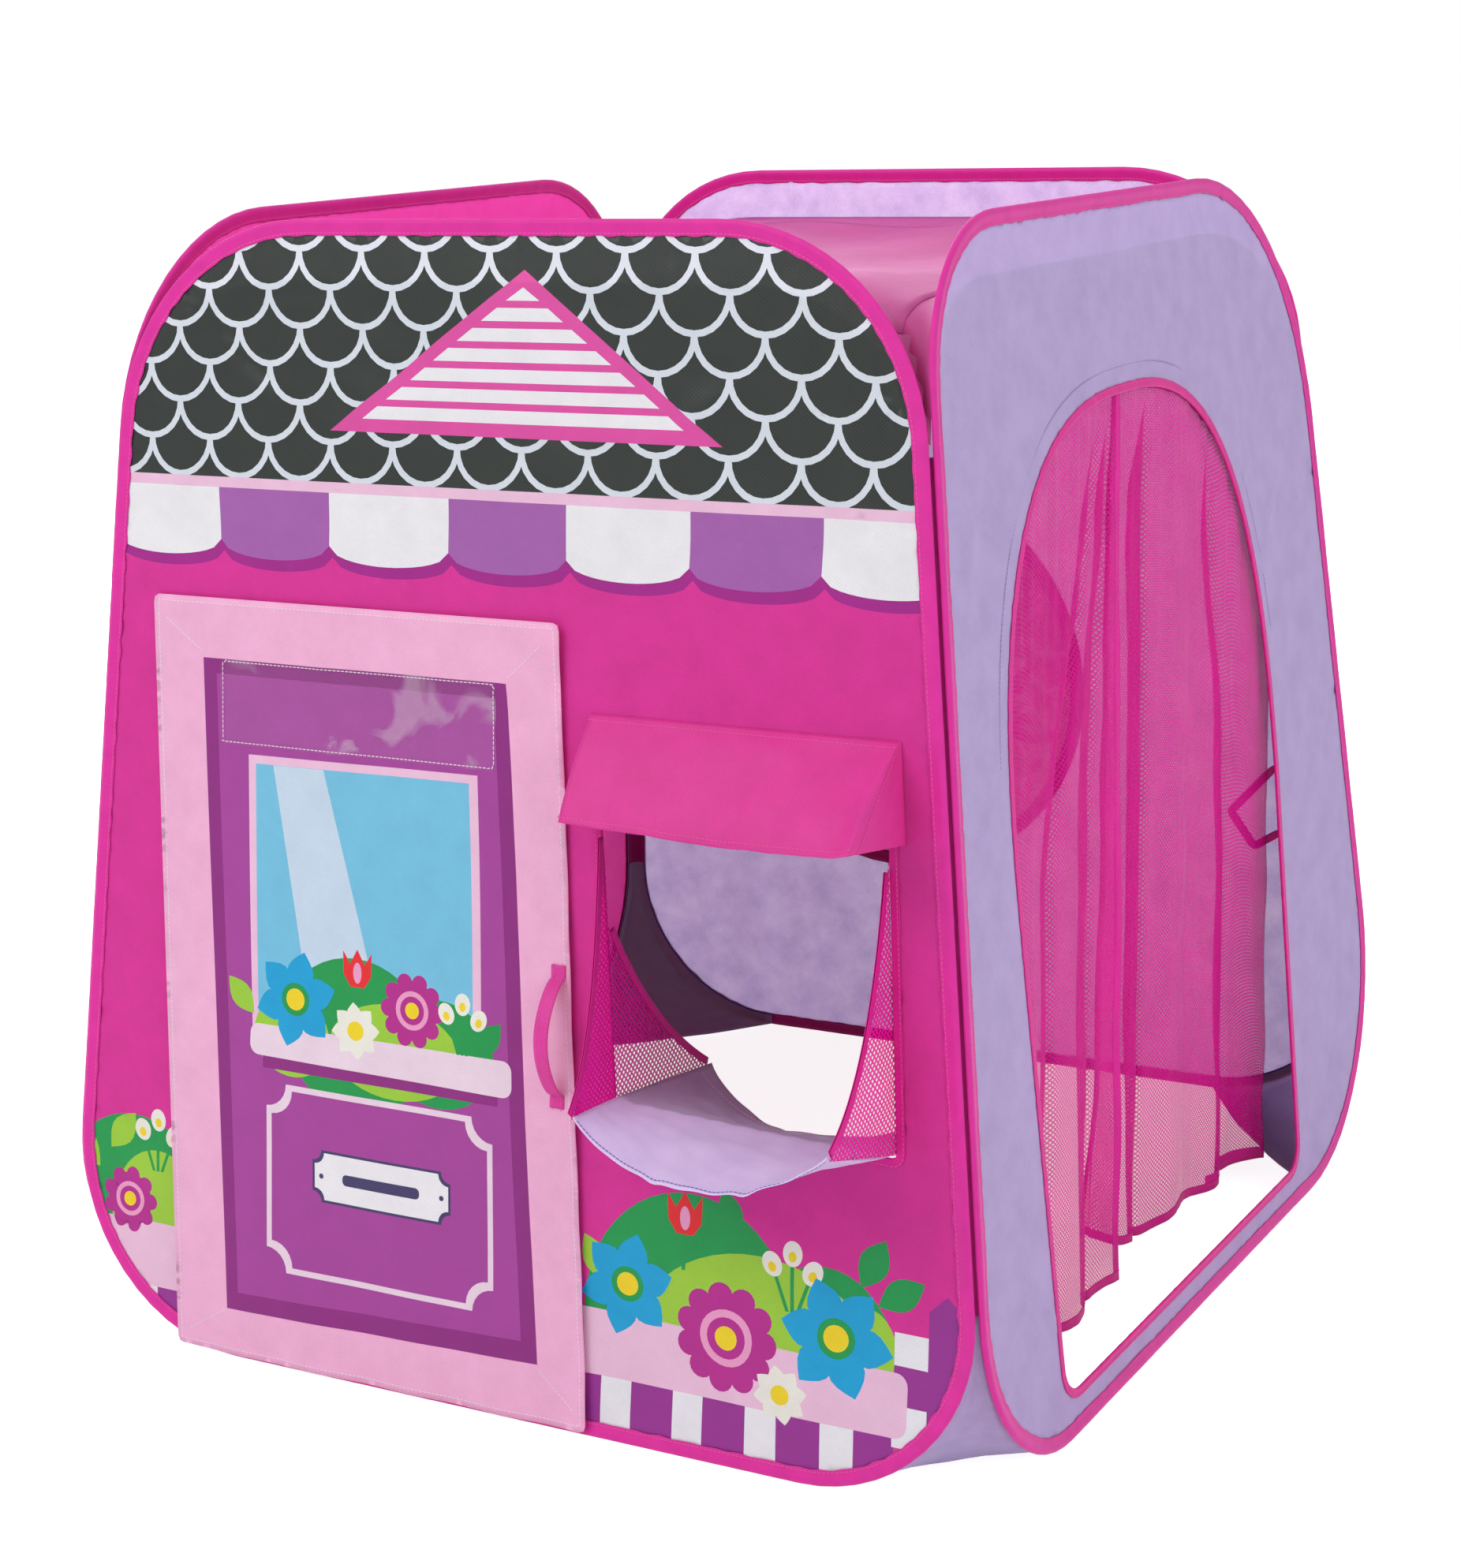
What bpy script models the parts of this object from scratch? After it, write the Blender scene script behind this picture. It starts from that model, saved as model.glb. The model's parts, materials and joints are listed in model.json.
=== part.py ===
"""A pop-up kids' play tent: four sprung wire hoops in fabric walls, a sunken roof, a door flap,
a serving counter under an awning, an arched doorway with net curtains and a clear back window."""

import math

import bmesh
import bpy
import numpy as np
from mathutils import Matrix, Vector

MM = 0.001

# Whole tent, in metres. The walls lean inward, so the roof is smaller than the footprint.
WIDTH_AT_GROUND = 1.020
DEPTH_AT_GROUND = 1.124
HEIGHT = 1.100
ROOF_SHARE = 0.808
# The counter sticks out in front, so the tent's own middle stands behind the origin
STAND_BACK = 0.0395

# Clearances between pieces that touch on the real tent
CLEARANCE = 0.3 * MM
SEAM_CLEARANCE = 0.4 * MM

# Hoops: corner radii in the order bottom left, bottom right, top right, top left, from outside
FRONT_HOOP_RADII = (0.194, 0.166, 0.203, 0.218)
RIGHT_HOOP_RADII = (0.1615, 0.2405, 0.3010, 0.1515)
BACK_HOOP_RADII = (0.190, 0.190, 0.200, 0.200)
LEFT_HOOP_RADII = (0.190, 0.190, 0.220, 0.200)
CORNER_STEPS = 8
WIRE_RADIUS = 1.25 * MM
WIRE_END_GAP = 1.0 * MM
FERRULE_WALL = 0.4 * MM
FERRULE_LENGTH = 30 * MM
FERRULE_SIDES = 16

# Binding tape folded over the wire and the edge of the wall
TAPE_THICKNESS = 0.6 * MM
SLEEVE_WIDTH = 15 * MM
SLEEVE_ROOM = 0.4 * MM
FOLD_ROOM = 1.45 * MM
FOLD_HALF_WIDTH = 1.9 * MM
SHOULDER_RISE = 0.8 * MM
SHOULDER_PAST_WIRE = 1.5 * MM
PANEL_TUCK = 5.5 * MM
PRESSED_FLAT_BELOW = 0.9 * MM

# Fabric
FABRIC = 0.8 * MM
NET = 0.6 * MM

# Bound edges of the openings
BINDING_WIDTH = 8 * MM
BINDING_FOLD = 0.9 * MM

# Counter window in the front wall: in from the right seam, up from the ground and down from the
# top. Pairs give the bottom and the top of a side, or the left and the right end of an edge.
COUNTER_MARGINS = (0.0656, 0.0540)
COUNTER_WIDTHS = (0.2820, 0.2880)
COUNTER_SILLS = (0.3215, 0.3096)
COUNTER_HEADROOM = 0.4503
COUNTER_CORNER_RADIUS = 4 * MM

# Doorway, in from the left seam and away from the counter window
DOORWAY_MARGINS = (0.1686, 0.0894)
DOORWAY_TO_COUNTER = (0.0820, 0.0624)
DOORWAY_SILL = 0.050
DOORWAY_HEADROOM = 0.3873
DOORWAY_CORNER_RADIUS = 0.030

# Flap that covers the doorway and laps over its edges
FLAP_LAP_HINGED = (0.032, 0.031)
FLAP_LAP_FREE = (0.034, 0.030)
FLAP_LAP_BELOW = 0.046
FLAP_LAP_ABOVE = 0.033
FLAP_CORNER_RADIUS = 6 * MM
FLAP_THICKNESS = 1.0 * MM
FLAP_STAND_OFF = 0.5 * MM
HINGE_SEAM_WIDTH = 12 * MM
HINGE_SEAM_END = 30 * MM

# Clear pocket on the flap, in from its upper corners
POCKET_FROM_HINGE = 0.0815
POCKET_FROM_FREE_EDGE = 0.0645
POCKET_BELOW_TOP = 0.057
POCKET_HEIGHT = 0.082
POCKET_CORNER_RADIUS = 3 * MM
POCKET_FILM = 0.3 * MM

# Webbing pull handle at the free edge of the flap
HANDLE_IN_FROM_CORNER = 0.034
HANDLE_BOTTOM = 0.308
HANDLE_TOP = 0.441
HANDLE_STAND_OFF = 0.037
HANDLE_LANDING = 12 * MM
WEBBING_WIDTH = 15 * MM
WEBBING_THICKNESS = 1.2 * MM
HANDLE_STEPS = 12

# Awning sewn above and beside the counter window, outward and up from the window's upper corners
AWNING_SEAM_ABOVE = 0.0175
AWNING_SEAM_PAST = (0.0050, 0.0105)
AWNING_FOOT_BELOW = 0.070
AWNING_FOOT_PAST = (0.012, 0.020)
AWNING_EDGE_BELOW = (0.073, 0.066)
AWNING_EDGE_PAST = (0.005, 0.014)
AWNING_EDGE_OUT = (0.060, 0.102)
AWNING_EDGE_SAG = 9 * MM
AWNING_EDGE_TUCK = 20 * MM
AWNING_SLOPE_BELLY = 6 * MM
AWNING_SIDE_STEPS = 4
AWNING_FRONT_STEPS = 12
AWNING_FALL_STEPS = 8
AWNING_PEAK_WIDTH = 2.0 * MM

# Counter cloth, sewn to the bottom of its window and slung inside and outside it
TRAY_REACH_OUT_LEFT = 0.083
TRAY_REACH_OUT_RIGHT = 0.128
TRAY_OUT_BULGE = 0.010
TRAY_REACH_IN = 0.166
TRAY_IN_HOLLOW = 0.052
TRAY_OUTER_RIGHT_RISE = 0.0284
TRAY_INNER_DROP = 3.5 * MM
TRAY_OUTER_SAG = 0.042
TRAY_INNER_SAG = 0.038
TRAY_CREST_OUT = 7 * MM
TRAY_CREST_IN = 3 * MM
TRAY_SIDE_CLEARANCE = 1.2 * MM
TRAY_STEPS_ACROSS = 12
TRAY_STEPS_OUT = 6

# Net webs that hang the counter cloth from the sides of its window
WEB_HALF_SEAM = 0.25 * MM
WEB_STAND_OFF = BINDING_FOLD + CLEARANCE + NET / 2
WEB_OUTER_TOP_SHARE = 0.752
WEB_INNER_TOP_SHARE = 0.480
WEB_FOOT = 4 * MM
WEB_OUTER_HOLLOW_SHARES = (0.30, 0.22)
WEB_INNER_HOLLOW_SHARES = (0.36, 0.34)
WEB_EDGE_STEPS = 8
WEB_TAPE_WIDTH = 8 * MM
WEB_TAPE_START_STEPS = 2
WEB_TAPE_END_STEPS = 1

# Arched doorway in the right wall, in from where its seams meet the ground and down from its top
ARCH_NEAR_MARGIN = 0.176
ARCH_FAR_MARGIN = 0.278
ARCH_FAR_FOOT_MARGIN = 0.300
ARCH_FOOT = 0.040
ARCH_SPRING = 0.480
ARCH_HEADROOM = 0.1863
ARCH_ROUNDNESS = 2.6
ARCH_FOOT_RADIUS = 0.030
ARCH_STEPS = 28

# Net curtains hung from a facing just above the arch
CURTAIN_HEADER = 0.018
CURTAIN_NEAR_WIDTH = 0.336
CURTAIN_OVERLAP = 0.045
CURTAIN_HEM_NEAR = 0.008
CURTAIN_HEM_FAR = 0.022
CURTAIN_EDGE_INSET = 4 * MM
NEAR_FOLD_COUNT = 3
FAR_FOLD_COUNT = 4
FOLD_DEPTH_TOP = 1.2 * MM
FOLD_DEPTH_HEM = 9 * MM
FAR_SHIFT_TOP = 2.5 * MM
FAR_SHIFT_HEM = 26 * MM
FAR_SHIFT_WIDTH = 0.150
CURTAIN_STEPS_ACROSS = 22
CURTAIN_STEPS_DOWN = 12

# Tie-back loop on the inside of the right wall, beyond the far curtain: heights and reach inward
TIE_PAST_ARCH = 0.023
TIE_TOP = 0.482
TIE_LOW = 0.405
TIE_TURN = (0.425, 0.060)
TIE_FOOT = (0.385, 0.036)
TIE_RADIUS = 4 * MM
TIE_WIDTH = 9 * MM
TIE_THICKNESS = 1.2 * MM

# Round window in the back wall, across from its middle and up
WINDOW_ACROSS = 0.100
WINDOW_HEIGHT = 0.500
WINDOW_RADIUS = 0.245
WINDOW_FILM = 0.4 * MM
WINDOW_SEAM = 9 * MM
WINDOW_RING_IN = 6 * MM
WINDOW_RING_OUT = 10 * MM
WINDOW_STEPS = 48

# Roof, sewn to the inside of the walls below the hoops
ROOF_DROP = 0.055
ROOF_CORNER_TUCK = 8 * MM
ROOF_SAG = 0.018
ROOF_STEPS = 16
ROOF_SETTLE_ROUNDS = 900
ROOF_STEP_AWAY_SHARES = (0.30, 0.75)

# Pieces that join neighbouring walls: a strip up the seam and a gusset between the round feet
SEAM_STRIP = 7 * MM
SEAM_STRIP_END = 10 * MM
GUSSET_TUCK = 3 * MM
GUSSET_STEPS = 8
GUSSET_ACROSS_STEPS = 4
GUSSET_HOLLOW = 0.012

FRONT, RIGHT, BACK, LEFT = "front", "right", "back", "left"
QUARTER_TURN = math.pi / 2


def clear_scene():
    for obj in list(bpy.data.objects):
        bpy.data.objects.remove(obj)


def new_collection(name):
    collection = bpy.data.collections.new(name)
    bpy.context.scene.collection.children.link(collection)
    return collection


def linear(hex_colour):
    """An sRGB hex value as linear RGBA."""
    channels = [int(hex_colour[i : i + 2], 16) / 255 for i in (1, 3, 5)]
    return [c / 12.92 if c <= 0.04045 else ((c + 0.055) / 1.055) ** 2.4 for c in channels] + [1.0]


def material(name, hex_colour, roughness, metallic=0.0):
    made = bpy.data.materials.new(name)
    made.use_nodes = True
    shader = made.node_tree.nodes["Principled BSDF"]
    shader.inputs["Base Color"].default_value = linear(hex_colour)
    shader.inputs["Roughness"].default_value = roughness
    shader.inputs["Metallic"].default_value = metallic
    return made


def mix(a, b, share):
    return a + (b - a) * share


def smooth(share):
    """An S-shaped ramp from 0 to 1."""
    share = min(1.0, max(0.0, share))
    return share * share * (3 - 2 * share)


def hump(share):
    """A parabola that is 0 at both ends and 1 in the middle."""
    return 4 * share * (1 - share)


class Wall:
    """One leaning wall: its place in the ring, its half widths and its hoop's outline."""

    def __init__(self, name, turns, half_width, set_back, radii):
        self.name = name
        self.half_bottom = half_width
        self.half_top = half_width * ROOF_SHARE
        lean = math.atan2(set_back * (1 - ROOF_SHARE), HEIGHT)
        self.slope = HEIGHT / math.cos(lean)
        stand = Matrix.Translation((0, -set_back, 0)) @ Matrix.Rotation(QUARTER_TURN - lean, 4, "X")
        middle = Matrix.Translation((0, STAND_BACK, 0))
        self.matrix = middle @ Matrix.Rotation(turns * QUARTER_TURN, 4, "Z") @ stand
        self.radii = radii

    def half_width(self, up):
        return mix(self.half_bottom, self.half_top, up / self.slope)

    def from_left(self, margin, up):
        """A place in from the wall's left seam, at a height up it."""
        return (margin - self.half_width(up), up)

    def from_right(self, margin, up):
        return (self.half_width(up) - margin, up)

    def corners(self):
        bottom, top = self.half_bottom - SEAM_CLEARANCE, self.half_top - SEAM_CLEARANCE
        return [(-bottom, 0), (bottom, 0), (top, self.slope), (-top, self.slope)]

    def outline(self):
        return rounded(self.corners(), self.radii, CORNER_STEPS)

    def point(self, across, up, out):
        return self.matrix @ Vector((across, up, out))


WALLS = {
    FRONT: Wall(FRONT, 0, WIDTH_AT_GROUND / 2, DEPTH_AT_GROUND / 2, FRONT_HOOP_RADII),
    RIGHT: Wall(RIGHT, 1, DEPTH_AT_GROUND / 2, WIDTH_AT_GROUND / 2, RIGHT_HOOP_RADII),
    BACK: Wall(BACK, 2, WIDTH_AT_GROUND / 2, DEPTH_AT_GROUND / 2, BACK_HOOP_RADII),
    LEFT: Wall(LEFT, 3, DEPTH_AT_GROUND / 2, WIDTH_AT_GROUND / 2, LEFT_HOOP_RADII),
}


FRONT_WALL, RIGHT_WALL = WALLS[FRONT], WALLS[RIGHT]


def beside(corner, across, up):
    return (corner[0] + across, corner[1] + up)


def counter_corners():
    """The counter window's corners, from the bottom left round to the top left."""
    top = FRONT_WALL.slope - COUNTER_HEADROOM
    places = []
    for level, heights in enumerate((COUNTER_SILLS, (top, top))):
        margin = COUNTER_MARGINS[level]
        left = FRONT_WALL.from_right(margin + COUNTER_WIDTHS[level], heights[0])
        right = FRONT_WALL.from_right(margin, heights[1])
        places += [left, right] if level == 0 else [right, left]
    return places


def doorway_corners():
    """The doorway's corners, from the bottom left round to the top left."""
    heights = (DOORWAY_SILL, FRONT_WALL.slope - DOORWAY_HEADROOM)
    places = []
    for level, up in enumerate(heights):
        beyond = COUNTER_MARGINS[level] + COUNTER_WIDTHS[level] + DOORWAY_TO_COUNTER[level]
        left = FRONT_WALL.from_left(DOORWAY_MARGINS[level], up)
        right = FRONT_WALL.from_right(beyond, up)
        places += [left, right] if level == 0 else [right, left]
    return places


def flap_corners():
    """The door flap's corners, which lap over the doorway's."""
    bottom_left, bottom_right, top_right, top_left = DOORWAY
    return [
        beside(bottom_left, -FLAP_LAP_HINGED[0], -FLAP_LAP_BELOW),
        beside(bottom_right, FLAP_LAP_FREE[0], -FLAP_LAP_BELOW),
        beside(top_right, FLAP_LAP_FREE[1], FLAP_LAP_ABOVE),
        beside(top_left, -FLAP_LAP_HINGED[1], FLAP_LAP_ABOVE),
    ]


COUNTER_BOTTOM_LEFT, COUNTER_BOTTOM_RIGHT, COUNTER_TOP_RIGHT, COUNTER_TOP_LEFT = counter_corners()
DOORWAY = doorway_corners()
FLAP_BOTTOM_LEFT, FLAP_BOTTOM_RIGHT, FLAP_TOP_RIGHT, FLAP_TOP_LEFT = flap_corners()
ARCH_NEAR = RIGHT_WALL.from_left(ARCH_NEAR_MARGIN, 0)[0]
ARCH_FAR = RIGHT_WALL.from_right(ARCH_FAR_MARGIN, 0)[0]
ARCH_FAR_FOOT = RIGHT_WALL.from_right(ARCH_FAR_FOOT_MARGIN, 0)[0]
ARCH_TOP = RIGHT_WALL.slope - ARCH_HEADROOM
CURTAIN_SPLIT = ARCH_NEAR + CURTAIN_NEAR_WIDTH


def rounded(corners, radii, steps):
    """The points of a polygon, anticlockwise, with each corner an arc."""
    points = []
    for index, corner in enumerate(corners):
        here = Vector(corner)
        back = (Vector(corners[index - 1]) - here).normalized()
        ahead = (Vector(corners[(index + 1) % len(corners)]) - here).normalized()
        half = back.angle(ahead) / 2
        centre = here + (back + ahead).normalized() * radii[index] / math.sin(half)
        start = here + back * radii[index] / math.tan(half) - centre
        sweep = math.pi - 2 * half
        for step in range(steps + 1):
            turn = Matrix.Rotation(sweep * step / steps, 2)
            points.append(tuple(centre + turn @ start))
    return points


def inset(points, depth, closed=True):
    """The same outline moved to its left by a depth, one for all points or one for each."""
    depths = depth if hasattr(depth, "__len__") else [depth] * len(points)
    moved = []
    for index, point in enumerate(points):
        here = Vector(point)
        last = Vector(points[index - 1]) if closed or index else here
        at_end = index == len(points) - 1 and not closed
        after = here if at_end else Vector(points[(index + 1) % len(points)])
        arriving = (here - last).normalized() if (here - last).length else (after - here).normalized()
        leaving = (after - here).normalized() if (after - here).length else arriving
        along = (arriving + leaving).normalized()
        left = Vector((-along.y, along.x))
        stretch = max(arriving.dot(along), math.sqrt(0.5))
        moved.append(tuple(here + left * depths[index] / stretch))
    return moved


def hull_profile():
    """Half thicknesses and depths of the sleeve, worked out from the wire outward."""
    ferrule = WIRE_RADIUS + CLEARANCE + FERRULE_WALL
    wire_depth = TAPE_THICKNESS + FOLD_ROOM + ferrule
    belly = ferrule + SLEEVE_ROOM
    leg = FABRIC / 2 + CLEARANCE
    shoulder_depth = wire_depth + ferrule + SHOULDER_PAST_WIRE
    shoulder = leg + SHOULDER_RISE
    return ferrule, wire_depth, belly, leg, shoulder_depth, shoulder


FERRULE_RADIUS, WIRE_DEPTH, BELLY, LEG, SHOULDER_DEPTH, SHOULDER = hull_profile()
SLEEVE_MIDDLE = CLEARANCE + BELLY + TAPE_THICKNESS
PANEL_EDGE = SLEEVE_WIDTH - PANEL_TUCK
FLAP_BACK = SLEEVE_MIDDLE + BELLY + TAPE_THICKNESS + FLAP_STAND_OFF
FLAP_FACE = FLAP_BACK + FLAP_THICKNESS
WALL_FACE = SLEEVE_MIDDLE + FABRIC / 2
WALL_INSIDE = SLEEVE_MIDDLE - FABRIC / 2


def sleeve_profile():
    """The folded tape around the wire, open towards the wall: depth inward and height."""
    outer = [
        (SLEEVE_WIDTH, LEG + TAPE_THICKNESS),
        (SHOULDER_DEPTH, SHOULDER + TAPE_THICKNESS),
        (WIRE_DEPTH, BELLY + TAPE_THICKNESS),
        (0, FOLD_HALF_WIDTH),
    ]
    inner = [
        (TAPE_THICKNESS, FOLD_HALF_WIDTH - TAPE_THICKNESS),
        (WIRE_DEPTH, BELLY),
        (SHOULDER_DEPTH, SHOULDER),
        (SLEEVE_WIDTH, LEG),
    ]
    outer_below = [(depth, -height) for depth, height in outer[::-1]]
    inner_below = [(depth, -height) for depth, height in inner[::-1]]
    return (outer + outer_below + inner_below + inner)[::-1]


def edge_profile(width, room):
    """A narrow tape folded over an edge: depth back from the edge and height."""
    outer = room + TAPE_THICKNESS
    fold, inside = -BINDING_FOLD, -CLEARANCE
    return [
        (width, outer),
        (fold, outer),
        (fold, -outer),
        (width, -outer),
        (width, -room),
        (inside, -room),
        (inside, room),
        (width, room),
    ]


class Builder:
    """Makes the named pieces and hangs each from the empty on its joint's axis."""

    def __init__(self):
        self.parts = new_collection("play_tent")
        self.guides = new_collection("play_tent_guides")
        self.empties = {}

    def empty(self, name, bottom, top, parent=None):
        """An empty whose Z runs along a joint's axis, from one point towards another."""
        bottom = Vector(bottom)
        axis = (Vector(top) - bottom).normalized()
        world = Matrix.Translation(bottom) @ axis.to_track_quat("Z", "Y").to_matrix().to_4x4()
        made = bpy.data.objects.new(name, None)
        self.parts.objects.link(made)
        if parent:
            made.parent = self.empties[parent]
            made.matrix_parent_inverse = self.empties[parent].matrix_world.inverted()
        made.matrix_basis = world
        bpy.context.view_layer.update()
        self.empties[name] = made

    def guide(self, name, points):
        """A closed profile to sweep along a path."""
        curve = flat_curve(name, [points])
        made = bpy.data.objects.new(name, curve)
        made.hide_render = True
        made.display_type = "WIRE"
        self.guides.objects.link(made)
        return made

    def finish(self, name, data, matrix, parent, look):
        made = bpy.data.objects.new(name, data)
        self.parts.objects.link(made)
        data.materials.append(look)
        if parent:
            made.parent = self.empties[parent]
            made.matrix_parent_inverse = self.empties[parent].matrix_world.inverted()
        made.matrix_basis = matrix
        return made

    def flat(self, name, outlines, thickness, matrix, parent, look):
        """A flat outline, with holes if more loops follow, and a thickness about its plane."""
        curve = flat_curve(name, outlines)
        curve.fill_mode = "BOTH"
        curve.extrude = thickness / 2
        return self.finish(name, curve, matrix, parent, look)

    def sweep(self, name, path, profile, matrix, parent, look, closed=True):
        """A profile swept along a flat path: depth goes inward of a loop, or right of an open run."""
        curve = flat_curve(name, [path], closed)
        curve.fill_mode = "NONE"
        curve.bevel_mode = "OBJECT"
        curve.bevel_object = profile
        curve.use_fill_caps = not closed
        return self.finish(name, curve, matrix, parent, look)

    def cloth(self, name, across, down, shape, thickness, matrix, parent, look):
        """A sheet whose points come from shape(share across, share down), given its thickness."""
        sheet = bmesh.new()
        bmesh.ops.create_grid(sheet, x_segments=across, y_segments=down, size=1.0)
        for vertex in sheet.verts:
            vertex.co = shape((vertex.co.x + 1) / 2, (1 - vertex.co.y) / 2)
        bmesh.ops.remove_doubles(sheet, verts=sheet.verts, dist=CLEARANCE / 3)
        mesh = bpy.data.meshes.new(name)
        sheet.to_mesh(mesh)
        sheet.free()
        mesh.shade_smooth()
        made = self.finish(name, mesh, matrix, parent, look)
        shell = made.modifiers.new("cloth thickness", "SOLIDIFY")
        shell.thickness = thickness
        shell.offset = 0.0
        shell.use_even_offset = False
        return made


def flat_curve(name, outlines, closed=True):
    curve = bpy.data.curves.new(name, "CURVE")
    curve.dimensions = "2D"
    for outline in outlines:
        spline = curve.splines.new("POLY")
        spline.points.add(len(outline) - 1)
        for target, point in zip(spline.points, outline):
            target.co = (point[0], point[1], 0, 1)
        spline.use_cyclic_u = closed
    return curve


def at_height(wall, height):
    """A wall's plane moved outward to a height above it."""
    return wall.matrix @ Matrix.Translation((0, 0, height))


def stood_up(across):
    """A plane square to a wall at a place across it: its X runs up the wall and its Y outward."""
    return Matrix(((0, 0, 1, across), (1, 0, 0, 0), (0, 1, 0, 0), (0, 0, 0, 1)))


def looks():
    return {
        "lilac": material("lilac non-woven fabric", "#B5A3D2", 0.85),
        "pink": material("pink non-woven fabric", "#D0359A", 0.85),
        "print": material("pink printed fabric", "#CF2C92", 0.8),
        "binding": material("pink binding tape", "#D6309B", 0.7),
        "magenta": material("magenta edge tape", "#D8118F", 0.7),
        "door": material("light pink fabric", "#F0B4D2", 0.85),
        "net": material("pink net", "#E0559F", 0.9),
        "clear": material("clear film", "#E8EEF4", 0.1),
        "wire": material("spring steel", "#9A9CA0", 0.35, 1.0),
        "ferrule": material("crimped steel", "#B8BABD", 0.3, 1.0),
        "webbing": material("pink webbing", "#DB3C9C", 0.75),
    }


def make_hoop(build, wall, parent, look):
    """The wire in its sleeve, with the ferrule that joins its ends under the bottom run."""
    outline = wall.outline()
    middle = at_height(wall, SLEEVE_MIDDLE)
    build.sweep(f"{wall.name}_hoop_sleeve", outline, build.sleeve, middle, parent, look["binding"])
    press_flat(build, wall, parent, look["binding"])

    ring = inset(outline, WIRE_DEPTH)
    start_after = CORNER_STEPS + 1
    run = ring[start_after:] + ring[:start_after]
    half_gap = WIRE_END_GAP / 2
    path = [(half_gap, WIRE_DEPTH)] + run + [(-half_gap, WIRE_DEPTH)]
    curve = flat_curve(f"{wall.name}_hoop_wire", [path], closed=False)
    curve.dimensions = "3D"
    curve.bevel_depth = WIRE_RADIUS
    curve.bevel_resolution = 1
    curve.use_fill_caps = True
    build.finish(curve.name, curve, middle, parent, look["wire"])

    tube = bmesh.new()
    bmesh.ops.create_cone(
        tube,
        cap_ends=False,
        segments=FERRULE_SIDES,
        radius1=FERRULE_RADIUS,
        radius2=FERRULE_RADIUS,
        depth=FERRULE_LENGTH,
    )
    mesh = bpy.data.meshes.new(f"{wall.name}_hoop_ferrule")
    tube.to_mesh(mesh)
    tube.free()
    mesh.shade_smooth()
    lie = Matrix.Translation((0, WIRE_DEPTH, 0)) @ Matrix.Rotation(QUARTER_TURN, 4, "Y")
    made = build.finish(mesh.name, mesh, middle @ lie, parent, look["ferrule"])
    shell = made.modifiers.new("tube wall", "SOLIDIFY")
    shell.thickness = FERRULE_WALL
    shell.offset = -1.0


def press_flat(build, wall, parent, look):
    """Makes the sleeve a mesh and flattens the underside that the tent stands on."""
    name = f"{wall.name}_hoop_sleeve"
    swept = bpy.data.objects[name]
    bpy.context.view_layer.update()
    mesh = bpy.data.meshes.new_from_object(swept.evaluated_get(bpy.context.evaluated_depsgraph_get()))
    matrix = swept.matrix_world.copy()
    bpy.data.objects.remove(swept)
    shape = bmesh.new()
    shape.from_mesh(mesh)
    bmesh.ops.remove_doubles(shape, verts=shape.verts, dist=CLEARANCE / 10)
    back = matrix.inverted()
    for vertex in shape.verts:
        world = matrix @ vertex.co
        if world.z < PRESSED_FLAT_BELOW:
            world.z = 0
            vertex.co = back @ world
    shape.to_mesh(mesh)
    shape.free()
    mesh.name = name
    mesh.materials.clear()
    build.finish(name, mesh, matrix, parent, look)


def make_wall(build, wall, holes, parent, look):
    """The fabric of a wall, its edge tucked into the sleeve."""
    outlines = [inset(wall.outline(), PANEL_EDGE)] + holes
    build.flat(f"{wall.name}_wall", outlines, FABRIC, at_height(wall, SLEEVE_MIDDLE), parent, look)


def bind_opening(build, name, opening, wall, parent, look):
    """Tape folded over the edge of an opening."""
    build.sweep(name, opening, build.edge, at_height(wall, SLEEVE_MIDDLE), parent, look)


def doorway():
    return rounded(DOORWAY, [DOORWAY_CORNER_RADIUS] * len(DOORWAY), CORNER_STEPS // 2)


def counter_window():
    corners = [COUNTER_BOTTOM_LEFT, COUNTER_BOTTOM_RIGHT, COUNTER_TOP_RIGHT, COUNTER_TOP_LEFT]
    return rounded(corners, [COUNTER_CORNER_RADIUS] * len(corners), CORNER_STEPS // 2)


def arch_middle():
    return (ARCH_NEAR + ARCH_FAR) / 2, (ARCH_FAR - ARCH_NEAR) / 2


def arch_height(across, outward=0.0):
    """How high the arch, or a line further out around it, stands at a place across it."""
    middle, half = arch_middle()
    away = min(1.0, abs(across - middle) / (half + outward))
    rise = ARCH_TOP - ARCH_SPRING + outward
    return ARCH_SPRING + rise * (1 - away**ARCH_ROUNDNESS) ** (1 / ARCH_ROUNDNESS)


def arch():
    """The arched doorway: straight sides with round feet under a full, squarish arch."""
    corners = [
        (ARCH_NEAR, ARCH_FOOT),
        (ARCH_FAR_FOOT, ARCH_FOOT),
        (ARCH_FAR, ARCH_SPRING),
        (ARCH_NEAR, ARCH_SPRING),
    ]
    feet = rounded(corners, [ARCH_FOOT_RADIUS] * len(corners), CORNER_STEPS // 2)
    feet = feet[: 2 * (CORNER_STEPS // 2 + 1)]
    middle, half = arch_middle()
    rise = ARCH_TOP - ARCH_SPRING
    curve = []
    for step in range(ARCH_STEPS + 1):
        angle = math.pi * step / ARCH_STEPS
        side = math.copysign(abs(math.cos(angle)) ** (2 / ARCH_ROUNDNESS), math.cos(angle))
        up = abs(math.sin(angle)) ** (2 / ARCH_ROUNDNESS)
        curve.append((middle + half * side, ARCH_SPRING + rise * up))
    return feet + curve


def window_circle(radius):
    turns = [2 * math.pi * step / WINDOW_STEPS for step in range(WINDOW_STEPS)]
    return [(WINDOW_ACROSS + radius * math.cos(t), WINDOW_HEIGHT + radius * math.sin(t)) for t in turns]


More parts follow.
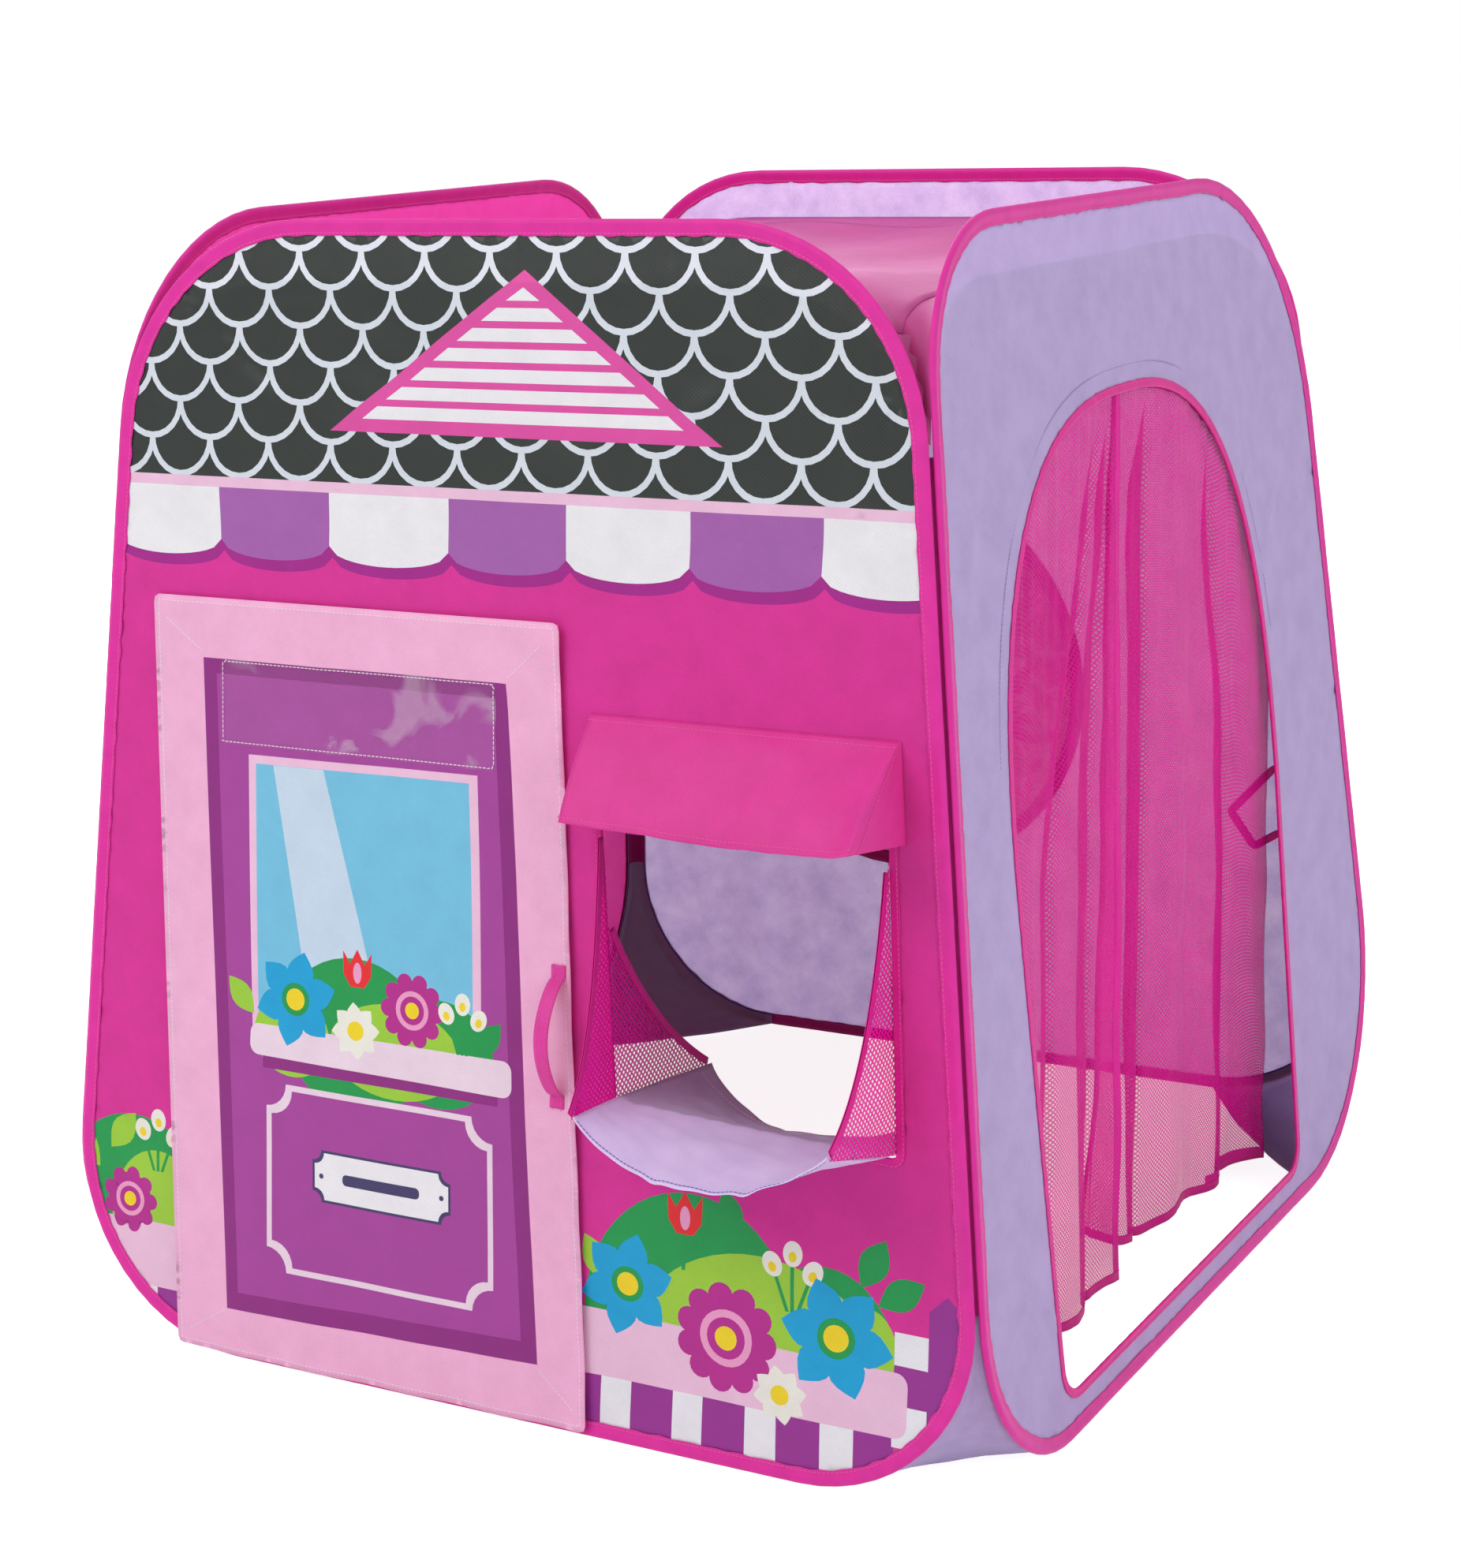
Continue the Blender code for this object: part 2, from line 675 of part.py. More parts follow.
def make_door(build, wall, look):
    """The flap on its hinge seam, with its clear pocket and webbing handle."""
    door = "door_hinge_axis"
    corners = [FLAP_BOTTOM_LEFT, FLAP_BOTTOM_RIGHT, FLAP_TOP_RIGHT, FLAP_TOP_LEFT]
    outline = rounded(corners, [FLAP_CORNER_RADIUS] * len(corners), CORNER_STEPS // 2)
    middle = FLAP_BACK + FLAP_THICKNESS / 2
    build.flat("door_flap", [outline], FLAP_THICKNESS, at_height(wall, middle), door, look["door"])

    seam_bottom = WALL_FACE + CLEARANCE
    seam_top = FLAP_BACK - CLEARANCE
    low, high = HINGE_SEAM_END + PANEL_EDGE, FLAP_TOP_LEFT[1] - HINGE_SEAM_END
    rise = FLAP_TOP_LEFT[1] - FLAP_BOTTOM_LEFT[1]
    sides = [
        mix(FLAP_BOTTOM_LEFT[0], FLAP_TOP_LEFT[0], (up - FLAP_BOTTOM_LEFT[1]) / rise) for up in (low, high)
    ]
    seam = [
        (sides[0], low),
        (sides[0] + HINGE_SEAM_WIDTH, low),
        (sides[1] + HINGE_SEAM_WIDTH, high),
        (sides[1], high),
    ]
    height = (seam_bottom + seam_top) / 2
    thickness = seam_top - seam_bottom
    build.flat("door_hinge_seam", [seam], thickness, at_height(wall, height), None, look["magenta"])

    pocket_left = FLAP_TOP_LEFT[0] + POCKET_FROM_HINGE
    pocket_right = FLAP_TOP_RIGHT[0] - POCKET_FROM_FREE_EDGE
    pocket_top = FLAP_TOP_LEFT[1] - POCKET_BELOW_TOP
    pocket_bottom = pocket_top - POCKET_HEIGHT
    corners = [
        (pocket_left, pocket_bottom),
        (pocket_right, pocket_bottom),
        (pocket_right, pocket_top),
        (pocket_left, pocket_top),
    ]
    outline = rounded(corners, [POCKET_CORNER_RADIUS] * len(corners), CORNER_STEPS // 2)
    height = FLAP_FACE + CLEARANCE + POCKET_FILM / 2
    build.flat("door_pocket", [outline], POCKET_FILM, at_height(wall, height), door, look["clear"])

    landing = FLAP_FACE + CLEARANCE + WEBBING_THICKNESS / 2
    length = HANDLE_TOP - HANDLE_BOTTOM - 2 * HANDLE_LANDING
    line = [(HANDLE_BOTTOM, landing)]
    for step in range(HANDLE_STEPS + 1):
        share = step / HANDLE_STEPS
        rise = (HANDLE_STAND_OFF - landing) * math.sin(math.pi * share) ** (2 / 3)
        line.append((HANDLE_BOTTOM + HANDLE_LANDING + length * share, landing + rise))
    line.append((HANDLE_TOP, landing))
    strap = inset(line, WEBBING_THICKNESS / 2, closed=False)
    strap += inset(line, -WEBBING_THICKNESS / 2, closed=False)[::-1]
    plane = wall.matrix @ stood_up(FLAP_BOTTOM_RIGHT[0] - HANDLE_IN_FROM_CORNER)
    build.flat("door_handle", [strap], WEBBING_WIDTH, plane, door, look["webbing"])


def make_awning(build, wall, look):
    """A hood of one cloth: two side gussets and a sloping front, open below."""
    at_wall = WALL_FACE + CLEARANCE + FABRIC / 2
    columns = 2 * AWNING_SIDE_STEPS + AWNING_FRONT_STEPS
    left, right = COUNTER_TOP_LEFT, COUNTER_TOP_RIGHT
    seam_left = beside(left, -AWNING_SEAM_PAST[0], AWNING_SEAM_ABOVE)
    seam_right = beside(right, AWNING_SEAM_PAST[1], AWNING_SEAM_ABOVE)
    foot_left = beside(left, -AWNING_FOOT_PAST[0], -AWNING_FOOT_BELOW)
    foot_right = beside(right, AWNING_FOOT_PAST[1], -AWNING_FOOT_BELOW)
    edge_left = beside(left, -AWNING_EDGE_PAST[0], -AWNING_EDGE_BELOW[0])
    edge_right = beside(right, AWNING_EDGE_PAST[1], -AWNING_EDGE_BELOW[1])

    def corner(bottom, top, fall):
        """A place between the top seam and the lower edge, on one fold line."""
        return Vector([mix(t, b, fall) for t, b in zip(top, bottom)])

    def shape(across, down):
        peak = AWNING_PEAK_WIDTH
        wall_left = corner((*foot_left, at_wall), (*beside(seam_left, -peak, 0), at_wall), down)
        wall_right = corner((*foot_right, at_wall), (*beside(seam_right, peak, 0), at_wall), down)
        fold_left = corner((*edge_left, AWNING_EDGE_OUT[0]), (*seam_left, at_wall), down)
        fold_right = corner((*edge_right, AWNING_EDGE_OUT[1]), (*seam_right, at_wall), down)
        column = across * columns
        if column <= AWNING_SIDE_STEPS:
            return wall_left.lerp(fold_left, column / AWNING_SIDE_STEPS)
        column -= AWNING_SIDE_STEPS
        if column >= AWNING_FRONT_STEPS:
            return fold_right.lerp(wall_right, (column - AWNING_FRONT_STEPS) / AWNING_SIDE_STEPS)
        share = column / AWNING_FRONT_STEPS
        place = fold_left.lerp(fold_right, share)
        place.y -= AWNING_EDGE_SAG * hump(share) * down
        place.z -= AWNING_EDGE_TUCK * hump(share) * down
        place.z += AWNING_SLOPE_BELLY * hump(down)
        return place

    build.cloth(
        "awning_hood", columns, AWNING_FALL_STEPS, shape, FABRIC, wall.matrix, None, look["pink"]
    )


def window_side(bottom, top, up):
    """How far across a side of the counter window is, at a height up the wall."""
    return mix(bottom[0], top[0], (up - bottom[1]) / (top[1] - bottom[1]))


def tray_outer_heights():
    """How high the counter cloth's outer corners hang, left and right."""
    return COUNTER_BOTTOM_LEFT[1], COUNTER_BOTTOM_RIGHT[1] + TRAY_OUTER_RIGHT_RISE


def tray_inner_height():
    return COUNTER_BOTTOM_LEFT[1] - TRAY_INNER_DROP


def tray_crest(share):
    """The counter cloth's middle where it crosses the bottom of its window."""
    edge = mix(COUNTER_BOTTOM_LEFT[1], COUNTER_BOTTOM_RIGHT[1], share)
    return edge + BINDING_FOLD + CLEARANCE + FABRIC / 2


def tray_place(share, up, out):
    """A point of the counter cloth, whose sides follow the webs."""
    gap = WEB_STAND_OFF + NET / 2 + CLEARANCE + TAPE_THICKNESS + TRAY_SIDE_CLEARANCE
    left = window_side(COUNTER_BOTTOM_LEFT, COUNTER_TOP_LEFT, up) + gap
    right = window_side(COUNTER_BOTTOM_RIGHT, COUNTER_TOP_RIGHT, up) - gap
    return Vector((mix(left, right, share), up, out))


def make_tray(build, wall, look):
    """The counter: a sling of cloth that sags outside and inside its window."""
    rows = 2 * TRAY_STEPS_OUT + 1

    def shape(share, down):
        crest = tray_crest(share)
        row = round(down * rows)
        if row <= TRAY_STEPS_OUT:
            away = 1 - row / TRAY_STEPS_OUT
            reach = mix(TRAY_REACH_OUT_LEFT, TRAY_REACH_OUT_RIGHT, share) + TRAY_OUT_BULGE * hump(share)
            far = mix(*tray_outer_heights(), share) - TRAY_OUTER_SAG * hump(share)
            return tray_place(share, mix(crest, far, away**2), mix(TRAY_CREST_OUT, reach, away))
        away = (row - TRAY_STEPS_OUT - 1) / TRAY_STEPS_OUT
        reach = TRAY_REACH_IN - TRAY_IN_HOLLOW * hump(share)
        far = tray_inner_height() - TRAY_INNER_SAG * hump(share)
        return tray_place(share, mix(crest, far, away**1.5), mix(-TRAY_CREST_IN, -reach, away))

    build.cloth(
        "counter_tray", TRAY_STEPS_ACROSS, rows, shape, FABRIC, wall.matrix, None, look["lilac"]
    )


def web_plane(wall, side):
    """A plane through one side of the counter window, square to the wall: outward and upward."""
    if side == "left":
        bottom, top, turn = COUNTER_BOTTOM_LEFT, COUNTER_TOP_LEFT, 1
    else:
        bottom, top, turn = COUNTER_BOTTOM_RIGHT, COUNTER_TOP_RIGHT, -1
    up = (Vector((*top, 0)) - Vector((*bottom, 0))).normalized()
    inward = Vector((up.y, -up.x, 0)) * turn
    start = Vector((*bottom, 0)) + inward * WEB_STAND_OFF
    out = Vector((0, 0, 1))
    axes = Matrix((out, up, out.cross(up))).transposed().to_4x4()
    return wall.matrix @ Matrix.Translation(start) @ axes


def web_edge(top, reach, foot, hollow):
    """The free edge of a web: a hollow curve from the window's side to the cloth's corner."""
    start = Vector((math.copysign(WEB_HALF_SEAM, reach), top))
    end = Vector((reach, foot))
    pull = Vector((mix(start.x, end.x, hollow[0]), mix(end.y, start.y, hollow[1])))
    line = []
    for step in range(WEB_EDGE_STEPS + 1):
        share = step / WEB_EDGE_STEPS
        line.append(tuple(start * (1 - share) ** 2 + pull * 2 * share * (1 - share) + end * share**2))
    return line


def make_webs(build, wall, look):
    """Four net triangles with taped edges that hold up the counter's corners."""
    for side, bottom, window_top, out_reach, out_height in (
        ("left", COUNTER_BOTTOM_LEFT, COUNTER_TOP_LEFT, TRAY_REACH_OUT_LEFT, tray_outer_heights()[0]),
        ("right", COUNTER_BOTTOM_RIGHT, COUNTER_TOP_RIGHT, TRAY_REACH_OUT_RIGHT, tray_outer_heights()[1]),
    ):
        plane = web_plane(wall, side)
        for place, top_share, reach, height, hollow in (
            ("outer", WEB_OUTER_TOP_SHARE, out_reach, out_height, WEB_OUTER_HOLLOW_SHARES),
            ("inner", WEB_INNER_TOP_SHARE, TRAY_REACH_IN, tray_inner_height(), WEB_INNER_HOLLOW_SHARES),
        ):
            top = mix(bottom[1], window_top[1], top_share)
            sign = 1 if place == "outer" else -1
            middle = SLEEVE_MIDDLE
            edge = web_edge(top - bottom[1], sign * reach - middle, height - bottom[1], hollow)
            edge = [(middle + out, up) for out, up in edge]
            foot = (middle + sign * WEB_HALF_SEAM, WEB_FOOT)
            outline = [foot] + edge[::-1]
            outline = outline if sign > 0 else outline[::-1]
            name = f"counter_web_{place}_{side}"
            build.flat(name, [outline], NET, plane, None, look["net"])
            run = edge[WEB_TAPE_START_STEPS : len(edge) - WEB_TAPE_END_STEPS]
            run = run if sign > 0 else run[::-1]
            name = f"counter_web_tape_{place}_{side}"
            build.sweep(name, run, build.web_edge, plane, None, look["magenta"], closed=False)


def make_curtains(build, wall, look):
    """Two net curtains that fall plumb from the facing above the arch, meeting at a split."""
    world_to_wall = wall.matrix.inverted()
    set_back = WIDTH_AT_GROUND / 2
    lean_per_metre = set_back * (1 - ROOF_SHARE) / HEIGHT
    near_side = ARCH_NEAR - CURTAIN_HEADER + CURTAIN_EDGE_INSET
    far_side = ARCH_FAR + CURTAIN_HEADER - CURTAIN_EDGE_INSET
    up_to_height = HEIGHT / wall.slope

    def hang(across, down, hem, depth, shift):
        top = arch_height(across, CURTAIN_HEADER) * up_to_height
        plane = set_back - lean_per_metre * top + WALL_INSIDE - CLEARANCE - NET / 2
        height = mix(top, hem, down)
        world = Vector((plane - shift - depth, across + STAND_BACK, height))
        return world_to_wall @ world

    def folded(share, down, folds):
        wave = (1 - math.cos(2 * math.pi * folds * share)) / 2
        return mix(FOLD_DEPTH_TOP, FOLD_DEPTH_HEM, down) * wave

    def near(share, down):
        across = mix(near_side, CURTAIN_SPLIT, share)
        return hang(across, down, CURTAIN_HEM_NEAR, folded(share, down, NEAR_FOLD_COUNT), 0)

    def far(share, down):
        across = mix(CURTAIN_SPLIT - CURTAIN_OVERLAP, far_side, share)
        depth = folded(share, down, FAR_FOLD_COUNT)
        from_edge = 1 - smooth((across - CURTAIN_SPLIT) / FAR_SHIFT_WIDTH)
        shift = mix(FAR_SHIFT_TOP, FAR_SHIFT_HEM, down) * from_edge
        return hang(across, down, CURTAIN_HEM_FAR, depth, shift)

    for name, shape in (("curtain_near", near), ("curtain_far", far)):
        build.cloth(
            name,
            CURTAIN_STEPS_ACROSS,
            CURTAIN_STEPS_DOWN,
            shape,
            NET,
            wall.matrix,
            "right_fold_axis",
            look["net"],
        )


def make_tie_back(build, wall, look):
    """A loop of narrow webbing sewn to the inside of the wall, for holding a curtain open."""
    behind = WALL_INSIDE - CLEARANCE
    corners = [(TIE_TOP, behind), (TIE_LOW, behind)]
    corners += [(up, -inward) for up, inward in (TIE_FOOT, TIE_TURN)]
    loop = rounded(corners, [TIE_RADIUS] * len(corners), CORNER_STEPS // 2)
    band = [loop, inset(loop, TIE_THICKNESS)]
    plane = wall.matrix @ stood_up(ARCH_FAR + TIE_PAST_ARCH)
    build.flat("tie_back_strap", band, TIE_WIDTH, plane, "right_fold_axis", look["webbing"])


def make_back_window(build, wall, look):
    """A clear disc sewn between two rings of tape over the hole in the back wall."""
    disc = window_circle(WINDOW_RADIUS + WINDOW_SEAM)
    behind = WALL_INSIDE - CLEARANCE
    parent = "back_fold_axis"
    build.flat(
        "back_window", [disc], WINDOW_FILM, at_height(wall, behind - WINDOW_FILM / 2), parent, look["clear"]
    )
    ring = [window_circle(WINDOW_RADIUS + WINDOW_RING_OUT), window_circle(WINDOW_RADIUS - WINDOW_RING_IN)]
    inner = behind - WINDOW_FILM - CLEARANCE - TAPE_THICKNESS / 2
    outer = WALL_FACE + CLEARANCE + TAPE_THICKNESS / 2
    for name, height in (("back_window_ring_inner", inner), ("back_window_ring_outer", outer)):
        build.flat(name, ring, TAPE_THICKNESS, at_height(wall, height), parent, look["magenta"])


def corner_arc(wall, corner):
    """The points of one round corner of a hoop, in the order bottom left to top left."""
    steps = CORNER_STEPS + 1
    return wall.outline()[corner * steps : (corner + 1) * steps]


def seam_ends(left_wall, right_wall):
    """How far up their common seam two neighbouring hoops meet, and how far up they part."""
    lower = corner_arc(left_wall, 1) + corner_arc(right_wall, 0)
    upper_left = min(up for _, up in corner_arc(left_wall, 2)) / left_wall.slope
    upper_right = min(up for _, up in corner_arc(right_wall, 3)) / right_wall.slope
    return max(up for _, up in lower), min(upper_left, upper_right)


def roof_side(wall, low_left, low_right):
    """Where the roof meets one wall: up from one corner seam, along the top, down to the next."""
    steps = CORNER_STEPS + 1
    points = wall.outline()[2 * steps : 4 * steps]
    depths = [ROOF_CORNER_TUCK] + [
        mix(ROOF_CORNER_TUCK, ROOF_DROP, smooth(min(i, len(points) - 1 - i) / CORNER_STEPS))
        for i in range(len(points))
    ]
    depths.append(ROOF_CORNER_TUCK)
    right = (wall.half_width(low_right) - SEAM_CLEARANCE, low_right)
    left = (SEAM_CLEARANCE - wall.half_width(low_left), low_left)
    line = inset([right] + points + [left], depths, closed=False)
    line[0] = (wall.half_width(low_right) - FABRIC / 2, low_right)
    line[-1] = (FABRIC / 2 - wall.half_width(low_left), low_left)
    close, open_face = -FABRIC / 2, WALL_INSIDE - CLEARANCE - FABRIC / 2
    world = []
    for (across, up), depth in zip(line, depths):
        inward = (depth - ROOF_CORNER_TUCK) / (ROOF_DROP - ROOF_CORNER_TUCK)
        begins, ends = ROOF_STEP_AWAY_SHARES
        ramp = smooth((inward - begins) / (ends - begins))
        world.append(wall.point(across, up, mix(close, open_face, ramp)))
    return resampled(world[::-1], ROOF_STEPS)


def resampled(points, steps):
    """Evenly spaced points along a line of points."""
    lengths = [0.0]
    for here, after in zip(points, points[1:]):
        lengths.append(lengths[-1] + (after - here).length)
    spaced = []
    for step in range(steps + 1):
        target = lengths[-1] * step / steps
        index = max(i for i in range(len(points)) if lengths[i] <= target * (1 - 1e-9) or i == 0)
        index = min(index, len(points) - 2)
        share = (target - lengths[index]) / (lengths[index + 1] - lengths[index])
        spaced.append(points[index].lerp(points[index + 1], share))
    return spaced


def roof_grid():
    """The roof settled like a soap film between the four walls, then sagged in the middle."""
    order = [FRONT, RIGHT, BACK, LEFT]
    lows = []
    for index, name in enumerate(order):
        after = WALLS[order[(index + 1) % len(order)]]
        lows.append(seam_ends(WALLS[name], after)[1])
    sides = {}
    for index, name in enumerate(order):
        wall = WALLS[name]
        sides[name] = roof_side(wall, lows[index - 1] * wall.slope, lows[index] * wall.slope)
    grid = np.zeros((ROOF_STEPS + 1, ROOF_STEPS + 1, 3))
    grid[0, :] = sides[FRONT]
    grid[:, -1] = sides[RIGHT]
    grid[-1, :] = sides[BACK][::-1]
    grid[:, 0] = sides[LEFT][::-1]
    for first, second, place in (
        (sides[FRONT][-1], sides[RIGHT][0], (0, -1)),
        (sides[RIGHT][-1], sides[BACK][0], (-1, -1)),
        (sides[BACK][-1], sides[LEFT][0], (-1, 0)),
        (sides[LEFT][-1], sides[FRONT][0], (0, 0)),
    ):
        grid[place] = (first + second) / 2
    across = np.linspace(0, 1, ROOF_STEPS + 1)
    for row in range(1, ROOF_STEPS):
        share = row / ROOF_STEPS
        sideways = np.outer(1 - across, grid[row, 0]) + np.outer(across, grid[row, -1])
        lengthways = grid[0] * (1 - share) + grid[-1] * share
        grid[row, 1:-1] = ((sideways + lengthways) / 2)[1:-1]
    for _ in range(ROOF_SETTLE_ROUNDS):
        around = grid[:-2, 1:-1] + grid[2:, 1:-1] + grid[1:-1, :-2] + grid[1:-1, 2:]
        grid[1:-1, 1:-1] = around / 4
    bowl = np.outer(np.sin(np.pi * across), np.sin(np.pi * across)) ** 2
    grid[:, :, 2] -= ROOF_SAG * bowl
    return grid


def make_roof(build, look):
    grid = roof_grid()

    def shape(across, down):
        row, column = round((1 - down) * ROOF_STEPS), round(across * ROOF_STEPS)
        return Vector(grid[row, column])

    build.cloth("roof_panel", ROOF_STEPS, ROOF_STEPS, shape, FABRIC, Matrix(), None, look["pink"])


def gusset_sides(left_wall, right_wall):
    """The edges of a gusset: down the seam between two hoops, then along their bottom arcs."""
    low, high_share = seam_ends(left_wall, right_wall)
    sides = []
    for wall, corner, side in ((left_wall, 1, 1), (right_wall, 0, -1)):
        top = high_share * wall.slope - SEAM_STRIP_END
        line = []
        for up in (top, low):
            line.append(wall.point(side * (wall.half_width(up) - SEAM_STRIP), up, -FABRIC / 2))
        steps = CORNER_STEPS + 1
        arc = inset(wall.outline(), GUSSET_TUCK)[corner * steps : (corner + 1) * steps]
        arc = arc[::-side]
        arc = [wall.point(across, up, -FABRIC / 2) for across, up in arc if up < low]
        sides.append(line[:1] + resampled(line[1:] + arc, GUSSET_STEPS))
    return sides


def make_gussets(build, look):
    """Four pieces that join neighbouring walls: a strip up the seam, wider below as a triangle."""
    rows = GUSSET_STEPS + 1
    for left_name, right_name, parent in (
        (FRONT, RIGHT, None),
        (RIGHT, BACK, "right_fold_axis"),
        (BACK, LEFT, "left_fold_axis"),
        (LEFT, FRONT, None),
    ):
        first, second = gusset_sides(WALLS[left_name], WALLS[right_name])

        def shape(across, down):
            row = round(down * rows)
            place = first[row].lerp(second[row], across)
            inward = Vector((-place.x, STAND_BACK - place.y, 0)).normalized()
            below_seam = max(0, row - 1) / GUSSET_STEPS
            return place + inward * GUSSET_HOLLOW * hump(across) * below_seam

        name = f"corner_gusset_{left_name}_{right_name}"
        build.cloth(
            name, GUSSET_ACROSS_STEPS, rows, shape, FABRIC, Matrix(), parent, look["lilac"]
        )


def seam_line(side_x, side_y):
    across, along = side_x * WIDTH_AT_GROUND / 2, side_y * DEPTH_AT_GROUND / 2
    bottom = (across, along + STAND_BACK, 0)
    top = (across * ROOF_SHARE, along * ROOF_SHARE + STAND_BACK, HEIGHT)
    return bottom, top


def add_axes(build):
    """Empties on the corner seams that the tent folds about, and on the flap's hinge line."""
    build.empty("right_fold_axis", *seam_line(1, -1))
    build.empty("back_fold_axis", *seam_line(1, 1), parent="right_fold_axis")
    build.empty("left_fold_axis", *seam_line(-1, -1))
    front = WALLS[FRONT]
    middle = FLAP_BACK + FLAP_THICKNESS / 2
    ends = [front.point(*corner, middle) for corner in (FLAP_BOTTOM_LEFT, FLAP_TOP_LEFT)]
    build.empty("door_hinge_axis", *ends)


def main():
    clear_scene()
    build = Builder()
    look = looks()
    add_axes(build)
    build.sleeve = build.guide("sleeve_profile", sleeve_profile())
    around_hole = [(-depth, height) for depth, height in edge_profile(BINDING_WIDTH, LEG)]
    build.edge = build.guide("edge_binding_profile", around_hole)
    web_edge = edge_profile(WEB_TAPE_WIDTH, NET / 2 + CLEARANCE)
    build.web_edge = build.guide("web_tape_profile", web_edge[::-1])

    holes = {
        FRONT: [doorway(), counter_window()],
        RIGHT: [arch()],
        BACK: [window_circle(WINDOW_RADIUS)],
        LEFT: [],
    }
    fabrics = {FRONT: "print", RIGHT: "lilac", BACK: "lilac", LEFT: "pink"}
    parents = {
        FRONT: None,
        RIGHT: "right_fold_axis",
        BACK: "back_fold_axis",
        LEFT: "left_fold_axis",
    }
    for name, wall in WALLS.items():
        make_wall(build, wall, holes[name], parents[name], look[fabrics[name]])
        make_hoop(build, wall, parents[name], look)

    front, right, back = WALLS[FRONT], WALLS[RIGHT], WALLS[BACK]
    bind_opening(build, "doorway_binding", doorway(), front, None, look["magenta"])
    bind_opening(build, "counter_window_binding", counter_window(), front, None, look["magenta"])
    bind_opening(build, "arch_binding", arch(), right, "right_fold_axis", look["magenta"])
    make_door(build, front, look)
    make_awning(build, front, look)
    make_tray(build, front, look)
    make_webs(build, front, look)
    make_curtains(build, right, look)
    make_tie_back(build, right, look)
    make_back_window(build, back, look)
    make_roof(build, look)
    make_gussets(build, look)


main()
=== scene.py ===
"""Looks of a pop-up kids' play tent: printed cloth walls on sprung hoops, a door flap, a counter
under an awning, net curtains, a sunken roof and a clear round window."""

import json
import math

import bpy
import numpy as np
from bpy.props import FloatProperty, FloatVectorProperty, PointerProperty
from mathutils import Matrix, Vector
from mathutils.geometry import delaunay_2d_cdt

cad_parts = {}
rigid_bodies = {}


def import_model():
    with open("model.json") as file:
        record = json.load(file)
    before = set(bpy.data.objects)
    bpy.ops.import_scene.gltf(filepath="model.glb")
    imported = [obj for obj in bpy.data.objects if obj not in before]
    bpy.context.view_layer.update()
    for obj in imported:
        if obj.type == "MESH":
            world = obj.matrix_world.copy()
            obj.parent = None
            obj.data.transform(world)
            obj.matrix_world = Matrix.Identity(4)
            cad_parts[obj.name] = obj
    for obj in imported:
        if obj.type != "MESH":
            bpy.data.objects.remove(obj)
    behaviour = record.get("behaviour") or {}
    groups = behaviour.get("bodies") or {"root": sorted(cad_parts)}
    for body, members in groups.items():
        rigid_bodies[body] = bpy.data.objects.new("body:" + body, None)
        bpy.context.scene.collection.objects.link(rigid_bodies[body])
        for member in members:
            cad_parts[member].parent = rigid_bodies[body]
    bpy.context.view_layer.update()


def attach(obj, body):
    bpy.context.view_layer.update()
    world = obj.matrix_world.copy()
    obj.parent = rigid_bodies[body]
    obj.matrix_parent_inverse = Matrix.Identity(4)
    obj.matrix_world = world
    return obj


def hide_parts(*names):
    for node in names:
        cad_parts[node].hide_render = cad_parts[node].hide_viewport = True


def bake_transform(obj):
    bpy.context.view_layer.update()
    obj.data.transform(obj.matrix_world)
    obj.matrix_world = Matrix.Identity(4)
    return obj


bl_info = {
    "name": "Play Tent",
    "version": (1, 0, 0),
    "blender": (4, 5, 0),
    "location": "3D View > Sidebar > Play Tent",
    "description": "Builds the cloth, prints, nets and seams of a pop-up play tent",
    "category": "Object",
}

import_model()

MM = 0.001
TAU = 2 * math.pi
QUARTER_TURN = math.pi / 2
WALLS = FRONT, RIGHT, BACK, LEFT = "front", "right", "back", "left"

# The tent's own middle stands behind the origin, because the counter sticks out in front
STAND_BACK = 0.0395
ROOF_SHARE = 0.808

# Hoops: corner radii in the order bottom left, bottom right, top right, top left, from outside
HOOP_RADII = {
    FRONT: (0.194, 0.166, 0.203, 0.218),
    RIGHT: (0.1615, 0.2405, 0.3010, 0.1515),
    BACK: (0.190, 0.190, 0.200, 0.200),
    LEFT: (0.190, 0.190, 0.220, 0.200),
}
CORNER_STEPS = 14
SEAM_CLEARANCE = 0.4 * MM

# Heights above a wall's plane, and depths in from its outline
CLOTH = 0.8 * MM
CLOTH_MIDDLE = 3.25 * MM
WALL_EDGE = 9.5 * MM
SLEEVE_WIDTH = 15 * MM
SLEEVE_STITCH_IN = 12.6 * MM
BINDING_WIDTH = 8 * MM
BINDING_FOLD = 0.9 * MM
SLATE_OFFSET = -0.006


def linear(hex_colour):
    """An sRGB hex value as linear RGBA."""
    channels = [int(hex_colour[i : i + 2], 16) / 255 for i in (1, 3, 5)]
    return [c / 12.92 if c <= 0.04045 else ((c + 0.055) / 1.055) ** 2.4 for c in channels] + [1.0]


def mix(a, b, share):
    return a + (b - a) * share


def smooth(share):
    """An S-shaped ramp from 0 to 1."""
    share = np.clip(share, 0.0, 1.0)
    return share * share * (3 - 2 * share)


def hump(share):
    """A parabola that is 0 at both ends and 1 in the middle."""
    return 4 * share * (1 - share)


def bell(places, middle, reach):
    """A bell curve that is 1 at its middle."""
    return np.exp(-(((places - middle) / reach) ** 2))


def lengths_along(line):
    """How far along a line each of its points is."""
    return np.concatenate([[0], np.cumsum(np.linalg.norm(np.diff(line, axis=0), axis=1))])


def spread(line, count):
    """Points at a number of even steps along an open line, and how far along each one is."""
    lengths = lengths_along(line)
    at = np.linspace(0, lengths[-1], count + 1)
    return np.stack([np.interp(at, lengths, values) for values in line.T], axis=1), at


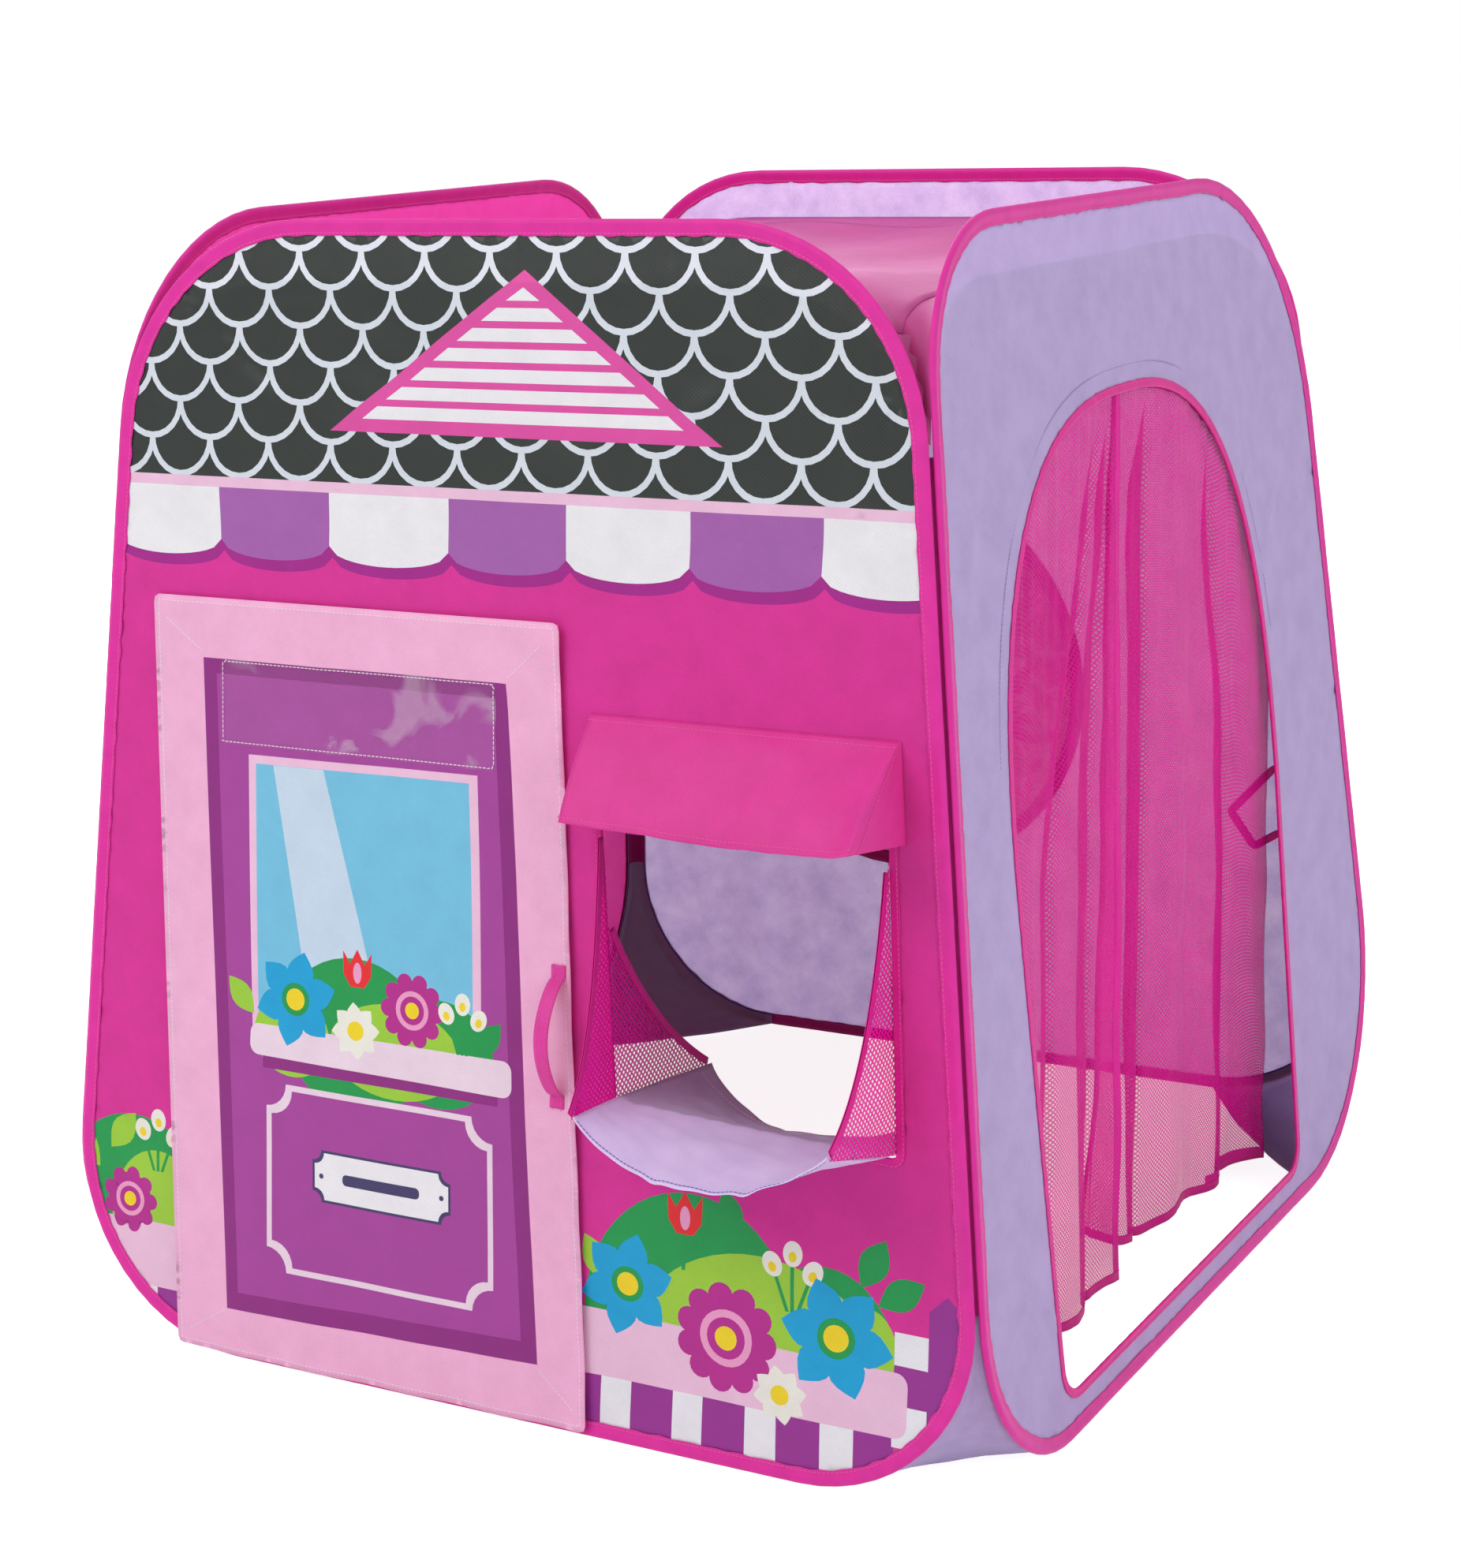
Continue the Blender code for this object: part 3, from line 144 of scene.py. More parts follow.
def unit(vectors):
    """Vectors in rows, each at length 1."""
    return vectors / np.maximum(np.linalg.norm(vectors, axis=1, keepdims=True), 1e-12)


def ripples(x, y, length, seed, waves=6):
    """Soft random swells between about -1 and 1, of about one length, in seeded directions."""
    draw = np.random.default_rng(seed)
    total = np.zeros_like(x)
    for _ in range(waves):
        angle, phase = draw.uniform(0, TAU, 2)
        stretched = length * draw.uniform(0.7, 1.5)
        total += np.sin(TAU * (x * math.cos(angle) + y * math.sin(angle)) / stretched + phase)
    return total / math.sqrt(waves)


# ---- Sizes and colours that a user would change


def metres(name, description, default):
    return FloatProperty(name=name, description=description, default=default, unit="LENGTH")


class TentSizes(bpy.types.PropertyGroup):
    width_at_ground: metres("Width at ground", "From side seam to side seam", 1.020)
    depth_at_ground: metres("Depth at ground", "From front wall to back wall", 1.124)
    height: metres("Height", "From the ground to the top of the hoops", 1.100)
    cloth_step: metres("Cloth step", "Spacing of the points in a wall", 0.010)
    swell_depth: metres("Swell depth", "How far a stretched wall waves", 0.0022)
    pucker_depth: metres("Pucker depth", "How far cloth gathers at a seam", 0.0006)
    stitch_pitch: metres("Stitch pitch", "From one stitch to the next", 0.0046)


def colour(name, hex_colour):
    return FloatVectorProperty(
        name=name,
        description=f"Colour of the {name.lower()}",
        default=linear(hex_colour),
        size=4,
        min=0.0,
        max=1.0,
        subtype="COLOR",
    )


class TentColours(bpy.types.PropertyGroup):
    wall_pink: colour("Pink wall", "#D92D95")
    lilac: colour("Lilac wall", "#B5A3D6")
    # The back wall's inner side: its lilac painted lighter, as painted light inside the tent
    lighter_inside_lilac: colour("Lilac back wall inside, painted lighter", "#C9B4EE")
    roof_pink: colour("Roof", "#D4529C")
    binding: colour("Hoop binding", "#DA2A9A")
    edge_tape: colour("Edge tape", "#DA1390")
    net: colour("Net", "#F004A2")
    webbing: colour("Webbing", "#D8389A")
    awning: colour("Awning", "#DC3092")


def sizes():
    return bpy.context.scene.tent_sizes


def colours():
    return bpy.context.scene.tent_colours


# ---- Materials


def node(tree, kind, inputs=None, **settings):
    """Adds a shader node with its settings, and links or sets its inputs."""
    made = tree.nodes.new("ShaderNode" + kind)
    for name, value in settings.items():
        setattr(made, name, value)
    for name, value in (inputs or {}).items():
        socket = made.inputs[name]
        if isinstance(value, bpy.types.NodeSocket):
            tree.links.new(value, socket)
        else:
            socket.default_value = value
    return made


def blank_material(name):
    made = bpy.data.materials.new(name)
    made.use_nodes = True
    made.node_tree.nodes.clear()
    return made, made.node_tree


def finish_material(tree, inputs):
    shader = node(tree, "BsdfPrincipled", inputs)
    node(tree, "OutputMaterial", {"Surface": shader.outputs["BSDF"]})
    return shader


def scaled(colour_value, factor):
    return [min(1.0, c * factor) for c in colour_value[:3]] + [1.0]


def wave_scale(pitch):
    """The scale of a wave texture whose bands repeat at a pitch in metres."""
    return TAU / 20 / pitch


def spunbond(colour_value, key, roughness=0.72, shine=0.35, mottle=0.10, dot=0.90, glow=0.5):
    """Spunbond polypropylene, the non-woven cloth of such tents: fibres blown into a cloudy web and
    pinned by a hot roller, so it shows soft clouds and a fine slanted grid of pressed dots. It is
    thin enough for daylight to glow through."""
    if key in bpy.data.materials:
        return bpy.data.materials[key]
    made, tree = blank_material(key)
    # The roller's dots stand about 1.5 mm apart; drawn at 2.6 mm so that they show in the render
    dot_pitch = 2.6 * MM
    flat = node(tree, "Attribute", attribute_name="flat").outputs["Vector"]
    turn = (0, 0, math.radians(35))
    place = node(tree, "Mapping", {"Vector": flat, "Rotation": turn}).outputs["Vector"]
    rows = {"Vector": place, "Scale": wave_scale(dot_pitch)}
    one_way = node(tree, "TexWave", rows, bands_direction="X").outputs["Fac"]
    other_way = node(tree, "TexWave", rows, bands_direction="Y").outputs["Fac"]
    dots = node(tree, "Math", {0: one_way, 1: other_way}, operation="MULTIPLY").outputs[0]
    cloudy = {"Vector": place, "Scale": 1 / (38 * MM), "Detail": 5.0, "Roughness": 0.62}
    clouds = node(tree, "TexNoise", cloudy).outputs["Fac"]
    fine = {"Vector": place, "Scale": 1 / (2.2 * MM), "Detail": 3.0, "Roughness": 0.7}
    fibres = node(tree, "TexNoise", fine).outputs["Fac"]
    grain = node(tree, "Mix", {0: 0.35, 2: clouds, 3: fibres}, data_type="FLOAT").outputs[0]
    cloudy = {"Value": grain, "From Min": 0.36, "From Max": 0.66}
    tone = node(tree, "MapRange", cloudy).outputs["Result"]
    shades = {0: tone, 6: scaled(colour_value, 1 - mottle), 7: scaled(colour_value, 1 + mottle)}
    web = node(tree, "Mix", shades, data_type="RGBA").outputs[2]
    shades = {0: dots, 6: web, 7: scaled(colour_value, dot)}
    pressed = node(tree, "Mix", shades, data_type="RGBA").outputs[2]
    relief = node(tree, "Mix", {0: 0.5, 2: dots, 3: fibres}, data_type="FLOAT").outputs[0]
    bump = node(tree, "Bump", {"Height": relief, "Strength": 0.35, "Distance": 0.25 * MM})
    look = {"Base Color": pressed, "Roughness": roughness, "Specular IOR Level": shine}
    look |= {"Normal": bump.outputs["Normal"], "Subsurface Weight": glow}
    look |= {"Subsurface Radius": (1.0, 1.0, 1.0), "Subsurface Scale": 4 * MM}
    finish_material(tree, look)
    return made


def tape(colour_value, key):
    """Woven polyester binding tape, folded and sewn: fine ribs across it and a satin gloss."""
    if key in bpy.data.materials:
        return bpy.data.materials[key]
    made, tree = blank_material(key)
    place = node(tree, "Attribute", attribute_name="flat").outputs["Vector"]
    rows = {"Vector": place, "Scale": wave_scale(2.4 * MM)}
    ribs = node(tree, "TexWave", rows, bands_direction="X").outputs["Fac"]
    worn = node(tree, "TexNoise", {"Vector": place, "Scale": 1 / (20 * MM), "Detail": 3.0}).outputs["Fac"]
    shades = {0: worn, 6: scaled(colour_value, 0.84), 7: scaled(colour_value, 1.12)}
    tone = node(tree, "Mix", shades, data_type="RGBA").outputs[2]
    bump = node(tree, "Bump", {"Height": ribs, "Strength": 0.3, "Distance": 0.2 * MM})
    look = {"Base Color": tone, "Roughness": 0.5, "Specular IOR Level": 0.25}
    look |= {"Normal": bump.outputs["Normal"], "Sheen Weight": 0.06}
    finish_material(tree, look)
    return made


def net(colour_value, key, pitch, least, most, turn=math.radians(45)):
    """Knitted polyester net: thin threads round open cells, so what lies behind shows through.
    Real cells are about 1 mm; they are drawn several times wider so that they show in the render."""
    if key in bpy.data.materials:
        return bpy.data.materials[key]
    made, tree = blank_material(key)
    flat = node(tree, "Attribute", attribute_name="flat").outputs["Vector"]
    place = node(tree, "Mapping", {"Vector": flat, "Rotation": (0, 0, turn)}).outputs["Vector"]
    rows = {"Vector": place, "Scale": wave_scale(pitch)}
    one_way = node(tree, "TexWave", rows, bands_direction="X").outputs["Fac"]
    other_way = node(tree, "TexWave", rows, bands_direction="Y").outputs["Fac"]
    either = node(tree, "Math", {0: one_way, 1: other_way}, operation="MAXIMUM").outputs[0]
    threads = {"Value": either, "From Min": 0.55, "From Max": 0.9, "To Min": least, "To Max": most}
    solid = node(tree, "MapRange", threads).outputs["Result"]
    cloudy = {"Vector": place, "Scale": 1 / (55 * MM), "Detail": 3.0}
    clouds = node(tree, "TexNoise", cloudy).outputs["Fac"]
    shades = {0: clouds, 6: scaled(colour_value, 0.85), 7: scaled(colour_value, 1.15)}
    tone = node(tree, "Mix", shades, data_type="RGBA").outputs[2]
    look = {"Base Color": tone, "Roughness": 0.65, "Alpha": solid, "Specular IOR Level": 0.3}
    finish_material(tree, look)
    return made


def clear_film(key, painted_reflection_colour, least, most, wrinkle):
    """Calendered soft PVC: clear and glossy. Its colour is a painted reflection, and pale streaks of painted
    highlight lie where it has been folded.
    """
    if key in bpy.data.materials:
        return bpy.data.materials[key]
    made, tree = blank_material(key)
    place = node(tree, "Attribute", attribute_name="flat").outputs["Vector"]
    creased = {"Vector": place, "Scale": 1 / (wrinkle * MM), "Detail": 3.0, "Distortion": 1.2}
    wrinkled = node(tree, "TexNoise", creased).outputs["Fac"]
    folded = {"Value": wrinkled, "From Min": 0.53, "From Max": 0.63}
    painted_glint = node(tree, "MapRange", folded).outputs["Result"]
    # Painted highlight: pale streaks where the crease noise peaks, which also make the film less clear there
    shades = {0: painted_glint, 6: linear(painted_reflection_colour), 7: linear("#F8EAF6")}
    tone = node(tree, "Mix", shades, data_type="RGBA").outputs[2]
    seen = node(tree, "MapRange", {"Value": painted_glint, "To Min": least, "To Max": most}).outputs["Result"]
    bump = node(tree, "Bump", {"Height": wrinkled, "Strength": 0.2, "Distance": 0.8 * MM})
    look = {"Base Color": tone, "Roughness": 0.12, "IOR": 1.53, "Alpha": seen}
    look |= {"Specular IOR Level": 0.8, "Normal": bump.outputs["Normal"]}
    finish_material(tree, look)
    return made


def steel(name, hex_colour, roughness):
    """Spring wire or a crimped tube of plain steel: drawn lengthwise, so it has a soft streaky shine."""
    made, tree = blank_material(name)
    place = node(tree, "TexCoord").outputs["Object"]
    drawn = {"Vector": place, "Scale": 1 / (1.5 * MM), "Detail": 2.0}
    streaks = node(tree, "TexNoise", drawn).outputs["Fac"]
    uneven = {"Value": streaks, "To Min": roughness * 0.8, "To Max": roughness * 1.3}
    rough = node(tree, "MapRange", uneven).outputs["Result"]
    finish_material(tree, {"Base Color": linear(hex_colour), "Metallic": 1.0, "Roughness": rough})
    return made


def thread(colour_value, key):
    """Spun polyester sewing thread: matt, slightly fuzzy and a little paler than the cloth."""
    if key in bpy.data.materials:
        return bpy.data.materials[key]
    made, tree = blank_material(key)
    place = node(tree, "TexCoord").outputs["Object"]
    twist = node(tree, "TexNoise", {"Vector": place, "Scale": 1 / (0.8 * MM)}).outputs["Fac"]
    shades = {0: twist, 6: scaled(colour_value, 0.8), 7: scaled(colour_value, 1.15)}
    tone = node(tree, "Mix", shades, data_type="RGBA").outputs[2]
    finish_material(tree, {"Base Color": tone, "Roughness": 0.8})
    return made


# ---- Walls and outlines


def rounded(corners, radii, steps):
    """The points of a polygon, anticlockwise, with each corner an arc."""
    points = []
    for index, corner in enumerate(corners):
        here = Vector(corner)
        back = (Vector(corners[index - 1]) - here).normalized()
        ahead = (Vector(corners[(index + 1) % len(corners)]) - here).normalized()
        half = back.angle(ahead) / 2
        centre = here + (back + ahead).normalized() * radii[index] / math.sin(half)
        start = here + back * radii[index] / math.tan(half) - centre
        sweep = math.pi - 2 * half
        for step in range(steps + 1):
            points.append(tuple(centre + Matrix.Rotation(sweep * step / steps, 2) @ start))
    return np.array(points)


def lefts(points, closed=True):
    """Unit vectors to the left of a line at each point."""
    if closed:
        along = np.roll(points, -1, axis=0) - np.roll(points, 1, axis=0)
    else:
        along = np.gradient(points, axis=0)
    along = unit(along)
    return np.stack([-along[:, 1], along[:, 0]], axis=1)


def beside(line, left, depths):
    """Both coordinates of places at depths to a line's left, in a row for each of its points."""
    return (line[:, i, None] + left[:, i, None] * depths for i in range(2))


def evenly(points, step, closed=True):
    """Points at even steps along a line, and how far along each one is."""
    points = np.asarray(points, float)
    line = np.vstack([points, points[:1]]) if closed else points
    spaced, at = spread(line, max(2, round(lengths_along(line)[-1] / step)))
    return (spaced[:-1], at[:-1]) if closed else (spaced, at)


def nearest(places, line, closed=True):
    """Each place's distance to a line, and how far along the line its nearest point is."""
    line = np.asarray(line, float)
    ends = np.roll(line, -1, axis=0) if closed else line[1:]
    starts = line if closed else line[:-1]
    runs = ends - starts
    lengths = np.linalg.norm(runs, axis=1)
    begun = np.concatenate([[0], np.cumsum(lengths)[:-1]])
    away, along = np.empty(len(places)), np.empty(len(places))
    for first in range(0, len(places), 2000):
        some = places[first : first + 2000, None, :2]
        share = ((some - starts) * runs).sum(-1) / np.maximum(lengths**2, 1e-12)
        share = np.clip(share, 0, 1)
        gap = np.linalg.norm(starts + share[..., None] * runs - some, axis=-1)
        best = gap.argmin(axis=1)
        rows = np.arange(len(best))
        away[first : first + 2000] = gap[rows, best]
        along[first : first + 2000] = begun[best] + share[rows, best] * lengths[best]
    return away, along


def inside(places, loop):
    """Which places lie within a closed line."""
    loop = np.asarray(loop, float)
    near = ((places >= loop.min(axis=0)) & (places <= loop.max(axis=0))).all(axis=1)
    across, up = places[near].T
    odd = np.zeros(len(across), bool)
    for (x0, y0), (x1, y1) in zip(loop, np.roll(loop, -1, axis=0)):
        if y0 != y1:
            odd ^= ((y0 > up) != (y1 > up)) & (across < x0 + (up - y0) * (x1 - x0) / (y1 - y0))
    found = near.copy()
    found[near] = odd
    return found


class Wall:
    """One leaning wall: its place in the ring and its outline."""

    def __init__(self, name, turns, half_width, set_back):
        self.name = name
        height = sizes().height
        self.half_bottom = half_width
        self.half_top = half_width * ROOF_SHARE
        lean = math.atan2(set_back * (1 - ROOF_SHARE), height)
        self.slope = height / math.cos(lean)
        self.upright = math.cos(lean)
        stand = Matrix.Translation((0, -set_back, 0)) @ Matrix.Rotation(QUARTER_TURN - lean, 4, "X")
        middle = Matrix.Translation((0, STAND_BACK, 0))
        self.matrix = middle @ Matrix.Rotation(turns * QUARTER_TURN, 4, "Z") @ stand
        self.array = np.array(self.matrix)

    def half_width(self, up):
        return mix(self.half_bottom, self.half_top, up / self.slope)

    def from_left(self, margin, up):
        """A place in from the wall's left seam, at a height up it."""
        return (margin - self.half_width(up), up)

    def from_right(self, margin, up):
        return (self.half_width(up) - margin, up)

    def outline(self):
        bottom, top = self.half_bottom - SEAM_CLEARANCE, self.half_top - SEAM_CLEARANCE
        corners = [(-bottom, 0), (bottom, 0), (top, self.slope), (-top, self.slope)]
        return rounded(corners, HOOP_RADII[self.name], CORNER_STEPS)

    def place(self, across, up, out):
        """World places of wall coordinates: across it, up it and outward from it."""
        across, up, out = np.broadcast_arrays(across, up, out)
        local = np.stack([across, up, out], axis=-1)
        return local @ self.array[:3, :3].T + self.array[:3, 3]

    def normal(self):
        return self.array[:3, 2]


def wall_of(name):
    turns = WALLS.index(name)
    halves = sizes().width_at_ground / 2, sizes().depth_at_ground / 2
    return Wall(name, turns, halves[turns % 2], halves[1 - turns % 2])


# ---- Meshes


def vertex_normals(points, faces):
    """Unit normals of points from the faces round them."""
    a, b, c, *last = points[faces].transpose(1, 0, 2)
    across = np.cross(c - a, last[0] - b) if last else np.cross(b - a, c - a)
    total = np.zeros_like(points)
    for corner in faces.T:
        np.add.at(total, corner, across)
    return unit(total)


def new_piece(name, points, faces, looks, face_looks=None, flat=None, rim=0):
    """An object of points and faces; its last faces, as many as rim, are a sheet's cut edge."""
    mesh = bpy.data.meshes.new(name)
    mesh.from_pydata(points.tolist(), [], faces)
    for look in looks:
        mesh.materials.append(look)
    if face_looks is not None:
        mesh.polygons.foreach_set("material_index", np.asarray(face_looks, np.int32))
    if flat is not None:
        layer = mesh.attributes.new("flat", "FLOAT_VECTOR", "POINT")
        layer.data.foreach_set("vector", np.ascontiguousarray(flat, np.float32).ravel())
    soft = np.arange(len(mesh.polygons)) < len(mesh.polygons) - rim
    mesh.polygons.foreach_set("use_smooth", soft)
    mesh.validate()
    made = bpy.data.objects.new(name, mesh)
    bpy.context.scene.collection.objects.link(made)
    return made


def flat_places(across, up):
    return np.stack([across, up, np.zeros_like(across)], axis=-1)


def cloth_piece(name, points, faces, thickness, looks, flat, face_looks=None, lining=None):
    """A sheet of cloth given its thickness: printed on the side its faces look to, plain behind."""
    count = len(points)
    normals = vertex_normals(points, faces)
    both = np.vstack([points + normals * thickness / 2, points - normals * thickness / 2])
    edges = np.stack([faces.T, np.roll(faces, -1, axis=1).T], axis=-1).reshape(-1, 2)
    edges = dict.fromkeys(map(tuple, edges.tolist()))
    rim = [[e, s, s + count, e + count] for s, e in edges if (e, s) not in edges]
    all_faces = faces.tolist() + (faces[:, ::-1] + count).tolist() + rim
    front = np.zeros(len(faces), int) if face_looks is None else face_looks
    if lining is None:
        all_looks = [front, front, np.zeros(len(rim), int)]
    else:
        all_looks = [front, np.full(len(faces) + len(rim), len(looks))]
        looks = looks + [lining]
    flat = np.vstack([flat, flat])
    return new_piece(name, both, all_faces, looks, np.concatenate(all_looks), flat, len(rim))


def fit(made, body, node_name, **sheet):
    """Fixes a soft piece to its body in place of a node; the way its cloth hangs is passed in, but not used.
    """
    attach(made, body)
    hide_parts(node_name)


def grid_faces(columns, rows):
    """Quads of a grid whose points run along its rows."""
    wide = columns + 1
    first = (np.arange(rows)[:, None] * wide + np.arange(columns)[None, :]).reshape(-1, 1)
    return first + np.array([0, 1, wide + 1, wide])


def tube_faces(rings, count, closed):
    """Quads round a tube of rings of points, with its two ends where it doesn't close on itself."""
    ring = np.arange(rings if closed else rings - 1)[:, None]
    first, after = ring * count, (ring + 1) % rings * count
    here = np.arange(count)[None, :]
    ahead = (here + 1) % count
    quads = np.stack([first + here, first + ahead, after + ahead, after + here], axis=-1)
    ends = [list(range(count))[::-1], list(range((rings - 1) * count, rings * count))]
    return quads.reshape(-1, 4).tolist() + ([] if closed else ends)


def grid_shares(columns, rows):
    down, across = np.meshgrid(np.linspace(0, 1, rows + 1), np.linspace(0, 1, columns + 1), indexing="ij")
    return across.ravel(), down.ravel()


def in_cloth(places, sewn):
    """Which places lie within a cloth's outline, its first loop, and outside its holes."""
    return np.all([inside(places, loop) == (i == 0) for i, loop in enumerate(sewn)], axis=0)


def cut_cloth(outline, holes, shapes, step):
    """Flat cloth with holes, its triangles split along the edges of the printed shapes."""
    sewn = [evenly(loop, step * 0.7)[0] for loop in [outline] + holes]
    points, edges = [], []
    for loop in sewn + [evenly_if_long(shape, step) for shape, _ in shapes]:
        base = sum(len(p) for p in points)
        points.append(np.asarray(loop, float))
        count = len(loop)
        edges += [(base + i, base + (i + 1) % count) for i in range(count)]
    low, high = outline.min(axis=0), outline.max(axis=0)
    xs = np.arange(low[0], high[0], step)
    ys = np.arange(low[1], high[1], step * math.sqrt(0.75))
    grid = np.array([(x + (step / 2 if i % 2 else 0), y) for i, y in enumerate(ys) for x in xs])
    grid = grid[in_cloth(grid, sewn)]
    for loop in sewn:
        grid = grid[nearest(grid, loop)[0] > step * 0.45]
    points.append(grid)
    everything = [Vector(p) for p in np.vstack(points).tolist()]
    cut = delaunay_2d_cdt(everything, edges, [], 0, 1e-6, False)
    places = np.array([tuple(v) for v in cut[0]])
    faces = np.array([f for f in cut[2] if len(f) == 3])
    middles = places[faces].mean(axis=1)
    kept = in_cloth(middles, sewn)
    faces, middles = faces[kept], middles[kept]
    a, b, c = places[faces].transpose(1, 0, 2)
    turn = (b[:, 0] - a[:, 0]) * (c[:, 1] - a[:, 1]) - (b[:, 1] - a[:, 1]) * (c[:, 0] - a[:, 0])
    faces[turn < 0] = faces[turn < 0][:, ::-1]
    prints = np.zeros(len(faces), int)
    for shape, ink in shapes:
        prints[inside(middles, shape)] = ink
    used, numbers = np.unique(faces, return_inverse=True)
    return places[used], numbers.reshape(-1, 3), prints, sewn


def evenly_if_long(shape, step):
    """A printed shape's outline with its long edges split, so that it bends with the cloth."""
    shape = np.asarray(shape, float)
    pieces = []
    for start, end in zip(shape, np.roll(shape, -1, axis=0)):
        count = max(1, math.ceil(np.linalg.norm(end - start) / (step * 1.5)))
        pieces += [start + (end - start) * i / count for i in range(count)]
    return np.array(pieces)


def swept(name, wall, loop, profile, look, wave, ground=False):
    """A folded tape round a loop on a wall. The profile gives depth to the line's left and height."""
    line, along = evenly(loop, 5 * MM)
    left = lefts(line)
    depth, height = np.array(profile).T
    count = len(profile)
    girth = lengths_along(profile)
    depths = np.repeat(depth[None, :], len(line), axis=0)
    heights = np.repeat(height[None, :], len(line), axis=0)
    shift_depth, shift_height = wave(along[:, None], depths, heights)
    depths, heights = depths + shift_depth, heights + shift_height
    across, up = beside(line, left, depths)
    points = wall.place(across, up, CLOTH_MIDDLE + heights).reshape(-1, 3)
    if ground:
        points[:, 2] = np.maximum(points[:, 2], 0.0)
    flat = flat_places(np.repeat(along, count), np.tile(girth, len(line)))
    return new_piece(name, points, tube_faces(len(line), count, True), [look], None, flat)


def polygon_area(loop):
    x, y = loop[:, 0], loop[:, 1]
    return abs((x * np.roll(y, -1) - y * np.roll(x, -1)).sum()) / 2


def cloth_area(points, triangles):
    a, b, c = points[triangles].transpose(1, 0, 2)
    return float(np.linalg.norm(np.cross(b - a, c - a), axis=1).sum() / 2)


class Seams:
    """Rows of stitches in one thread, gathered into one piece for each body."""

    def __init__(self, name, thread_colour):
        self.name = name
        self.thread_colour = thread_colour
        self.points, self.faces = [], []
        self.count = 0

    def sew(self, line, up, pitch=None, width=0.9 * MM, rise=0.5 * MM, closed=False, share=0.72):
        """Stitches along a line of world places, each a small ridge standing along up."""
        pitch = pitch or sizes().stitch_pitch
        spaced, _ = evenly(line, pitch, closed)
        along = unit(np.roll(spaced, -1, axis=0) - spaced if closed else np.gradient(spaced, axis=0))
        up = np.broadcast_to(np.asarray(up, float), spaced.shape)
        side = np.cross(up, along)
        half, wide = pitch * share / 2, width / 2
        corners = [
            spaced - along * half - side * wide,
            spaced + along * half - side * wide,
            spaced + along * half + side * wide,
            spaced - along * half + side * wide,
            spaced - along * half * 0.6 + up * rise,
            spaced + along * half * 0.6 + up * rise,
        ]
        block = np.stack(corners, axis=1).reshape(-1, 3)
        starts = self.count + np.arange(len(spaced)) * 6
        for start in starts.tolist():
            for face in ((0, 1, 5, 4), (2, 3, 4, 5), (1, 2, 5), (3, 0, 4)):
                self.faces.append([start + i for i in face])
        self.points.append(block)
        self.count += len(block)

    def make(self, body):
        look = thread(linear(THREADS[self.thread_colour]), f"{self.thread_colour} polyester thread")
        made = new_piece(self.name, np.vstack(self.points), self.faces, [look])
        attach(made, body)


THREADS = {"pink": "#E9559F", "pale": "#F6DCEA", "lilac": "#A996CC", "indigo": "#5A50B4"}
SEAMS = {}


def seams(body, thread_colour="pink"):
    key = (body, thread_colour)
    if key not in SEAMS:
        SEAMS[key] = Seams(f"{body}_{thread_colour}_stitching", thread_colour)
    return SEAMS[key]


def stitch_places(line, closed=True):
    return evenly(line, sizes().stitch_pitch, closed)[0]


def sew_round(wall, loop, height, side=1):
    """A closed row of stitches on the outer side of a wall, or with a side of -1 on its inner one."""
    line = stitch_places(loop)
    seams(wall.name).sew(wall.place(*line.T, height), wall.normal() * side, closed=True)


def crease(places, start, end, width, depth):
    """A soft fold along a line, deepest at its start and gone at its end."""
    start, end = np.array(start), np.array(end)
    run = end - start
    length = np.linalg.norm(run)
    share = ((places - start) @ run) / length**2
    off = (places - start) @ np.array([-run[1], run[0]]) / length
    fade = smooth(share / 0.08 + 1) * (1 - smooth(share))
    return depth * bell(off, 0, width * (0.5 + np.clip(share, 0, 1))) * fade


def hoop_creases(outline, seed, count, reach, depth):
    """Soft folds that run inward from a hoop, where the cloth is drawn tight."""
    draw = np.random.default_rng(seed)
    line, _ = evenly(outline, 5 * MM)
    left = lefts(line)
    creases = []
    for index in draw.choice(len(line), count, replace=False):
        slant = draw.uniform(-0.7, 0.7)
        inward = left[index] * math.cos(slant) + np.array([-left[index][1], left[index][0]]) * math.sin(slant)
        end = line[index] + inward * reach * draw.uniform(0.6, 1.2)
        creases.append((line[index], end, draw.uniform(5, 9) * MM, -depth * draw.uniform(0.6, 1.2)))
    return creases


def wall_relief(places, sewn, seed, creases=()):
    """How far a stretched wall stands out of its plane: still at its seams, waving between them."""
    away = np.full(len(places), 1.0)
    pucker = np.zeros(len(places))
    for index, loop in enumerate(sewn):
        gap, along = nearest(places, loop)
        away = np.minimum(away, gap)
        gather = np.sin(TAU * along / (17 * MM)) * (0.6 + 0.4 * np.sin(TAU * along / 0.23 + index))
        pucker += np.exp(-gap / (22 * MM)) * gather
    swell = ripples(places[:, 0], places[:, 1] * 0.7, 0.24, seed)
    swell += 0.45 * ripples(*places.T, 0.09, seed + 1)
    loose = smooth((away - 5 * MM) / (9 * MM))
    relief = sizes().swell_depth * smooth(away / 0.09) * swell
    relief += sizes().pucker_depth * pucker
    for line in creases:
        relief += crease(places, *line)
    return relief * loose


# ---- Printed shapes, in metres across and up a wall


def ring_of(across, up, wide, high, steps=28, turn=0.0):
    """An ellipse's outline, turned about its middle."""
    angles = np.linspace(0, TAU, steps, endpoint=False)
    x, y = wide * np.cos(angles), high * np.sin(angles)
    c, s = math.cos(turn), math.sin(turn)
    return np.stack([across + x * c - y * s, up + x * s + y * c], axis=1)


def bar(left, bottom, right, top):
    return np.array([(left, bottom), (right, bottom), (right, top), (left, top)])


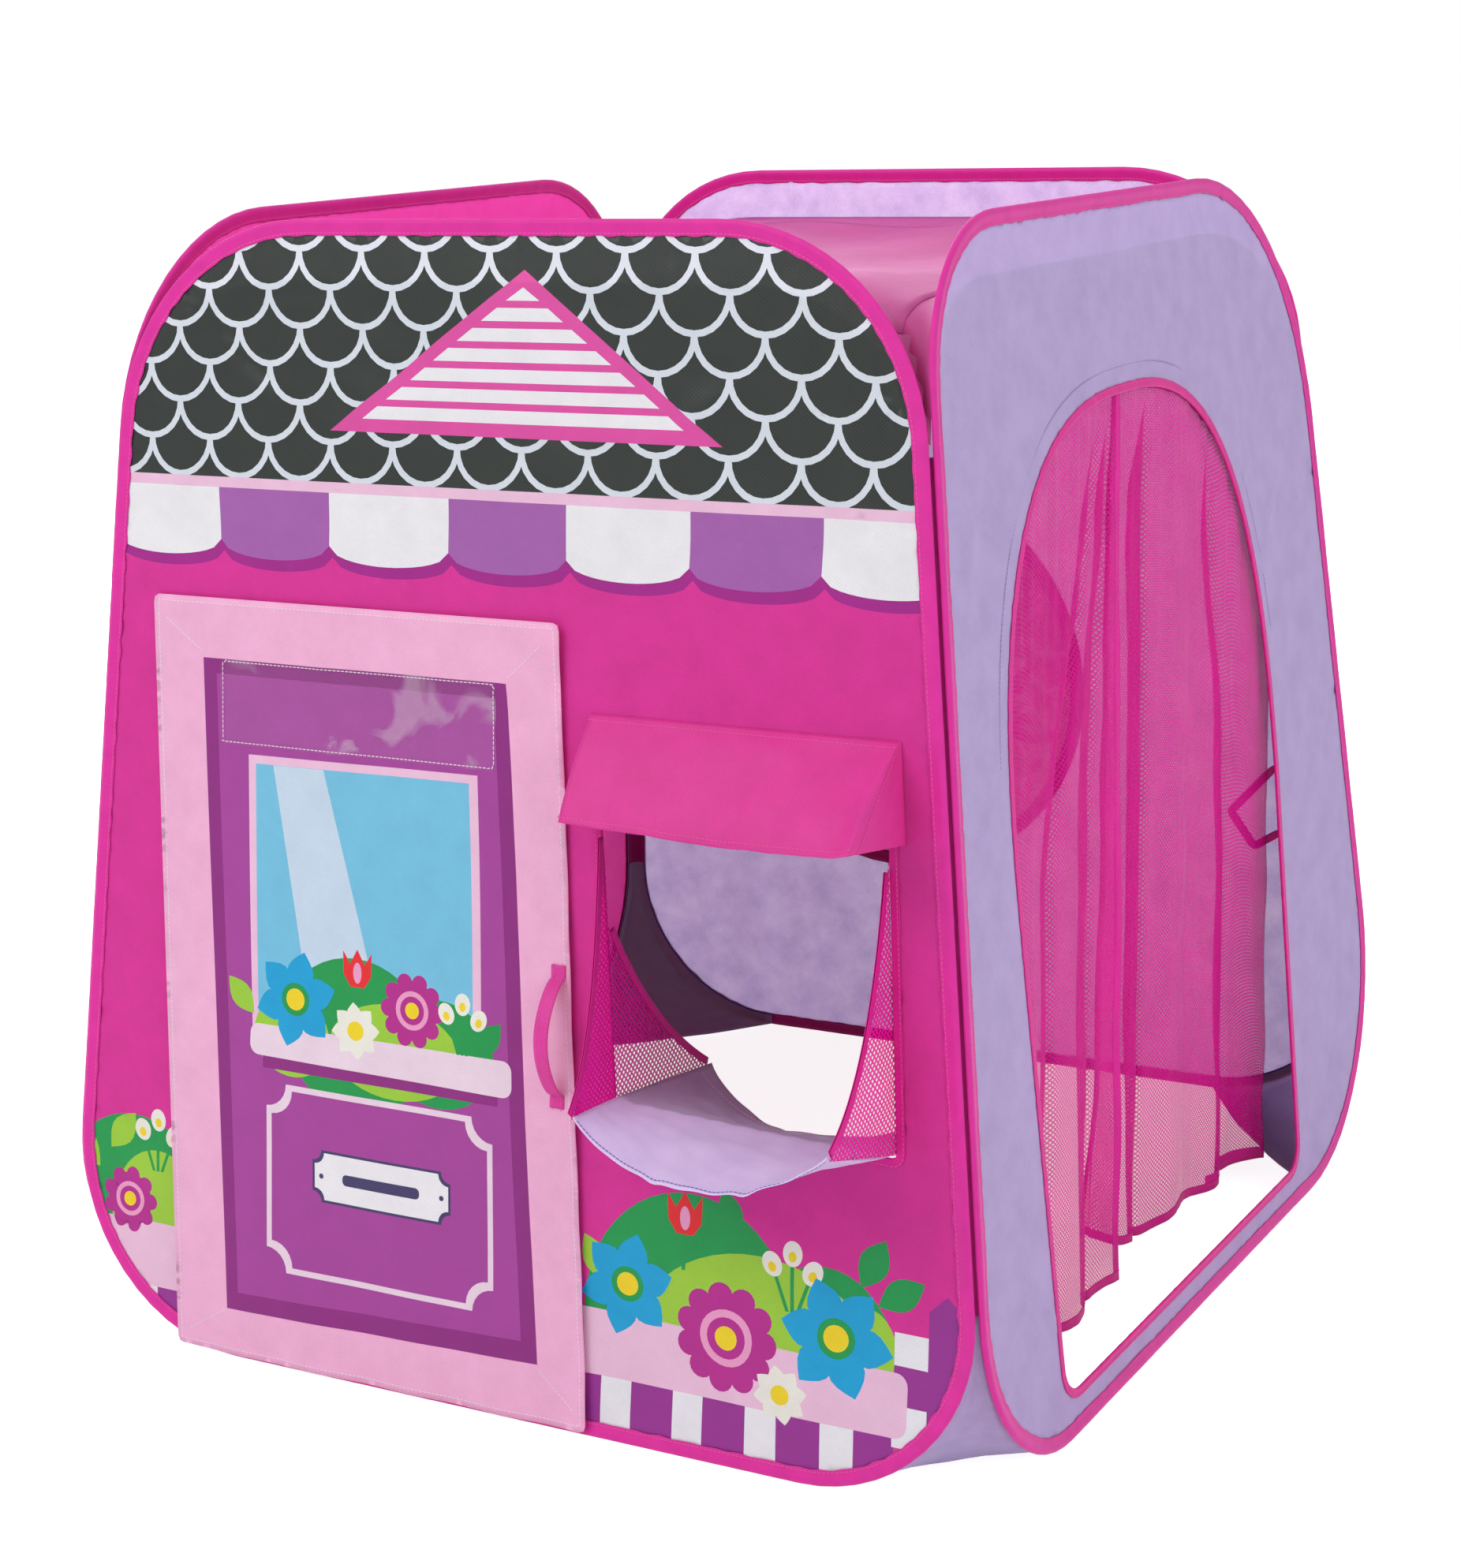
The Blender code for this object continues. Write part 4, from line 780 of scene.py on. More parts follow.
def slate(across, bottom, wide, grow):
    """A U-shaped roof slate, its round end down, drawn in or out by an amount all round."""
    half = wide / 2 + grow
    angles = np.linspace(math.pi, TAU, 13)
    middle = bottom + wide / 2
    round_end = [(across + half * math.cos(a), middle + half * math.sin(a)) for a in angles]
    return np.array(round_end + [(across + half, middle + wide * 0.8), (across - half, middle + wide * 0.8)])


INKS = {
    "slate": "#1D2420",
    "slate line": "#D6E0EC",
    "gable": "#DE4AA0",
    "white": "#F1F1F8",
    "purple": "#A05CA9",
    "shadow": "#9E1487",
    "band": "#F2BEDD",
    "hedge": "#0A9648",
    "grass": "#98CB36",
    "red": "#E8232A",
    "blue": "#049FD6",
    "yellow": "#FAD51A",
    "magenta": "#B21F8B",
    "rose": "#F09CC6",
    "cream": "#F2F1E2",
    "fence": "#94288F",
    "door": "#A33E99",
    "door edge": "#8B1F7E",
    "sky": "#73BFE2",
    "glint": "#C4D9F1",
    "ledge": "#F0D5E8",
    "outline": "#3A3363",
    "plate": "#F4F2FA",
}
INK_ORDER = list(INKS)


def ink(name):
    return INK_ORDER.index(name) + 1


def ink_looks(ground, glossy=("slate", "slate line")):
    """The ground cloth first, then one printed finish for each ink."""
    looks = [ground]
    for name, value in INKS.items():
        rough = 0.42 if name in glossy else 0.62
        dot = 2.2 if name == "slate" else 0.92
        key = f"{name} print on spunbond polypropylene"
        looks.append(spunbond(linear(value), key, rough, 0.4, 0.07, dot, 0.5))
    return looks


def trimmed(prints, looks):
    """Only the finishes that a cloth uses, and its faces' numbers among them."""
    used = np.union1d(prints, [0]).astype(int)
    return np.searchsorted(used, prints), [looks[i] for i in used]


def discs(across, up, *rings):
    """Round shapes about one middle, each given by its radius, steps and ink."""
    return [(ring_of(across, up, radius, radius, steps), ink(name)) for radius, steps, name in rings]


def star_flower(across, up, size, petal, ring, heart, count=6, turn=0.0):
    """A flower of pointed petals round a ringed heart."""
    shapes = []
    for index in range(count):
        angle = turn + TAU * index / count
        start = size * 0.12
        x, y = across + start * math.cos(angle), up + start * math.sin(angle)
        shapes.append(leaf(x, y, size * 0.95, angle, petal, 0.36))
    return shapes + discs(across, up, (size * 0.36, 20, ring), (size * 0.24, 18, heart))


def rosette(across, up, size, petal, ring, heart, count=11):
    """A round flower with a scalloped edge, a pale ring and a heart."""
    shapes = []
    for index in range(count):
        angle = TAU * index / count
        x, y = across + size * 0.76 * math.cos(angle), up + size * 0.76 * math.sin(angle)
        shapes.append((ring_of(x, y, size * 0.24, size * 0.24, 16, angle), ink(petal)))
    inner = (size * 0.52, 24, ring), (size * 0.38, 22, petal), (size * 0.22, 18, heart)
    return shapes + discs(across, up, (size * 0.80, 30, petal), *inner)


def buds(across, up, size, name, heart):
    """Three round buds on bent stalks."""
    shapes = []
    for x, y, lean in ((-0.75, 0.35, 0.5), (0.0, 0.80, 0.0), (0.75, 0.25, -0.5)):
        foot, low = across + x * size * 0.25, up - size * 1.2
        tip, high = across + x * size, up + y * size
        wide = size * 0.07
        stalk = [(foot - wide, low), (foot + wide, low), (tip + wide, high), (tip - wide, high)]
        shapes.append((np.array(stalk), ink("hedge")))
        shapes.append((ring_of(tip, high, size * 0.36, size * 0.44, 20, lean), ink(name)))
        middle = ring_of(tip, high - size * 0.10, size * 0.15, size * 0.18, 14, lean)
        shapes.append((middle, ink(heart)))
    return shapes


def tulip(across, up, size, cup, inner):
    """A tulip's cup of three pointed petals on its stalk."""
    stalk = bar(across - size * 0.06, up - size * 1.5, across + size * 0.06, up - size * 0.4)
    cup_shape = [(-0.55, 0.62), (-0.28, 0.22), (0, 0.70), (0.28, 0.22), (0.55, 0.62), (0.52, -0.15)]
    cup_shape += [(0.26, -0.52), (-0.26, -0.52), (-0.52, -0.15)]
    outline = np.array([(across + x * size, up + y * size) for x, y in cup_shape])
    return [
        (stalk, ink("hedge")),
        (outline, ink(cup)),
        (ring_of(across, up - size * 0.06, size * 0.16, size * 0.34, 16), ink(inner)),
    ]


def leaf(across, up, size, turn, name="hedge", fullness=0.28):
    """A pointed leaf or petal."""
    c, s = math.cos(turn), math.sin(turn)
    bow = np.sin(np.linspace(0, math.pi, 8))
    run = np.linspace(0, 1, 8)
    upper = np.stack([run, fullness * bow], axis=1)
    lower = np.stack([run[::-1], -fullness * bow[::-1]], axis=1)[1:-1]
    shape = np.vstack([upper, lower]) * size
    turned = np.stack([across + shape[:, 0] * c - shape[:, 1] * s, up + shape[:, 0] * s + shape[:, 1] * c], 1)
    return (turned, ink(name))


def shop_prints(wall):
    """The front wall's print: slates and a gable, a scalloped awning, hedges and a fence."""
    shapes = []

    def put(name, *outlines):
        shapes.extend((outline, ink(name)) for outline in outlines)

    top, side = wall.slope, wall.half_bottom
    # Slates
    low = 0.866
    put("slate", bar(-side, low, side, top))
    wide, rise, line = 0.0699, 0.0352, 3.0 * MM
    reach = math.ceil(side / wide)
    for row in range(-1, math.ceil((top - low) / rise)):
        offset = SLATE_OFFSET + (wide / 2 if row % 2 else 0)
        bottom = low + 1.3 * MM + row * rise
        for grow, name in ((line, "slate line"), (-line, "slate")):
            for column in range(-reach, reach + 1):
                put(name, slate(offset + column * wide, bottom, wide, grow))
    # Gable
    peak, left, right = (0.031, 1.0611), (-0.182, 0.9134), (0.233, 0.9124)
    put("gable", np.array([left, right, peak]))
    stripes, margin = 7, 0.0205
    for index in range(stripes):
        low_edge = 0.9254 + index * 0.0181
        top_edge = low_edge + 0.0117
        (a, b), (c, d) = (
            (mix(left[0], peak[0], share) + margin, mix(right[0], peak[0], share) - margin)
            for share in ((up - left[1]) / (peak[1] - left[1]) for up in (low_edge, top_edge))
        )
        tip = [((a + b) / 2, top_edge)] if index == stripes - 1 else [(d, top_edge), (c, top_edge)]
        put("white", np.array([(a, low_edge), (b, low_edge)] + tip))
    # Scalloped awning
    cuts = [-side, -0.3096, -0.1811, -0.0503, 0.0757, 0.2034, 0.3306, side]
    band_low, cusp, foot = 0.8561, 0.8069, 0.7903
    drop = 10.5 * MM
    for shade in (True, False):
        for index, (start, end) in enumerate(zip(cuts, cuts[1:])):
            if index == 0:
                start = end - 0.128
            if index == len(cuts) - 2:
                end = start + 0.128
            run = np.linspace(0, 1, 15)
            sag = np.sqrt(np.clip(1 - (2 * run - 1) ** 2, 0, 1))
            lower = np.stack([mix(start, end, run), mix(cusp, foot, sag)], axis=1)
            shape = np.vstack([lower, [(end, band_low + 0.002), (start, band_low + 0.002)]])
            if shade:
                put("shadow", shape - np.array([-0.004, drop]))
            else:
                put("purple" if index % 2 else "white", shape)
    put("band", bar(-side, band_low, side, low))
    # Hedges behind a flower box on a fence, right of the door and beyond its left side
    put("hedge", ring_of(0.215, 0.120, 0.112, 0.128, 48), ring_of(0.350, 0.118, 0.072, 0.085, 40))
    put("grass", ring_of(0.285, 0.110, 0.122, 0.092, 48), ring_of(0.395, 0.112, 0.030, 0.060, 30))
    put("hedge", ring_of(-0.425, 0.128, 0.095, 0.100, 40))
    put("grass", ring_of(-0.395, 0.120, 0.060, 0.075, 36))
    shapes += [leaf(0.128, 0.150, 0.050, 2.1, "grass"), leaf(0.385, 0.190, 0.052, 1.1)]
    shapes += [leaf(0.402, 0.176, 0.052, 0.55), leaf(0.262, 0.215, 0.045, 1.9)]
    shapes += buds(0.318, 0.188, 0.027, "cream", "yellow")
    shapes += tulip(0.208, 0.226, 0.033, "red", "rose")
    put("fence", bar(0.105, 0.0, 0.420, 0.118))
    for start, end in ((0.121, 0.153), (0.197, 0.228), (0.272, 0.304), (0.348, 0.381)):
        put("white", bar(start, 0.0, end, 0.118))
    put("gable", bar(0.420, 0.0, 0.452, 0.126))
    put("white", bar(0.418, 0.126, 0.452, 0.156))
    put("fence", bar(0.418, 0.090, 0.452, 0.126))
    put("white", bar(0.418, 0.052, 0.456, 0.090))
    put("fence", bar(0.430, 0.0, 0.456, 0.052))
    post = [(0.451, 0.0), (0.486, 0.0), (0.486, 0.180), (0.468, 0.196), (0.451, 0.180)]
    put("fence", np.array(post))
    ledge = [(0.085, 0.060), (0.432, 0.060), (0.432, 0.119), (0.085, 0.124)]
    put("band", rounded(ledge, [0.012] * 4, 5))
    shapes += star_flower(0.148, 0.152, 0.047, "blue", "hedge", "yellow", 6, 0.3)
    shapes += rosette(0.252, 0.120, 0.052, "magenta", "rose", "yellow")
    shapes += star_flower(0.362, 0.140, 0.052, "blue", "hedge", "yellow", 6, 0.9)
    shapes += star_flower(0.308, 0.078, 0.026, "cream", "yellow", "yellow", 8, 0.2)
    put("fence", bar(-side, 0.0, -0.345, 0.056))
    put("white", bar(-0.432, 0.0, -0.398, 0.056))
    put("band", bar(-side, 0.054, -0.350, 0.120))
    shapes += [leaf(-0.470, 0.168, 0.055, 2.3, "grass"), leaf(-0.455, 0.190, 0.050, 0.9, "grass")]
    shapes += buds(-0.395, 0.205, 0.026, "cream", "yellow")
    shapes += rosette(-0.432, 0.140, 0.034, "magenta", "rose", "yellow", 9)
    return shapes


def notched(left, bottom, right, top, bite, grow=0.0):
    """A plate's outline with a hollow quarter circle out of each corner."""
    left, bottom, right, top = left - grow, bottom - grow, right + grow, top + grow
    bite = bite - grow * 0.2
    shape = []
    for x, y, first in ((left, bottom, 0.25), (right, bottom, 0.5), (right, top, 0.75), (left, top, 1.0)):
        for step in range(7):
            angle = TAU * (first - 0.25 * step / 6)
            shape.append((x + bite * math.cos(angle), y + bite * math.sin(angle)))
    return np.array(shape)


def door_prints():
    """The flap's print: a purple door in a pale frame, with a window, a flower box and a bare plate."""
    shapes = []

    def put(name, *outlines):
        shapes.extend((outline, ink(name)) for outline in outlines)

    edge = np.array([(-0.3065, 0.0497), (0.055, 0.0593), (0.019, 0.6933), (-0.328, 0.6933)])
    panel = np.array([(-0.2925, 0.0680), (0.037, 0.0790), (0.0045, 0.6790), (-0.3120, 0.6790)])
    put("door edge", edge)
    put("door", panel)
    # Window with a slanting glint
    frame_line = np.array([(-0.272, 0.330), (-0.006, 0.330), (-0.013, 0.6065), (-0.274, 0.6040)])
    sky = np.array([(-0.2645, 0.335), (-0.0150, 0.335), (-0.0225, 0.5985), (-0.2655, 0.5960)])
    glint = np.array([(-0.198, 0.335), (-0.112, 0.335), (-0.186, 0.5965), (-0.245, 0.5960)])
    put("band", frame_line)
    put("sky", sky)
    put("glint", glint)
    # Hedge and flowers over the box
    put("hedge", ring_of(-0.150, 0.345, 0.085, 0.075, 40), ring_of(-0.055, 0.340, 0.062, 0.052, 36))
    put("grass", ring_of(-0.225, 0.335, 0.045, 0.040, 30), ring_of(-0.105, 0.335, 0.075, 0.046, 36))
    shapes += [leaf(-0.270, 0.352, 0.045, 2.3, "grass"), leaf(-0.012, 0.345, 0.042, 0.9)]
    put("door edge", bar(-0.260, 0.300, 0.012, 0.316))
    box = rounded([(-0.276, 0.312), (0.027, 0.309), (0.026, 0.344), (-0.274, 0.343)], [0.010] * 4, 5)
    put("ledge", box)
    shapes += tulip(-0.148, 0.408, 0.030, "red", "rose")
    shapes += star_flower(-0.220, 0.372, 0.045, "blue", "hedge", "yellow", 6, 0.3)
    shapes += rosette(-0.085, 0.378, 0.036, "magenta", "rose", "yellow", 10)
    shapes += buds(-0.028, 0.372, 0.024, "cream", "yellow")
    shapes += star_flower(-0.150, 0.350, 0.026, "cream", "yellow", "yellow", 8, 0.1)
    # Panel and the bare plate with its slot and two screws
    low_panel = (-0.2535, 0.1010, 0.0035, 0.2840, 0.024)
    bare_plate = (-0.2000, 0.1775, -0.0430, 0.2265, 0.011)
    put("ledge", notched(*low_panel, 2.6 * MM))
    put("door", notched(*low_panel, -3.4 * MM))
    put("outline", notched(*bare_plate, 1.4 * MM))
    put("plate", notched(*bare_plate, -1.2 * MM))
    slot = rounded([(-0.166, 0.1965), (-0.077, 0.1965), (-0.077, 0.2075), (-0.166, 0.2075)], [0.0045] * 4, 4)
    put("outline", slot)
    for across in (-0.191, -0.052):
        put("outline", ring_of(across, 0.2020, 2.6 * MM, 2.6 * MM, 14))
    return shapes


# ---- Places of the openings, as in the frame

COUNTER_MARGINS = (0.0656, 0.0540)
COUNTER_WIDTHS = (0.2820, 0.2880)
COUNTER_SILLS = (0.3215, 0.3096)
COUNTER_HEADROOM = 0.4503
COUNTER_RADIUS = 4 * MM
DOORWAY_MARGINS = (0.1686, 0.0894)
DOORWAY_TO_COUNTER = (0.0820, 0.0624)
DOORWAY_SILL = 0.050
DOORWAY_HEADROOM = 0.3873
DOORWAY_RADIUS = 0.030
FLAP_LAP_HINGED = (0.032, 0.031)
FLAP_LAP_FREE = (0.034, 0.030)
FLAP_LAP_BELOW = 0.046
FLAP_LAP_ABOVE = 0.033
FLAP_RADIUS = 6 * MM
FLAP_MIDDLE = 7.2 * MM
FLAP_CLOTH = 1.0 * MM
HINGE_SEAM_WIDTH = 12 * MM
HINGE_SEAM_HEIGHT = 5.2 * MM
HINGE_SEAM_THICKNESS = 2.4 * MM
POCKET_SIDES = (0.0815, 0.0645)
POCKET_BELOW_TOP = 0.057
POCKET_HEIGHT = 0.082
HANDLE_IN = 0.034
HANDLE_ENDS = (0.308, 0.441)
HANDLE_STAND_OFF = 0.037
HANDLE_LANDING = 12 * MM
WEBBING_WIDTH = 15 * MM
WEBBING_THICKNESS = 1.2 * MM
ARCH_NEAR_MARGIN = 0.176
ARCH_FAR_MARGIN = 0.278
ARCH_FAR_FOOT_MARGIN = 0.300
ARCH_FOOT = 0.040
ARCH_SPRING = 0.480
ARCH_HEADROOM = 0.1863
ARCH_ROUNDNESS = 2.6
ARCH_FOOT_RADIUS = 0.030
CURTAIN_HEADER = 0.018
CURTAIN_NEAR_WIDTH = 0.336
CURTAIN_OVERLAP = 0.045
CURTAIN_HEMS = (0.008, 0.022)
NET_CLOTH = 0.6 * MM
WINDOW_MIDDLE = (0.100, 0.500)
WINDOW_RADIUS = 0.245
ROOF_DROP = 0.055
ROOF_TUCK = 8 * MM
ROOF_SAG = 0.018
ROOF_STEPS = 56
BORDER_CELLS = 4
BORDER_ENDS = 19


def inset(points, depth, closed=True):
    """A line moved to its left by a depth."""
    depth = np.asarray(depth, float)
    return points + lefts(points, closed) * (depth[:, None] if depth.ndim else depth)


def counter_corners(wall):
    """The counter window's corners, from the bottom left round to the top left."""
    top = wall.slope - COUNTER_HEADROOM
    places = []
    for level, heights in enumerate((COUNTER_SILLS, (top, top))):
        margin = COUNTER_MARGINS[level]
        left = wall.from_right(margin + COUNTER_WIDTHS[level], heights[0])
        right = wall.from_right(margin, heights[1])
        places += [left, right] if level == 0 else [right, left]
    return places


def doorway_corners(wall):
    places = []
    for level, up in enumerate((DOORWAY_SILL, wall.slope - DOORWAY_HEADROOM)):
        beyond = COUNTER_MARGINS[level] + COUNTER_WIDTHS[level] + DOORWAY_TO_COUNTER[level]
        left, right = wall.from_left(DOORWAY_MARGINS[level], up), wall.from_right(beyond, up)
        places += [left, right] if level == 0 else [right, left]
    return places


def flap_corners(wall):
    """The door flap's corners, which lap over the doorway's."""
    low_left, low_right, top_right, top_left = np.array(doorway_corners(wall))
    return np.array(
        [
            low_left + (-FLAP_LAP_HINGED[0], -FLAP_LAP_BELOW),
            low_right + (FLAP_LAP_FREE[0], -FLAP_LAP_BELOW),
            top_right + (FLAP_LAP_FREE[1], FLAP_LAP_ABOVE),
            top_left + (-FLAP_LAP_HINGED[1], FLAP_LAP_ABOVE),
        ]
    )


def arch_sides(wall):
    return wall.from_left(ARCH_NEAR_MARGIN, 0)[0], wall.from_right(ARCH_FAR_MARGIN, 0)[0]


def arch_height(wall, across, outward=0.0):
    """How high the arch, or a line further out around it, stands at a place across it."""
    near, far = arch_sides(wall)
    middle, half = (near + far) / 2, (far - near) / 2
    away = np.clip(np.abs(across - middle) / (half + outward), 0, 1)
    rise = wall.slope - ARCH_HEADROOM - ARCH_SPRING + outward
    return ARCH_SPRING + rise * (1 - away**ARCH_ROUNDNESS) ** (1 / ARCH_ROUNDNESS)


def arch_top(wall, outward=0.0, steps=48):
    """The arch's round top, from its far springing to its near one."""
    near, far = arch_sides(wall)
    middle, half = (near + far) / 2, (far - near) / 2 + outward
    rise = wall.slope - ARCH_HEADROOM - ARCH_SPRING + outward
    angles = np.linspace(0, math.pi, steps + 1)
    side = np.sign(np.cos(angles)) * np.abs(np.cos(angles)) ** (2 / ARCH_ROUNDNESS)
    up = np.abs(np.sin(angles)) ** (2 / ARCH_ROUNDNESS)
    return np.stack([middle + half * side, ARCH_SPRING + rise * up], axis=1)


def arch(wall):
    """The arched doorway: straight sides with round feet under a full, squarish arch."""
    near, far = arch_sides(wall)
    foot = wall.from_right(ARCH_FAR_FOOT_MARGIN, 0)[0]
    corners = [(near, ARCH_FOOT), (foot, ARCH_FOOT), (far, ARCH_SPRING), (near, ARCH_SPRING)]
    feet = rounded(corners, [ARCH_FOOT_RADIUS] * 4, 6)[: 2 * 7]
    return np.vstack([feet, arch_top(wall)])


def window_circle(radius, steps=96):
    angles = np.linspace(0, TAU, steps, endpoint=False)
    turned = np.stack([np.cos(angles), np.sin(angles)], axis=1)
    return np.array(WINDOW_MIDDLE) + radius * turned


def counter_window(wall):
    return rounded(counter_corners(wall), [COUNTER_RADIUS] * 4, 5)


def doorway(wall):
    return rounded(doorway_corners(wall), [DOORWAY_RADIUS] * 4, 6)


def lighter_pink_lining():
    # The inner side is the wall's pink painted a quarter lighter: painted light inside the tent
    return spunbond(scaled(colours().wall_pink, 1.25), "pink spunbond lining", glow=0.95)


def edge_tape():
    return tape(colours().edge_tape, "magenta polyester tape")


def webbing():
    return tape(colours().webbing, "pink polypropylene webbing")


def wall_cloth(wall, holes, prints, looks, lining, creases, seed, area):
    """A wall's cloth, held in its hoop's binding and stretched a little unevenly."""
    outline = inset(wall.outline(), WALL_EDGE)
    places, faces, inks, sewn = cut_cloth(outline, holes, prints, sizes().cloth_step)
    creases = creases + hoop_creases(outline, seed, 26, 0.13, 2.4 * MM)
    relief = np.minimum(wall_relief(places, sewn, seed, creases), 2.2 * MM)
    roof_gap = np.abs(nearest(places, wall.outline())[0] - ROOF_DROP)
    near_roof = 1 - smooth((roof_gap - 8 * MM) / (20 * MM))
    at_roof = near_roof * smooth((places[:, 1] / wall.slope - 0.70) / 0.05)
    relief += (np.maximum(relief, 0.0) - relief) * at_roof
    points = wall.place(*places.T, CLOTH_MIDDLE + relief)
    inks, looks = trimmed(inks, looks)
    flat = flat_places(*places.T)
    made = cloth_piece(f"{wall.name}_wall_cloth", points, faces, CLOTH, looks, flat, inks, lining)
    size = (2 * (wall.half_bottom - WALL_EDGE), wall.slope - 2 * WALL_EDGE)
    fit(made, wall.name, f"{wall.name}_wall", flat=size, held="stretched", area=area)


def make_walls():
    front, right, back, left = (wall_of(name) for name in WALLS)
    pink = spunbond(colours().wall_pink, "pink spunbond polypropylene")
    lilac = spunbond(colours().lilac, "lilac spunbond polypropylene")
    # The back wall's inner side is its lilac painted lighter: painted light inside the tent
    inside = spunbond(colours().lighter_inside_lilac, "lilac spunbond inside", mottle=0.26, glow=1.0)
    # The right wall's inner side is its lilac painted a little darker: painted shade
    darker_lilac_lining = spunbond(scaled(colours().lilac, 0.92), "lilac spunbond lining", glow=0.95)
    front_creases = [
        ((0.085, 0.715), (0.115, 0.590), 0.006, 0.0022),
        ((0.102, 0.672), (0.060, 0.740), 0.007, 0.0018),
        ((-0.400, 0.760), (-0.470, 0.640), 0.010, -0.0016),
        ((0.425, 0.690), (0.440, 0.560), 0.008, -0.0020),
        ((0.150, 0.900), (0.300, 1.010), 0.010, 0.0022),
        ((-0.300, 0.990), (-0.120, 0.890), 0.012, -0.0020),
        ((-0.360, 0.860), (-0.200, 0.905), 0.008, 0.0018),
    ]
    holes, prints, looks = [doorway(front), counter_window(front)], shop_prints(front), ink_looks(pink)
    wall_cloth(front, holes, prints, looks, lighter_pink_lining(), front_creases, 11, 0.68)
    right_creases = [
        ((-0.440, 0.560), (-0.400, 0.820), 0.010, 0.0022),
        ((0.290, 0.700), (0.430, 0.900), 0.012, 0.0024),
        ((0.300, 0.300), (0.450, 0.180), 0.012, -0.0022),
        ((0.310, 0.500), (0.470, 0.560), 0.010, 0.0018),
        ((-0.400, 0.120), (-0.490, 0.300), 0.010, 0.0020),
        ((0.060, 0.950), (0.160, 1.040), 0.010, -0.0018),
    ]
    wall_cloth(right, [arch(right)], [], [lilac], darker_lilac_lining, right_creases, 23, 0.50)
    back_creases = [
        ((-0.180, 0.620), (-0.330, 0.900), 0.014, 0.0028),
        ((-0.120, 0.330), (-0.330, 0.120), 0.014, -0.0026),
        ((0.350, 0.500), (0.430, 0.760), 0.012, 0.0022),
    ]
    wall_cloth(back, [window_circle(WINDOW_RADIUS)], [], [lilac], inside, back_creases, 37, 0.77)
    left_creases = [
        ((-0.450, 0.120), (-0.150, 0.400), 0.020, 0.0024),
        ((0.430, 0.900), (0.180, 0.650), 0.020, -0.0024),
        ((0.400, 0.100), (0.200, 0.500), 0.016, 0.0020),
    ]
    wall_cloth(left, [], [], [pink], lighter_pink_lining(), left_creases, 41, 1.02)


class PLAYTENT_OT_walls(bpy.types.Operator):
    """Makes the four cloth walls, the front one with its print"""

    bl_idname = "play_tent.walls"
    bl_label = "Walls"

    def execute(self, context):
        make_walls()
        return {"FINISHED"}


# ---- Hoops


def folded_tape(width, room, ridge, ridge_at, thickness):
    """A tape folded round an edge, as its outer skin and then its inner one: depth and height."""
    outer = []
    for share in np.linspace(0, 1, 9):
        depth = mix(width, ridge_at, share)
        outer.append((depth, mix(room + thickness, ridge, smooth(share**1.3))))
    for share in np.linspace(0, 1, 8)[1:]:
        angle = share * QUARTER_TURN
        outer.append((ridge_at - ridge_at * math.sin(angle) ** 0.9, ridge * math.cos(angle)))
    skin = outer + [(depth, -height) for depth, height in outer[-2::-1]]
    inner = []
    for depth, height in skin:
        pulled = max(depth, thickness) if depth < ridge_at else depth
        inner.append((pulled, math.copysign(max(abs(height) - thickness, 0.1 * MM), height)))
    return skin + inner[::-1]


def gathers(seed, depth_by, height_by, width):
    """How a sewn tape draws up along its stitches: a wave for its width and one for its height."""

    def wave(along, depths, heights):
        slow = ripples(along, along * 0, 0.11, seed)
        quick = ripples(along, along * 0, 0.019, seed + 1)
        outward = np.clip(depths / width, 0, 1)
        rise = height_by * (0.6 * quick + 0.4 * slow) * np.sign(heights) * (1 - 0.5 * outward)
        return depth_by * quick * outward**2, rise

    return wave


def make_hoops():
    look = tape(colours().binding, "pink polyester binding")
    profile = folded_tape(SLEEVE_WIDTH, 0.7 * MM, 2.95 * MM, 4.0 * MM, 0.6 * MM)
    wire = steel("drawn spring steel", "#9A9CA0", 0.35)
    ferrule = steel("crimped zinc-plated steel", "#B8BABD", 0.30)
    for index, name in enumerate(WALLS):
        wall = wall_of(name)
        outline = wall.outline()
        wave = gathers(51 + index, 0.5 * MM, 0.16 * MM, SLEEVE_WIDTH)
        made = swept(f"{name}_hoop_binding", wall, outline, profile, look, wave, True)
        size = (0.036, evenly(outline, 5 * MM)[1][-1])
        cloth = [f"{name}_wall_cloth"]
        fit(made, name, f"{name}_hoop_sleeve", flat=size, held="folded", rests_on=cloth)
        for side in (1, -1):
            sew_round(wall, inset(outline, SLEEVE_STITCH_IN), CLOTH_MIDDLE + side * 1.45 * MM, side)
        bpy.data.objects[f"{name}_hoop_wire"].material_slots[0].material = wire
        bpy.data.objects[f"{name}_hoop_ferrule"].material_slots[0].material = ferrule


class PLAYTENT_OT_hoops(bpy.types.Operator):
    """Makes the folded bindings round the sprung hoops and finishes the steel inside them"""

    bl_idname = "play_tent.hoops"
    bl_label = "Hoops"

    def execute(self, context):
        make_hoops()
        return {"FINISHED"}


# ---- Bound edges of the openings


def bound_edge(name, wall, loop, node_name, seed):
    """Tape folded over an opening's edge and sewn through."""
    look = edge_tape()
    profile = folded_tape(BINDING_WIDTH + BINDING_FOLD, 0.7 * MM, 1.5 * MM, 1.6 * MM, 0.6 * MM)
    profile = [(BINDING_FOLD - depth, height) for depth, height in profile][::-1]

    def wave(along, depths, heights):
        quick = ripples(along, along * 0, 0.016, seed)
        return 0.35 * MM * quick * (depths < -4 * MM), 0.12 * MM * quick * np.sign(heights)

    made = swept(name, wall, loop, profile, look, wave)
    size = (0.022, evenly(loop, 5 * MM)[1][-1])
    fit(made, wall.name, node_name, flat=size, held="folded", rests_on=[f"{wall.name}_wall_cloth"])
    for side in (1, -1):
        sew_round(wall, inset(loop, -6.2 * MM), CLOTH_MIDDLE + side * 1.5 * MM, side)


